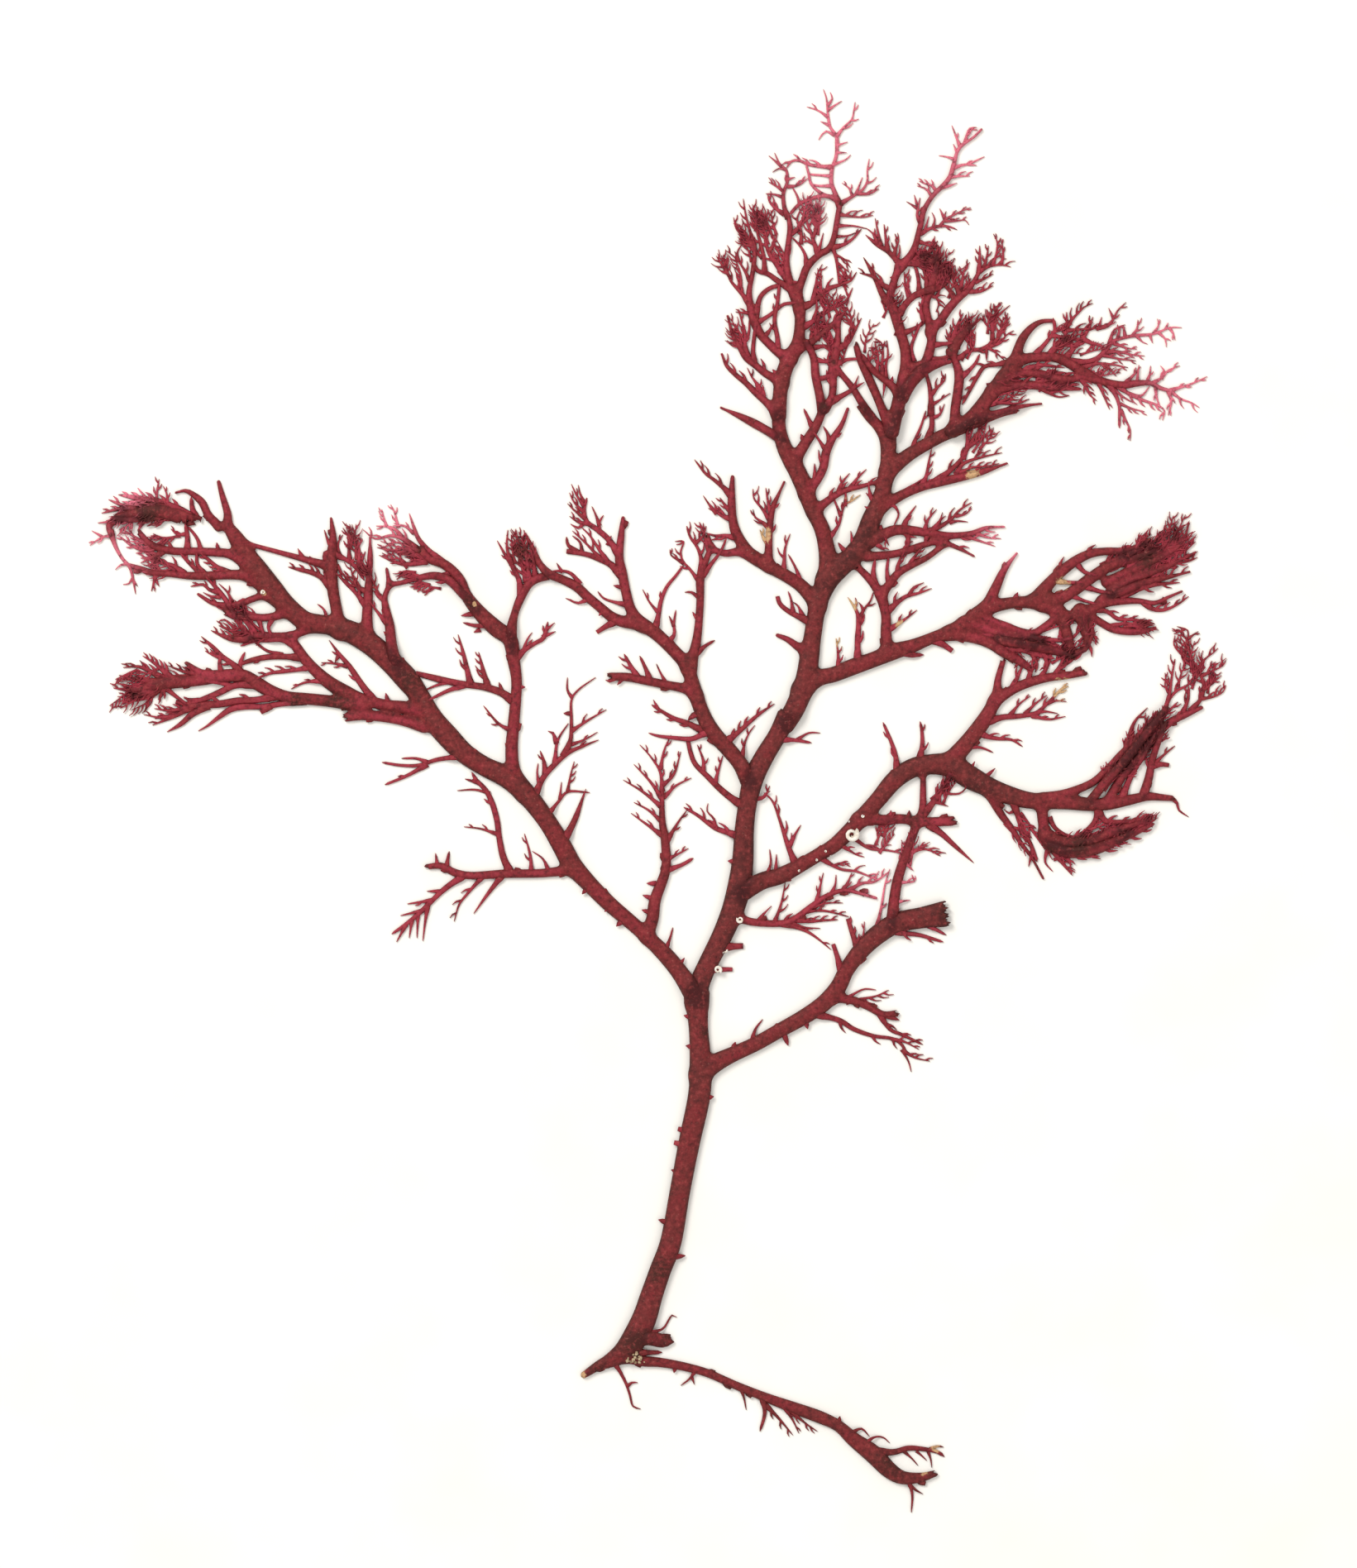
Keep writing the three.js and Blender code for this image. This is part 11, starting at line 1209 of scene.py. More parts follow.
# Tangles, where branchlets lie matted: x, y, radius, heading in degrees, and how many sprigs.
TANGLES_RIGHT = [
    [17.8, 48.4, 2.4, 100, 9], [20.7, 46.3, 1.5, 60, 4], [15.2, 59.5, 1.3, 90, 6], [10.7, 60.0, 1.6, 110, 6],
    [9.7, 57.2, 1.8, 110, 6], [12.0, 54.8, 1.4, 100, 4], [27.8, 55.4, 1.4, 120, 7], [29.0, 53.4, 1.5, 60, 6],
    [31.3, 47.6, 1.4, 80, 6], [7.5, 55.0, 1.3, 115, 4], [17.5, 51.8, 1.4, 95, 3], [8.1, 47.8, 1.1, 110, 3],
    [40.6, 43.9, 2.0, 15, 6], [42.0, 47.8, 1.7, 30, 5], [32.8, 37.3, 1.1, 60, 3], [34.8, 49.6, 1.1, 80, 3],
    [37.3, 16.4, 1.8, -10, 6], [41.2, 16.2, 1.8, 20, 5], [43.2, 17.3, 1.4, 60, 4], [49.0, 5.0, 1.6, 60, 11],
    [51.0, 7.4, 1.4, 60, 9], [46.9, 2.9, 1.1, 45, 6], [39.3, -4.6, 1.4, -45, 7], [37.4, -3.2, 1.2, -60, 4],
    [42.7, -4.2, 1.5, 10, 9], [46.6, -3.1, 1.3, 20, 9], [49.2, -2.4, 0.8, 20, 3], [54.6, 14.2, 1.9, 80, 5],
    [56.2, 12.7, 1.1, 60, 3], [36.2, 43.0, 1.4, 20, 4], [44.6, 44.6, 1.6, 20, 5], [29.0, 1.2, 0.9, 60, 3],
    [25.4, -4.5, 0.8, 80, 4], [23.4, -3.4, 1.0, 60, 3], [24.2, 50.4, 1.0, 80, 3],
    [51.6, 25.2, 1.8, 40, 9], [49.0, 25.2, 1.5, 35, 7], [46.6, 25.2, 1.1, 30, 4], [52.5, 27.2, 1.2, 65, 6],
    [53.4, 25.8, 1.0, 40, 4], [50.6, 23.7, 1.2, 25, 5], [49.4, 18.0, 0.8, -10, 3],
]
TANGLES_LEFT = [
    [-53.0, 29.7, 1.7, 190, 8], [-55.2, 29.0, 1.1, 215, 4], [-50.6, 29.8, 1.3, 180, 5],
    [-51.3, 26.2, 1.4, 165, 4], [-51.2, 24.5, 1.2, 160, 3], [-52.8, 12.2, 1.9, 190, 8],
    [-53.4, 11.0, 1.5, 205, 5], [-49.6, 11.9, 1.2, 190, 4], [-42.7, 19.0, 1.3, 150, 4],
    [-41.5, 17.3, 1.3, 160, 4], [-14.1, 25.6, 0.8, 100, 5], [-25.9, 25.6, 1.3, 150, 4],
    [-24.2, 23.1, 1.2, 155, 4], [-31.7, 26.3, 1.0, 100, 3], [-30.2, 22.7, 1.2, 110, 3],
]

# Tube worm shells, coiled flat: the solid that each stands for, or None, then x, y, width across, the
# hand of the coil and the turn of its mouth in radians.
SHELLS = [
    ["coiled_shell_large", 19.8, -3.4, 1.7, 1, 0.9],
    ["coiled_shell_left", 8.35, -12.1, 0.85, -1, 2.6],
    ["coiled_shell_broken", 6.8, -15.2, 0.9, 1, 4.2],
    ["coiled_shell_low", 6.1, -17.2, 0.95, -1, 5.4],
    [None, 20.9, -1.5, 0.4, 1, 0.4],
    [None, 19.6, -2.1, 0.3, -1, 2.0],
    [None, 17.6, -3.9, 0.35, 1, 3.1],
    [None, 17.1, -5.1, 0.3, -1, 5.0],
    [None, 17.6, -5.5, 0.25, 1, 1.2],
    [None, 16.2, -6.0, 0.3, 1, 2.2],
    [None, 14.4, -7.1, 0.3, -1, 0.7],
    [None, -40.4, 21.4, 0.6, 1, 3.9],
]
SHELL_TURNS = 1.5
SHELL_SIDES = 14
SHELL_STEPS_PER_TURN = 40
# As shares of the width across: the way out at the middle and what is added up to the mouth, for the
# coil and for the tube's radius.
SHELL_COIL = [0.05, 0.28]
SHELL_TUBE = [0.05, 0.11]
# The depth and pace of the growth rings, the middle's darkness and how fast it fades, how far the tube
# sinks in, and how high its centre line lies in radii.
SHELL_RING_DEPTH = 0.05
SHELL_RING_PACE = 60
SHELL_DARK = [0.3, 0.4]
SHELL_SUNK = 0.04
SHELL_LIFT = 0.9
# The mouth's lip, its inner rim and the end inside: share of the radius, turn in radians and darkness.
# The darkness of the inner rim and the end is painted shade inside the hollow tube.
SHELL_MOUTH = [[1.12, 0.05, 0.0], [0.72, 0.05, 0.4], [0.6, -0.5, 1.0]]

# Sand caught at the foot: the middle and size of the patch, the grain and how many.
SAND_AT = [-2.3, -57.0]
SAND_SPREAD = [1.0, 0.7]
SAND_GRAIN = 0.2
SAND_COUNT = 26
SAND_SEED = 7
# A grain has two rings of corners, below and above its middle. Pairs are a least value and its chance.
GRAIN_SIDES = 6
GRAIN_SIZE = [0.5, 0.7]
GRAIN_REACH = [0.8, 0.4]
GRAIN_SCATTER = 0.5
GRAIN_TILT = 0.6
GRAIN_MIDDLE = 0.5
GRAIN_FOOT = 0.4
GRAIN_TOP = 1.4

# The photograph's frame on the supporting plane, in millimetres.
PHOTO_PIXELS = [1641, 1896]
MM_PER_INCH = 25.4
DOTS_PER_INCH = 300
MM_PER_PIXEL = MM_PER_INCH / DOTS_PER_INCH
VIEW_CENTRE = [2.07, 1.78]
LENS = 135.0
SENSOR = 36.0
CLIP = [0.01, 10]

# The lights as name, place, size and energy, and the floor's half width, in metres. The floor lies a
# little under the frond, in millimetres.
LIGHTS = [["key", (-0.35, 0.4, 0.55), 0.3, 4.0], ["fill", (0.5, -0.3, 0.6), 0.6, 1.5]]
ROOM_LIGHT = 0.75
FLOOR_HALF = 1.5
FLOOR_BELOW = 0.03

# What the material reads: the width that counts as slender and the range up to stout, how many blades
# over another count as a full stack for the painted shade of overlaps, the y under which the frond is
# older, with its range, and, for the painted shade at the rims, the width of a broad blade's edge and how
# strong a ribbon's edge is.
SLENDER = 0.15
STOUT_RANGE = 2.0
STACK_RANGE = 1.1
OLD_UNDER = -12
OLD_RANGE = 45
EDGE_WIDTH = 0.32
RIBBON_EDGE = 0.6

# How far each value moves the frond's shade, from young to old. The edge's share is painted shade at
# the rims.
SHADE_BY = {"stout": 0.78, "tint": 0.12, "mottle": 0.7, "blotch": 0.6, "age": 0.4, "edge": 0.16}

# How fast the pale tips fade in and stop as blades get wider, and how dark the painted shade gets
# where blades are stacked and at the rims.
PALE_GAIN = 1.4
WIDTH_GAIN = 3.0
OVERLAP_SHADE_STRENGTH = 0.9
RIM_SHADE_STRENGTH = 0.75
# A patch of age shows where its strength and a ragged noise come past a value.
PATCH_GAIN = 1.5
PATCH_FROM = 0.6
RAGGED_GAIN = 2.2

# Surfaces: roughness, with what the grain adds to the frond's, and bumps as strength and metres deep.
FROND_SPECULAR = 0.18
FROND_ROUGHNESS = 0.5
GRAIN_ROUGHNESS = 0.3
FROND_BUMP = [0.7, 0.00014]
WRINKLE_HEIGHT = 0.8
GRAIN_HEIGHT = 0.4
SHELL_ROUGHNESS = 0.6
SHELL_BUMP = [0.5, 4e-5]
SAND_ROUGHNESS = 0.7
FLOOR_ROUGHNESS = 0.9

# The noises of the materials, as scale to a metre, detail and roughness.
NOISES = {
    "mottle": [900.0, 3.0, 0.55], "blotch": [260.0, 2.0, 0.55], "grain": [5200.0, 4.0, 0.7],
    "ragged": [2600.0, 3.0, 0.55], "grit": [2300.0, 3.0, 0.55], "dust": [3600.0, 3.0, 0.55],
    "wrinkle": [1900.0, 3.0, 0.55], "stain": [2400.0, 3.0, 0.55], "growth": [9000.0, 3.0, 0.55],
    "sand": [3500.0, 3.0, 0.55], "floor": [60.0, 3.0, 0.55],
}


def srgb(red, green, blue):
    """A colour of 0 to 255 steps as linear values with full alpha."""
    def linear(value):
        value = value / 255
        return value / 12.92 if value <= 0.04045 else ((value + 0.055) / 1.055) ** 2.4
    return (linear(red), linear(green), linear(blue), 1.0)


# The frond's reds, shells, sand and floor, each as stops of a share and a colour. The first and second
# stop are a ramp's own ends, and the others are added to it.
FROND_REDS = [
    (0.0, srgb(156, 48, 62)), (1.0, srgb(74, 28, 25)), (0.3, srgb(132, 38, 46)),
    (0.55, srgb(117, 36, 38)), (0.78, srgb(106, 39, 37)),
]
SHELL_WHITES = [(0.3, srgb(240, 236, 226)), (0.75, srgb(206, 190, 168))]
SAND_COLOURS = [(0.3, srgb(196, 176, 140)), (0.7, srgb(120, 88, 62))]
FLOOR_GREYS = [(0.3, srgb(233, 229, 221)), (0.7, srgb(239, 236, 229))]

# Colours that are mixed in.
YOUNG_PINK = srgb(222, 116, 134)
# Painted shade where blades lie over blades, darker as more are stacked.
OVERLAP_PAINTED_SHADE = srgb(58, 12, 14)
# Painted shade at the rims of stout blades, where their rounded faces slope away.
RIM_PAINTED_SHADE = srgb(60, 26, 21)
# The coil's darker middle, and painted shade inside the shell's mouth.
SHELL_DARK_MIDDLE_AND_MOUTH_SHADE = srgb(70, 40, 36)

# Patches of age, each with its strength and colour.
AGE_PATCHES = [["brown", 0.9, srgb(66, 30, 22)], ["bleach", 3.0, srgb(200, 160, 116)]]

# Dark and pale grit, specks and dust: the noise, the value that it has to pass, gain, base and colour.
SPECKLES = [
    ["grit", 0.52, 3.6, 0.0, srgb(62, 20, 20)], ["grit", 0.46, -2.6, 0.0, srgb(160, 66, 64)],
    ["grain", 0.5, 1.2, 0.08, srgb(48, 12, 14)], ["dust", 0.64, 3.0, 0.0, srgb(172, 112, 100)],
]


class Random:
    """A seeded run of numbers from 0 to 1, the same as the one that grew the solid's teeth."""

    def __init__(self, seed):
        self.state = seed

    def __call__(self):
        self.state = (self.state * RANDOM_FACTOR + RANDOM_STEP) % RANDOM_RANGE
        return self.state / RANDOM_RANGE


def midrib(row):
    """A row's points as an array of x, y and width, the width running evenly between stated ones."""
    root_width, tip_width, _, *points = row
    xy = np.array([point[:2] for point in points], float)
    along = np.concatenate([[0.0], np.cumsum(np.hypot(*np.diff(xy, axis=0).T))])
    stated = {0: root_width, len(points) - 1: tip_width}
    stated.update({i: point[2] for i, point in enumerate(points) if len(point) > 2})
    order = sorted(stated)
    width = np.interp(along, along[order], [stated[i] for i in order])
    return np.column_stack([xy, width])


def length_of(path):
    return float(np.hypot(*np.diff(path[:, :2], axis=0).T).sum())


def point_along(path, share):
    """x, y, width and heading at a share of a path's length."""
    left = length_of(path) * share
    for i in range(1, len(path)):
        before, after = path[i - 1], path[i]
        step = math.hypot(after[0] - before[0], after[1] - before[1])
        if left <= step or i == len(path) - 1:
            t = min(1.0, left / step)
            heading = math.atan2(after[1] - before[1], after[0] - before[0])
            return [*(before + (after - before) * t), heading]
        left -= step
    return None


def tooth(root, side, length, random):
    """One tooth from the midrib outwards, bent towards the blade's tip."""
    x, y, root_width, heading = root
    spread = TOOTH_ANGLE + (random() - 0.5) * TOOTH_ANGLE_SPREAD
    reach = root_width / 2 + length
    start = heading + side * spread
    end = heading + side * (spread - TOOTH_BEND)
    bend = [x + math.cos(start) * reach * TO_BEND, y + math.sin(start) * reach * TO_BEND]
    tip = [bend[0] + math.cos(end) * reach * TO_TIP, bend[1] + math.sin(end) * reach * TO_TIP]
    width = min(TOOTH_WIDEST, root_width * TOOTH_WIDTH_SHARE + TOOTH_WIDTH_BASE)
    return np.array([[x, y, width], [*bend, width * BEND_WIDTH], [*tip, width * TIP_WIDTH]])


def comb(row, path, random):
    """The teeth that a row states, lowest first, as [share of the row, hand, length, tooth]."""
    side, count, length = row[2]
    teeth = []
    for i in range(count):
        share = COMB_START + COMB_SPAN * ((i + 0.5 + (random() - 0.5) * COMB_SCATTER) / count)
        hand = {"L": 1, "R": -1, "A": 1 if i % 2 == 0 else -1}[side]
        size = length * (TOOTH_AT_ROOT - TOOTH_LOSS * share) * (TOOTH_LEAST + TOOTH_CHANCE * random())
        grown_tooth = tooth(point_along(path, share), hand, size * TOOTH_LONGER, random)
        teeth.append([share, hand, size, grown_tooth])
    return teeth


def sub_teeth(grown_tooth, hand, size):
    """The small teeth of a tooth, as [share of the tooth, tooth], from draws of the tooth's own."""
    random = Random(RANDOM_SEED + int(size * SUB_TOOTH_SEEDS))
    made = []
    for share, side, length in SUB_TEETH:
        shift = (random() - 0.5) * SUB_TOOTH_SCATTER
        root = point_along(grown_tooth, share + shift)
        made.append([share, tooth(root, side * hand, size * length, random)])
    return made


def smoothed(path, start):
    """The path on a smooth curve, as x, y, width and the distance from the row's root."""
    ends = [2 * path[0] - path[1], *path, 2 * path[-1] - path[-2]]
    points = []
    for i in range(1, len(ends) - 2):
        before, a, b, after = ends[i - 1], ends[i], ends[i + 1], ends[i + 2]
        count = max(1, round(math.hypot(*(b - a)[:2]) / SMOOTH_STEP))
        for t in np.arange(count) / count:
            tangent = (b - before) * t + (2 * before - 5 * a + 4 * b - after) * t ** 2
            points.append(a + 0.5 * (tangent + (3 * a - before - 3 * b + after) * t ** 3))
    points.append(path[-1])
    curve = np.array(points)
    along = start + np.concatenate([[0.0], np.cumsum(np.hypot(*np.diff(curve[:, :2], axis=0).T))])
    least = np.linspace(LEAST_ROOT, LEAST_TIP, len(curve))
    return np.column_stack([curve[:, :2], np.maximum(curve[:, 2], least), along])


def soft_union(one, other):
    """The lower of two distances, with a web where both are near."""
    blend = np.maximum(FORK_WEB - np.abs(one - other), 0) / FORK_WEB
    return np.minimum(one, other) - blend * blend * FORK_WEB / 4


class Patch:
    """A part of the field: distances to the blades' edges, widths there and distances from the root."""

    def __init__(self, low, size):
        self.low = low
        self.gap = np.full(size, REACH, np.float32)
        self.width = np.full(size, LEAST_TIP, np.float32)
        self.run = np.zeros(size, np.float32)

    def window(self, low, size):
        """The slices of this patch that another one covers."""
        rows = slice(low[0] - self.low[0], low[0] - self.low[0] + size[0])
        columns = slice(low[1] - self.low[1], low[1] - self.low[1] + size[1])
        return rows, columns

    def take(self, other):
        """Joins a smaller patch into this one and says where the smaller one is the nearer."""
        where = self.window(other.low, other.gap.shape)
        nearer = other.gap < self.gap[where]
        for name in ("width", "run"):
            mine = getattr(self, name)[where]
            mine[nearer] = getattr(other, name)[nearer]
        self.gap[where] = soft_union(self.gap[where], other.gap)
        return where, nearer


def cells_round(path, origin):
    """The lowest cell, as row and column, and the size of the patch that a path's distances fill."""
    reach = REACH + path[:, 2].max() / 2
    low = np.floor((path[:, :2].min(axis=0) - reach - origin) / STEP).astype(int)
    high = np.ceil((path[:, :2].max(axis=0) + reach - origin) / STEP).astype(int)
    return (int(low[1]), int(low[0])), (int(high[1] - low[1] + 1), int(high[0] - low[0] + 1))


def patch_of(path, origin):
    """The field of one blade, worked out along its curve one short length at a time."""
    patch = Patch(*cells_round(path, origin))
    for a, b in zip(path[:-1], path[1:]):
        low, size = cells_round(np.array([a, b]), origin)
        where = patch.window(low, size)
        x = origin[0] + (low[1] + np.arange(size[1])) * STEP
        y = origin[1] + (low[0] + np.arange(size[0]))[:, None] * STEP
        dx, dy = b[0] - a[0], b[1] - a[1]
        share = np.clip(((x - a[0]) * dx + (y - a[1]) * dy) / max(dx * dx + dy * dy, LEAST_LENGTH), 0, 1)
        width = a[2] + (b[2] - a[2]) * share
        gap = np.hypot(x - a[0] - dx * share, y - a[1] - dy * share) - width / 2
        nearer = gap < patch.gap[where]
        patch.gap[where][nearer] = gap[nearer]
        patch.width[where][nearer] = width[nearer]
        patch.run[where][nearer] = (a[3] + (b[3] - a[3]) * share)[nearer]
    return patch


def heading_at_end(path):
    step = path[-1, :2] - path[-2, :2]
    return step / np.hypot(*step)


def cut_across(patch, path, origin):
    """Ends a stub in a ragged cut across it, in place of a round end."""
    rows, columns = patch.gap.shape
    x = origin[0] + (patch.low[1] + np.arange(columns)) * STEP - path[-1, 0]
    y = (origin[1] + (patch.low[0] + np.arange(rows)) * STEP - path[-1, 1])[:, None]
    ahead = heading_at_end(path)
    beyond = x * ahead[0] + y * ahead[1]
    across = x * ahead[1] - y * ahead[0]
    ragged = sum(depth * np.sin(across * waves + start) for depth, waves, start in CUT_WAVES)
    patch.gap = np.maximum(patch.gap, (beyond - CUT_OVERHANG - ragged).astype(np.float32))


def patch_of_row(path, origin):
    """The field of a broad blade."""
    is_cut = path[-1, 2] >= CUT_FROM
    shape = path.copy()
    shape[-1, 2] *= CUT_FLARE if is_cut else 1
    patch = patch_of(smoothed(shape, 0.0), origin)
    if is_cut:
        cut_across(patch, path, origin)
    return patch


def eased(share):
    """A share held between 0 and 1, with a gentle start and end."""
    share = np.clip(share, 0, 1)
    return share * share * (3 - 2 * share)


class Sheet(Patch):
    """One layer of a limb over the whole field."""

    def __init__(self, shape):
        super().__init__((0, 0), shape)
        self.rise = np.ones(shape, np.float32)
        self.tint = np.zeros(shape, np.float32)

    def crossing(self, patch):
        """The share of a blade beyond its root that would cross what the sheet already holds."""
        where = self.window(patch.low, patch.gap.shape)
        body = (patch.gap < 0) & (patch.run > ROOT_CLEARANCE)
        if not body.any():
            return 0.0
        return float((self.gap[where][body] < -BODY_DEPTH).mean())

    def lay(self, patch, grows_here, tint):
        """Joins a blade to the sheet. One that grows from another sheet climbs up from its root."""
        where, nearer = self.take(patch)
        rise = np.ones_like(patch.run) if grows_here else eased(patch.run / RISE_LENGTH)
        self.rise[where][nearer] = rise[nearer]
        self.tint[where][nearer] = tint


def box_blur(values, cells, times=2):
    """Values blurred over a square of cells on each side, a few times over."""
    size = 2 * cells + 1
    for _ in range(times):
        for axis in (0, 1):
            pad = [(cells + 1, cells) if a == axis else (0, 0) for a in (0, 1)]
            total = np.cumsum(np.pad(values, pad, mode="edge").astype(np.float64), axis=axis)
            count = values.shape[axis]
            high = np.take(total, np.arange(size, size + count), axis=axis)
            low = np.take(total, np.arange(0, count), axis=axis)
            values = ((high - low) / size).astype(np.float32)
    return values


def widened(values, cells):
    """Each value raised to the highest within a square of cells round it."""
    for axis in (0, 1):
        best = values.copy()
        for shift in range(1, cells + 1):
            best = np.maximum(best, np.roll(values, shift, axis))
            best = np.maximum(best, np.roll(values, -shift, axis))
        values = best
    return values


def evened(sheet, values, cells=2):
    """Values blurred along the blades, with nothing mixed in from the empty field."""
    held = (sheet.gap < NEAR_RIM).astype(np.float32)
    return box_blur(values * held, cells) / np.maximum(box_blur(held, cells), LEAST_HELD)


def all_rows():
    for rows in LIMBS.values():
        for limb in rows:
            yield from limb


def field_frame():
    """The field's lowest corner in millimetres and its shape in cells."""
    points = np.array([point[:2] for row in all_rows() for point in row[3:]], float)
    low = points.min(axis=0) - MARGIN - REACH
    size = np.ceil((points.max(axis=0) + MARGIN + REACH - low) / STEP).astype(int) + 1
    return low, (int(size[1]), int(size[0]))


# The order in which the solid's teeth were drawn, so that the same draws fall to each tooth here.
DRAWN = [STIPE, RUNNER, LOW_RIGHT, CENTRE, LOW_SPRAY, RIGHT, RIGHT_RISE, FAR_RIGHT, RIGHT_UNDER, CROWN,
         CENTRE_LEFT, CROWN_RIGHT, UPPER_RIGHT, UNDER_PATCH, TOP, LEFT, TOP_RIGHT, OUTER_RIGHT, LEFT_OUT]


def grown_rows():
    """The midrib and teeth of every row, by the row's identity."""
    random = Random(RANDOM_SEED)
    grown = {}
    for limb in DRAWN:
        for row in limb:
            path = midrib(row)
            grown[id(row)] = {"path": path, "teeth": comb(row, path, random) if row[2] else []}
    return grown


def along_ray(start, degrees, reach):
    turn = math.radians(degrees)
    return [start[0] + math.cos(turn) * reach, start[1] + math.sin(turn) * reach]


def matted_rows(tangles, random):
    """Short toothed sprigs that are strewn over each tangle, nearly along its heading."""
    rows = []
    for x, y, radius, heading, count in tangles:
        for _ in range(math.ceil(count * SPRIG_SHARE)):
            middle = along_ray([x, y], 360 * random(), radius * math.sqrt(random()))
            degrees = heading + (random() - 0.5) * SPRIG_TURN
            half = (SPRIG_LENGTH[0] + SPRIG_LENGTH[1] * random()) / 2
            start = along_ray(middle, degrees, -half)
            end = along_ray(middle, degrees, half)
            bent = along_ray(middle, degrees + 90, (random() - 0.5) * SPRIG_BEND)
            side = "L" if random() < 0.5 else "A"
            rows.append([*SPRIG_WIDTHS, [side, SPRIG_TEETH, SPRIG_TOOTH], start, bent, end])
    return rows


def stubs_of(path, random):
    """Blunt stubs of teeth that broke off along a broad blade."""
    length = length_of(path)
    stubs = []
    for i in range(int(length / STUB_SPACING)):
        share = (i + STUB_SCATTER[0] + STUB_SCATTER[1] * random()) * STUB_SPACING / length
        hand = 1 if random() < 0.5 else -1
        stub = tooth(point_along(path, share), hand, STUB_LENGTH[0] + STUB_LENGTH[1] * random(), random)
        stub[:, 2] = STUB_WIDTHS
        if random() < np.interp(stub[0, 1], *STUB_SHARES):
            stubs.append(stub)
    return stubs


def free_end(rib):
    """Where a broad blade was cut off and nothing grows on: x, y and how far it has browned."""
    x, y, width = rib["path"][-1]
    ahead = heading_at_end(rib["path"])
    row, column = (round(float(v)) for v in (([x, y] + ahead * CUT_LOOK_AHEAD - ORIGIN) / STEP)[::-1])
    if width < CUT_FROM or not is_broad(rib["path"]) or COVER[row, column] > 0:
        return None
    return [x, y, CUT_BROWNING[0] + width * CUT_BROWNING[1]]


def is_broad(path):
    return path[:, 2].max() >= SHEET_FROM


def lay_limb(rows, grown, shape, tints):
    """The sheets of one limb, with each blade in the lowest sheet where it crosses little."""
    sheets = [Sheet(shape) for _ in range(LAYERS)]
    for limb in rows:
        for row in limb:
            path = grown[id(row)]["path"]
            if not is_broad(path):
                continue
            patch = patch_of_row(path, ORIGIN)
            shares = [sheet.crossing(patch) for sheet in sheets]
            clear = [i for i, share in enumerate(shares) if share < CROSSING_SHARE]
            chosen = sheets[clear[0] if clear else int(np.argmin(shares))]
            root = ((path[0, :2] - ORIGIN) / STEP).round().astype(int)
            grows_here = bool(chosen.gap[root[1], root[0]] < 0)
            chosen.lay(patch, grows_here, tints() * 2 - 1)
    return [sheet for sheet in sheets if (sheet.gap < 0).any()]


def raise_sheet(sheet, ground):
    """Works out the sheet's rim, upper and lower faces over the ground, and returns the new ground."""
    sheet.width = evened(sheet, sheet.width)
    sheet.tint = evened(sheet, sheet.tint, TINT_CELLS)
    rise = evened(sheet, sheet.rise, RISE_CELLS)
    thickness = THINNEST + THICKNESS_PER_WIDTH * sheet.width
    base = box_blur(widened(ground, GROUND_CELLS), GROUND_CELLS) * PRESSED * rise
    inwards = np.clip(-sheet.gap / (0.5 * np.maximum(sheet.width, LEAST_TIP)), 0, 1)
    crown = np.sqrt(1 - (1 - inwards) ** 2)
    sheet.rim = base + RIM_SHARE * thickness
    sheet.top = sheet.rim + (1 - RIM_SHARE) * thickness * crown
    sheet.bottom = sheet.rim - RIM_SHARE * thickness * crown
    return np.where(sheet.gap < 0, np.maximum(ground, sheet.top), ground)


# The polygons of a cell by which of its corners are inside. Corners run a low left, b low right,
# c high right and d high left, and count 1, 2, 4 and 8. Pairs of letters are points of the rim.
CELL_POLYGONS = {
    1: ["a ab ad"], 2: ["b bc ab"], 3: ["a b bc ad"], 4: ["c dc bc"], 5: ["a ab ad", "c dc bc"],
    6: ["b c dc ab"], 7: ["a b c dc ad"], 8: ["d ad dc"], 9: ["a ab dc d"], 10: ["b bc ab", "d ad dc"],
    11: ["a b bc dc d"], 12: ["ad bc c d"], 13: ["a ab bc c d"], 14: ["ab b c d ad"], 15: ["a b c d"],
}


def rim_points(inside):
    """Where the rim crosses the field's lines along x and along y, numbered on from the first."""
    along_x = inside[:, :-1] != inside[:, 1:]
    along_y = inside[:-1] != inside[1:]
    x_number = np.full(along_x.shape, -1)
    x_number[along_x] = np.arange(along_x.sum())
    y_number = np.full(along_y.shape, -1)
    y_number[along_y] = along_x.sum() + np.arange(along_y.sum())
    return along_x, along_y, x_number, y_number


def faces_of(inside, numbers, x_number, y_number, upper):
    """Triangles over every cell that the sheet fills, from the numbers of the corners and the rim."""
    code = (inside[:-1, :-1] + 2 * inside[:-1, 1:] + 4 * inside[1:, 1:] + 8 * inside[1:, :-1]).astype(int)
    found = []
    for value, polygons in CELL_POLYGONS.items():
        j, i = np.nonzero(code == value)
        if not len(j):
            continue
        point = {
            "a": numbers[j, i], "b": numbers[j, i + 1], "c": numbers[j + 1, i + 1], "d": numbers[j + 1, i],
            "ab": x_number[j, i], "dc": x_number[j + 1, i], "ad": y_number[j, i], "bc": y_number[j, i + 1],
        }
        for polygon in polygons:
            corners = [point[name] for name in polygon.split()]
            for k in range(1, len(corners) - 1):
                triangle = [corners[0], corners[k], corners[k + 1]]
                found.append(np.column_stack(triangle if upper else triangle[::-1]))
    return np.concatenate(found)


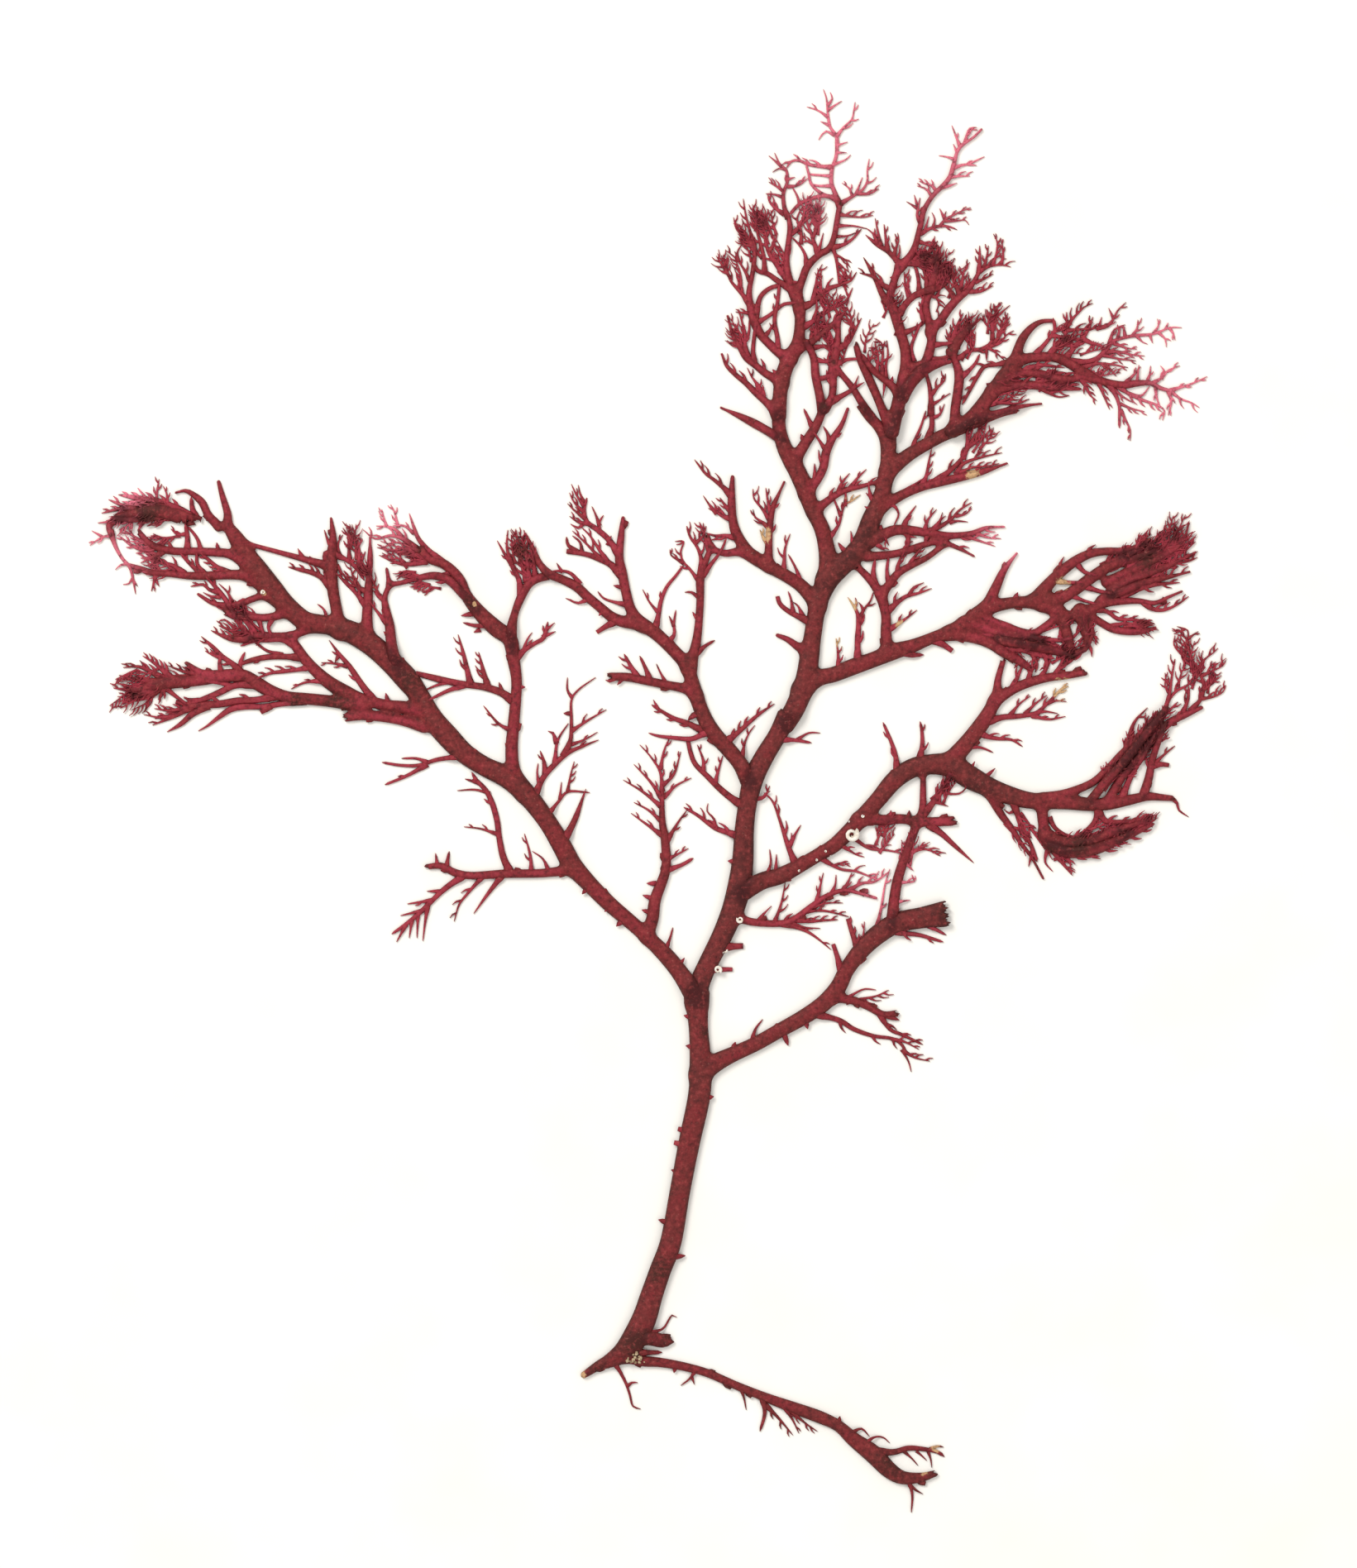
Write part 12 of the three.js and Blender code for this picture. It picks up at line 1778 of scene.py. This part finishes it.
def without_scraps(points, faces):
    """The faces that belong to a body of more than the least area, seen from above.

    A face has half the area of its corners' parallelogram, and each place has an upper and a lower one.
    """
    label = np.arange(len(points))
    edges = np.concatenate([faces[:, :2], faces[:, 1:]])
    while True:
        lowest = np.minimum(label[edges[:, 0]], label[edges[:, 1]])
        before = label.copy()
        np.minimum.at(label, edges[:, 0], lowest)
        np.minimum.at(label, edges[:, 1], lowest)
        label = label[label]
        if (label == before).all():
            break
    a, b, c = (points[faces[:, k], :2] for k in range(3))
    area = np.abs((b[:, 0] - a[:, 0]) * (c[:, 1] - a[:, 1]) - (b[:, 1] - a[:, 1]) * (c[:, 0] - a[:, 0])) / 4
    held = np.bincount(label[faces[:, 0]], weights=area, minlength=len(points))
    return faces[held[label[faces[:, 0]]] > LEAST_SCRAP]


def patches_of_age(points, places):
    """How strongly each point lies in one of the named places, from 0 to 1."""
    strength = np.zeros(len(points), np.float32)
    for x, y, radius in places:
        away = np.hypot(points[:, 0] - x, points[:, 1] - y) / radius
        strength = np.maximum(strength, np.exp(-away ** 2))
    return strength


def make_mesh(name, points, faces, values, material):
    """A smooth mesh object from arrays in millimetres, with named values at its points."""
    used = np.unique(faces)
    renumbered = np.zeros(len(points), int)
    renumbered[used] = np.arange(len(used))
    faces = renumbered[faces]
    mesh = bpy.data.meshes.new(name)
    mesh.vertices.add(len(used))
    mesh.vertices.foreach_set("co", (points[used] * MM).astype(np.float32).ravel())
    mesh.loops.add(faces.size)
    mesh.loops.foreach_set("vertex_index", faces.astype(np.int32).ravel())
    mesh.polygons.add(len(faces))
    mesh.polygons.foreach_set("loop_start", np.arange(0, faces.size, 3, dtype=np.int32))
    mesh.update(calc_edges=True)
    mesh.validate()
    mesh.polygons.foreach_set("use_smooth", np.ones(len(mesh.polygons), bool))
    for label, value in values.items():
        attribute = mesh.attributes.new(label, "FLOAT", "POINT")
        attribute.data.foreach_set("value", value[used].astype(np.float32))
    mesh.materials.append(material)
    piece = bpy.data.objects.new(name, mesh)
    bpy.context.scene.collection.objects.link(piece)
    return piece


def sheet_piece(name, sheet, cover, material):
    """The mesh of one sheet: its upper and lower faces, which meet at the rim."""
    inside = sheet.gap < 0
    along_x, along_y, x_number, y_number = rim_points(inside)
    count = int(inside.sum())
    numbers = np.full(inside.shape, -1)
    numbers[inside] = np.arange(count)
    rows, columns = np.nonzero(inside)
    share_x = sheet.gap[:, :-1][along_x] / (sheet.gap[:, :-1] - sheet.gap[:, 1:])[along_x]
    share_y = sheet.gap[:-1][along_y] / (sheet.gap[:-1] - sheet.gap[1:])[along_y]

    def at_rim(values):
        first = values[:, :-1][along_x] + (values[:, 1:] - values[:, :-1])[along_x] * share_x
        second = values[:-1][along_y] + (values[1:] - values[:-1])[along_y] * share_y
        return np.concatenate([first, second])

    def at_points(values, lower=None):
        return np.concatenate([values[inside], (values if lower is None else lower)[inside], at_rim(values)])

    x_of = np.broadcast_to(ORIGIN[0] + np.arange(inside.shape[1]) * STEP, inside.shape)
    y_of = np.broadcast_to(ORIGIN[1] + np.arange(inside.shape[0])[:, None] * STEP, inside.shape)
    height = np.concatenate([sheet.top[inside], sheet.bottom[inside], at_rim(sheet.rim)])
    points = np.column_stack([at_points(x_of), at_points(y_of), np.maximum(height, 0)])
    rim_start = 2 * count
    upper = faces_of(inside, numbers, x_number + rim_start, y_number + rim_start, True)
    lower = faces_of(inside, numbers + count, x_number + rim_start, y_number + rim_start, False)
    faces = without_scraps(points, np.concatenate([upper, lower]))
    if not len(faces):
        return None
    values = values_at(points, at_points(sheet.width), at_points(cover), at_points(sheet.tint))
    # How near the rim each point lies, for the painted shade there.
    values["edge"] = at_points(np.clip(1 + sheet.gap / EDGE_WIDTH, 0, 1))
    return make_mesh(name, points, faces, values, material)


# The section of a ribbon, from its left rim over the top to the right rim and back below.
SECTION = np.array([[1, 0], [0.55, 0.8], [-0.55, 0.8], [-1, 0], [-0.5, -0.6], [0.5, -0.6]])


def tube_faces(rings, sides):
    """Triangles of a closed tube with that many rings and sides."""
    faces = []
    for ring in range(rings - 1):
        for side in range(sides):
            a = ring * sides + side
            b = ring * sides + (side + 1) % sides
            faces += [[a, b, b + sides], [a, b + sides, a + sides]]
    end = (rings - 1) * sides
    for side in range(1, sides - 1):
        faces += [[0, side + 1, side], [end, end + side, end + side + 1]]
    return np.array(faces)


def way_out_of(along, below, root_height):
    """How far along its curve a ribbon comes out of the blade that bears it."""
    clear = np.nonzero(below < root_height)[0]
    edge = along[clear[0]] if len(clear) else DEEPEST_ROOT
    return min(DEEPEST_ROOT, edge, along[-1] * LONGEST_ROOT)


def climb(along, below, way_out, root_height, thickness):
    """A ribbon's heights along its curve, from its root to where it lies on what is below."""
    padded = np.pad(below, 1, mode="edge")
    below = np.maximum(below, (padded[:-2] + 2 * padded[1:-1] + padded[2:]) / 4)
    share = eased((along - way_out) / CLIMB_LENGTH)
    height = root_height + (below * PRESSED + thickness / 2 - root_height) * share
    return np.minimum(height, TALLEST - thickness / 2)


def to_the_left(xy):
    """The direction to the left hand at each point of a curve."""
    ahead = np.gradient(xy, axis=0)
    ahead /= np.maximum(np.hypot(*ahead.T), LEAST_LENGTH)[:, None]
    return np.column_stack([-ahead[:, 1], ahead[:, 0]])


class Ribbons:
    """Ribbons that are gathered for one limb, then made into one mesh."""

    def __init__(self):
        self.points = []
        self.faces = []
        self.width = []
        self.tint = []
        self.count = 0

    def cells(self, xy):
        return tuple(np.rint((xy - ORIGIN) / STEP).astype(int).T[::-1])

    def add(self, curve, root_height, tint, counted=True):
        """Adds a ribbon along a curve of x, y, width and distance, and returns its rings' heights."""
        xy, width, along = curve[:, :2], curve[:, 2], curve[:, 3] - curve[0, 3]
        thickness = RIBBON_THINNEST + RIBBON_THICKNESS_PER_WIDTH * width
        below = GROUND[self.cells(xy)]
        way_out = way_out_of(along, below, root_height)
        flare = np.minimum(width * FLARE_SHARE, FLARE_WIDTH)
        width = width + flare * np.exp(-np.maximum(along - way_out, 0) / FLARE_LENGTH)
        height = climb(along, below, way_out, root_height, thickness)
        left = to_the_left(xy)
        rings, sides = len(curve), len(SECTION)
        ring = np.empty((rings, sides, 3))
        ring[:, :, :2] = xy[:, None, :] + left[:, None, :] * (SECTION[:, 0] * width[:, None] / 2)[:, :, None]
        ring[:, :, 2] = np.maximum(height[:, None] + SECTION[:, 1] * thickness[:, None] / 2, 0)
        self.faces.append(tube_faces(rings, sides) + self.count)
        self.points.append(ring.reshape(-1, 3))
        self.count += rings * sides
        self.width.append(np.repeat(width, sides))
        self.tint.append(np.full(rings * sides, tint))
        self.settle(xy, left, width, along, height + thickness / 2, way_out)
        if counted:
            self.count_cover(xy, left, width, along, way_out + COUNTED_FROM)
        return height

    def spots(self, xy, left, width, along, start):
        """Cells under a ribbon from a distance along it, and each one's distance."""
        fine = np.arange(start, along[-1], SPOT_STEP)
        x, y, half = (np.interp(fine, along, v) for v in (xy[:, 0], xy[:, 1], width / 2))
        side_x, side_y = (np.interp(fine, along, left[:, k]) for k in (0, 1))
        across = [np.column_stack([x + side_x * half * s, y + side_y * half * s]) for s in SPOTS_ACROSS]
        return self.cells(np.concatenate(across)), np.tile(fine, len(SPOTS_ACROSS))

    def count_cover(self, xy, left, width, along, start):
        """Counts a ribbon once in each cell that it covers."""
        (rows, columns), _ = self.spots(xy, left, width, along, start)
        held = np.unique(rows * SHAPE[1] + columns)
        COVER.reshape(-1)[held] += 1

    def settle(self, xy, left, width, along, top, way_out):
        """Raises the ground to a ribbon's upper face, for what comes to lie on it."""
        (rows, columns), fine = self.spots(xy, left, width, along, way_out)
        np.maximum.at(GROUND, (rows, columns), np.interp(fine, along, top))

    def piece(self, name, material):
        points = np.concatenate(self.points)
        width = np.concatenate(self.width)
        values = values_at(points, width, look_up(SOFT_COVER, points), np.concatenate(self.tint))
        # The sides of the section, for the painted shade at a ribbon's rims.
        values["edge"] = np.tile(np.abs(SECTION[:, 0]) ** 2 * RIBBON_EDGE, len(points) // len(SECTION))
        return make_mesh(name, points, np.concatenate(self.faces), values, material)


def look_up(field, points):
    column = np.rint((points[:, 0] - ORIGIN[0]) / STEP).astype(int)
    row = np.rint((points[:, 1] - ORIGIN[1]) / STEP).astype(int)
    return field[row, column]


def ground_at(x, y):
    """The frond's upper face at a place, in millimetres."""
    column = int(round((x - ORIGIN[0]) / STEP))
    row = int(round((y - ORIGIN[1]) / STEP))
    return float(GROUND[row - 1:row + 2, column - 1:column + 2].mean())


def values_at(points, width, cover_there, tint):
    """What the material reads at each point."""
    return {
        "stout": np.clip((width - SLENDER) / STOUT_RANGE, 0, 1),
        # How many blades lie over one another here, for the painted shade of overlaps.
        "stack": np.clip((cover_there - 1.0) / STACK_RANGE, 0, 1),
        "tint": tint,
        "age": np.clip((OLD_UNDER - points[:, 1]) / OLD_RANGE, 0, 1),
        "bleach": patches_of_age(points, BLEACHED),
        "brown": patches_of_age(points, BROWNED + CUT_ENDS),
        "pale": patches_of_age(points, PALE),
    }


def ribbon_curve(path, slimmer=BLADE_SLIMMER):
    """A slender blade's curve with a fine tip."""
    curve = smoothed(path, 0.0)
    share = np.linspace(0, 1, len(curve))
    width = np.interp(curve[:, 3] / curve[-1, 3], np.linspace(0, 1, len(path)), path[:, 2])
    least = RIBBON_ROOT + (RIBBON_TIP - RIBBON_ROOT) * share
    curve[:, 2] = np.maximum(width * slimmer, least)
    if path[-1, 2] < CUT_FROM:
        curve[-1, 2] = RIBBON_TIP
    return curve


def height_at(curve, heights, share):
    return float(np.interp(share, curve[:, 3] / curve[-1, 3], heights))


def add_tooth(ribbons, stated, low, tint):
    """Adds a tooth with its own small teeth, from the height of its root."""
    _, hand, size, grown_tooth = stated
    curve = ribbon_curve(grown_tooth, TOOTH_SLIMMER)
    heights = ribbons.add(curve, low, tint)
    if size >= SUB_TOOTH_FROM:
        for place, small in sub_teeth(grown_tooth, hand, size):
            small_low = height_at(curve, heights, place)
            ribbons.add(ribbon_curve(small, TOOTH_SLIMMER), small_low, tint, counted=False)


def lay_ribbons(rows, grown, tints):
    """The ribbons of one limb: its slender blades, and the teeth of all of its blades."""
    ribbons = Ribbons()
    for row in (row for limb in rows for row in limb):
        rib = grown[id(row)]
        path = rib["path"]
        tint = tints() * 2 - 1
        slender = not is_broad(path)
        if slender:
            curve = ribbon_curve(path)
            heights = ribbons.add(curve, ground_at(*path[0, :2]) * BLADE_ROOT_HEIGHT + ROOT_LIFT, tint)
        for stub in rib.get("stubs", []):
            ribbons.add(ribbon_curve(stub), ground_at(*stub[0, :2]) * TOOTH_ROOT_HEIGHT, STUB_TINT)
        for stated in rib["teeth"]:
            if slender:
                low = height_at(curve, heights, stated[0])
            else:
                low = ground_at(*stated[3][0, :2]) * TOOTH_ROOT_HEIGHT + ROOT_LIFT
            add_tooth(ribbons, stated, low, tint)
    return ribbons


class Nodes:
    """A short way to write a material's nodes and links."""

    def __init__(self, name):
        self.material = bpy.data.materials.new(name)
        self.material.use_nodes = True
        self.tree = self.material.node_tree
        self.shader = self.tree.nodes["Principled BSDF"]

    def node(self, kind, inputs=None, **settings):
        made = self.tree.nodes.new(kind)
        for key, value in settings.items():
            setattr(made, key, value)
        for key, value in (inputs or {}).items():
            self.feed(made.inputs[key], value)
        return made

    def feed(self, socket, value):
        if isinstance(value, bpy.types.NodeSocket):
            self.tree.links.new(value, socket)
        else:
            socket.default_value = value

    def attribute(self, name):
        return self.node("ShaderNodeAttribute", attribute_name=name).outputs["Fac"]

    def math(self, operation, *values, clamp=False):
        made = self.node("ShaderNodeMath", operation=operation, use_clamp=clamp)
        for i, value in enumerate(values):
            self.feed(made.inputs[i], value)
        return made.outputs[0]

    def times(self, value, factor, clamp=False):
        return self.math("MULTIPLY", value, factor, clamp=clamp)

    def plus(self, value, other, clamp=False):
        return self.math("ADD", value, other, clamp=clamp)

    def past(self, value, middle, gain, clamp=False):
        """How far a value is past a middle, times a gain."""
        return self.times(self.math("SUBTRACT", value, middle), gain, clamp)

    def noise(self, name):
        where = self.node("ShaderNodeTexCoord").outputs["Object"]
        scale, detail, roughness = NOISES[name]
        inputs = {"Vector": where, "Scale": scale, "Detail": detail, "Roughness": roughness}
        return self.node("ShaderNodeTexNoise", inputs).outputs["Fac"]

    def mix(self, share, first, second):
        made = self.node("ShaderNodeMix", data_type="RGBA")
        self.feed(made.inputs["Factor"], share)
        colours = [socket for socket in made.inputs if socket.type == "RGBA"]
        self.feed(colours[0], first)
        self.feed(colours[1], second)
        return [socket for socket in made.outputs if socket.type == "RGBA"][0]

    def ramp(self, value, stops):
        made = self.node("ShaderNodeValToRGB", {"Fac": value})
        elements = made.color_ramp.elements
        for i, (place, colour) in enumerate(stops):
            element = elements[i] if i < 2 else elements.new(place)
            element.position = place
            element.color = colour
        return made.outputs["Color"]

    def finish(self, body, roughness, bump=None):
        """Sets the colour and roughness, and a bump as strength, depth in metres and height."""
        self.feed(self.shader.inputs["Base Color"], body)
        self.feed(self.shader.inputs["Roughness"], roughness)
        if bump:
            inputs = dict(zip(("Strength", "Distance", "Height"), bump))
            self.feed(self.shader.inputs["Normal"], self.node("ShaderNodeBump", inputs).outputs["Normal"])
        return self.material


def frond_shade(nodes):
    """How old the frond looks, 0 to 1: older where stout or low down; painted shade darkens an edge."""
    slender = nodes.math("SUBTRACT", 1.0, nodes.attribute("stout"), clamp=True)
    shade = nodes.plus(nodes.times(nodes.attribute("stout"), SHADE_BY["stout"]),
                       nodes.times(nodes.attribute("tint"), SHADE_BY["tint"]))
    for name in ("mottle", "blotch"):
        shade = nodes.plus(shade, nodes.past(nodes.noise(name), 0.5, SHADE_BY[name]))
    shade = nodes.plus(shade, nodes.times(nodes.times(nodes.attribute("age"), slender), SHADE_BY["age"]))
    # Painted shade: darker at the rims, where the rounded blades slope away from the light.
    return nodes.plus(shade, nodes.times(nodes.attribute("edge"), SHADE_BY["edge"]), clamp=True)


def aged(nodes, body):
    """The colour with its patches of brown and bleached frond, each with a ragged outline."""
    ragged = nodes.past(nodes.noise("ragged"), 0.5, RAGGED_GAIN)
    for name, strength, colour in AGE_PATCHES:
        spread = nodes.plus(nodes.times(nodes.attribute(name), PATCH_GAIN), ragged)
        body = nodes.mix(nodes.past(spread, PATCH_FROM, strength, clamp=True), body, colour)
    return body


def speckled(nodes, body):
    """The colour with its grit, specks and dust."""
    for name, middle, gain, base, colour in SPECKLES:
        share = nodes.plus(nodes.past(nodes.noise(name), middle, gain), base, clamp=True)
        body = nodes.mix(share, body, colour)
    return body


def frond_material():
    """Wine red, pale and pink in fine branchlets, with painted shade on overlaps and on stout rims."""
    nodes = Nodes("dried_red_frond")
    grain = nodes.noise("grain")
    body = nodes.ramp(frond_shade(nodes), FROND_REDS)
    thin = nodes.math("SUBTRACT", 1.0, nodes.times(nodes.attribute("stout"), WIDTH_GAIN), clamp=True)
    faded = nodes.times(nodes.times(nodes.attribute("pale"), PALE_GAIN), thin, clamp=True)
    body = nodes.mix(faded, body, YOUNG_PINK)
    # Painted shade where blades lie on blades.
    body = nodes.mix(nodes.times(nodes.attribute("stack"), OVERLAP_SHADE_STRENGTH), body, OVERLAP_PAINTED_SHADE)
    body = aged(nodes, body)
    # Painted shade at the rims of stout blades.
    rim = nodes.times(nodes.times(nodes.attribute("edge"), nodes.attribute("stout")), RIM_SHADE_STRENGTH)
    body = speckled(nodes, nodes.mix(rim, body, RIM_PAINTED_SHADE))
    nodes.shader.inputs["Specular IOR Level"].default_value = FROND_SPECULAR
    roughness = nodes.plus(nodes.times(grain, GRAIN_ROUGHNESS), FROND_ROUGHNESS)
    wrinkle = nodes.times(nodes.noise("wrinkle"), WRINKLE_HEIGHT)
    height = nodes.plus(wrinkle, nodes.times(grain, GRAIN_HEIGHT))
    return nodes.finish(body, roughness, [*FROND_BUMP, height])


def shell_material():
    """Chalky white tube with growth lines and a warm stain."""
    nodes = Nodes("chalky_tube")
    body = nodes.ramp(nodes.noise("stain"), SHELL_WHITES)
    # A darker middle of the coil, and painted shade on the mouth's inner rim and end.
    body = nodes.mix(nodes.attribute("mouth"), body, SHELL_DARK_MIDDLE_AND_MOUTH_SHADE)
    return nodes.finish(body, SHELL_ROUGHNESS, [*SHELL_BUMP, nodes.noise("growth")])


def sand_material():
    nodes = Nodes("sand_grains")
    return nodes.finish(nodes.ramp(nodes.noise("sand"), SAND_COLOURS), SAND_ROUGHNESS)


def floor_material():
    nodes = Nodes("pale_floor")
    return nodes.finish(nodes.ramp(nodes.noise("floor"), FLOOR_GREYS), FLOOR_ROUGHNESS)


def shell_rings(across, hand, mouth):
    """A tube's rings from the middle of the coil to its mouth: way out, radius, angle and darkness."""
    steps = round(SHELL_TURNS * SHELL_STEPS_PER_TURN)
    rings = []
    for i in range(steps + 1):
        turns = SHELL_TURNS * i / steps
        outwards = across * (SHELL_COIL[0] + SHELL_COIL[1] * math.sqrt(turns / SHELL_TURNS))
        radius = across * (SHELL_TUBE[0] + SHELL_TUBE[1] * turns / SHELL_TURNS)
        radius *= 1 + SHELL_RING_DEPTH * math.cos(turns * SHELL_RING_PACE)
        dark = max(0.0, SHELL_DARK[0] - turns * SHELL_DARK[1])
        rings.append([outwards, radius, mouth + hand * 2 * math.pi * (turns - SHELL_TURNS), dark])
    outwards, radius, angle, _ = rings[-1]
    rings += [[outwards, radius * share, angle + hand * turn, dark] for share, turn, dark in SHELL_MOUTH]
    return rings


def coiled_shell(name, x, y, across, hand, mouth, material):
    """A tube coiled flat on the frond, with growth rings and a mouth whose dark end inside is painted shade.
    """
    floor = ground_at(x, y)
    rings = shell_rings(across, hand, mouth)
    points = []
    for outwards, radius, angle, _ in rings:
        centre = [x + math.cos(angle) * outwards, y + math.sin(angle) * outwards]
        for side in range(SHELL_SIDES):
            turn = 2 * math.pi * side / SHELL_SIDES
            reach = math.cos(turn) * radius
            height = max(floor - SHELL_SUNK, floor + radius * SHELL_LIFT + math.sin(turn) * radius)
            points.append([centre[0] + math.cos(angle) * reach, centre[1] + math.sin(angle) * reach, height])
    faces = tube_faces(len(rings), SHELL_SIDES)
    if hand > 0:
        faces = faces[:, ::-1]
    # How dark each ring is: the coil's middle, and painted shade inside the mouth.
    dark = np.repeat(np.array([ring[3] for ring in rings], np.float32), SHELL_SIDES)
    return make_mesh(name, np.array(points), faces, {"mouth": dark}, material)


def chance(pair, random):
    """A least value and what chance adds to it."""
    return pair[0] + pair[1] * random()


def grain_at(x, y, size, random):
    """The corners of one grain: a ring below, a ring above, then the foot and the top."""
    floor = ground_at(x, y)
    corners = []
    for tilt in (-GRAIN_TILT, GRAIN_TILT):
        for side in range(GRAIN_SIDES):
            turn = 2 * math.pi * (side + random() * GRAIN_SCATTER) / GRAIN_SIDES
            reach = size * math.cos(tilt) * chance(GRAIN_REACH, random)
            height = floor + size * (GRAIN_MIDDLE + math.sin(tilt))
            corners.append([x + math.cos(turn) * reach, y + math.sin(turn) * reach, height])
    return [*corners, [x, y, max(0.0, floor - size * GRAIN_FOOT)], [x, y, floor + size * GRAIN_TOP]]


def sand_patch(material):
    """Grains caught in the foot, in one mesh."""
    random = Random(SAND_SEED)
    points = []
    faces = []
    for _ in range(SAND_COUNT):
        angle = 2 * math.pi * random()
        away = math.sqrt(random())
        x = SAND_AT[0] + math.cos(angle) * away * SAND_SPREAD[0]
        y = SAND_AT[1] + math.sin(angle) * away * SAND_SPREAD[1]
        first = len(points)
        points += grain_at(x, y, SAND_GRAIN * chance(GRAIN_SIZE, random), random)
        foot = first + 2 * GRAIN_SIDES
        for side in range(GRAIN_SIDES):
            a, b = first + side, first + (side + 1) % GRAIN_SIDES
            above_a, above_b = a + GRAIN_SIDES, b + GRAIN_SIDES
            faces += [[a, b, above_b], [a, above_b, above_a], [b, a, foot], [above_a, above_b, foot + 1]]
    return make_mesh("sand", np.array(points), np.array(faces), {}, material)


def add_camera():
    camera = bpy.data.objects.new("camera", bpy.data.cameras.new("camera"))
    bpy.context.scene.collection.objects.link(camera)
    camera.data.lens = LENS
    camera.data.sensor_width = SENSOR
    camera.data.sensor_fit = "AUTO"
    height = PHOTO_PIXELS[1] * MM_PER_PIXEL * LENS / SENSOR
    camera.location = (VIEW_CENTRE[0] * MM, VIEW_CENTRE[1] * MM, height * MM)
    camera.data.clip_start, camera.data.clip_end = CLIP
    bpy.context.scene.camera = camera


def add_light(name, place, size, energy):
    light = bpy.data.objects.new(name, bpy.data.lights.new(name, "AREA"))
    light.data.energy = energy
    light.data.size = size
    light.location = place
    light.rotation_euler = (-light.location).to_track_quat("-Z", "Y").to_euler()
    bpy.context.scene.collection.objects.link(light)


def add_stage():
    mesh = bpy.data.meshes.new("floor")
    corners = [(FLOOR_HALF * x, FLOOR_HALF * y, 0) for x, y in ((-1, -1), (1, -1), (1, 1), (-1, 1))]
    mesh.from_pydata(corners, [], [(0, 1, 2, 3)])
    mesh.materials.append(floor_material())
    floor = bpy.data.objects.new("floor", mesh)
    floor.location.z = -FLOOR_BELOW * MM
    bpy.context.scene.collection.objects.link(floor)
    world = bpy.data.worlds.new("soft_room")
    world.use_nodes = True
    world.node_tree.nodes["Background"].inputs["Color"].default_value = (1, 1, 1, 1)
    world.node_tree.nodes["Background"].inputs["Strength"].default_value = ROOM_LIGHT
    bpy.context.scene.world = world
    for light in LIGHTS:
        add_light(*light)
    bpy.context.scene.view_settings.view_transform = "Standard"


# The field's corner and shape, the frond's upper face so far, and how many blades cover each place.
ORIGIN, SHAPE = field_frame()
GROUND = np.zeros(SHAPE, np.float32)
COVER = np.zeros(SHAPE, np.float32)
grown = grown_rows()
tints = Random(RANDOM_SEED + 1)
sheets = {}
for limb_name, limb_rows in LIMBS.items():
    for layer, sheet in enumerate(lay_limb(limb_rows, grown, SHAPE, tints)):
        GROUND = raise_sheet(sheet, GROUND)
        COVER += sheet.gap < 0
        sheets[f"frond_{limb_name}_{layer}"] = sheet
CUT_ENDS = [spot for spot in map(free_end, grown.values()) if spot]
for rib in grown.values():
    if is_broad(rib["path"]):
        rib["stubs"] = stubs_of(rib["path"], tints)
tangles = {"right": [matted_rows(TANGLES_RIGHT, tints)], "left": [matted_rows(TANGLES_LEFT, tints)]}
for limbs in tangles.values():
    for row in limbs[0]:
        sprig = midrib(row)
        grown[id(row)] = {"path": sprig, "teeth": comb(row, sprig, tints)}
ribbons = {f"branchlets_{name}": lay_ribbons(rows, grown, tints) for name, rows in LIMBS.items()}
ribbons.update({f"tangles_{name}": lay_ribbons(rows, grown, tints) for name, rows in tangles.items()})
# The cover count evened out, for the painted shade where blades overlap.
SOFT_COVER = box_blur(COVER, COVER_CELLS, 1)

frond = frond_material()
pieces = [sheet_piece(name, sheet, np.maximum(SOFT_COVER, 1), frond) for name, sheet in sheets.items()]
pieces += [gathered.piece(name, frond) for name, gathered in ribbons.items()]
for piece in pieces:
    if piece is not None:
        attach(piece, "root")
        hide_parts("thallus")

chalk = shell_material()
for number, (node, *shell) in enumerate(SHELLS):
    piece = coiled_shell(f"tube_shell_{number}", *shell, chalk)
    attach(piece, "root")
    if node:
        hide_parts(node)

sand = sand_patch(sand_material())
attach(sand, "root")

add_camera()
add_stage()
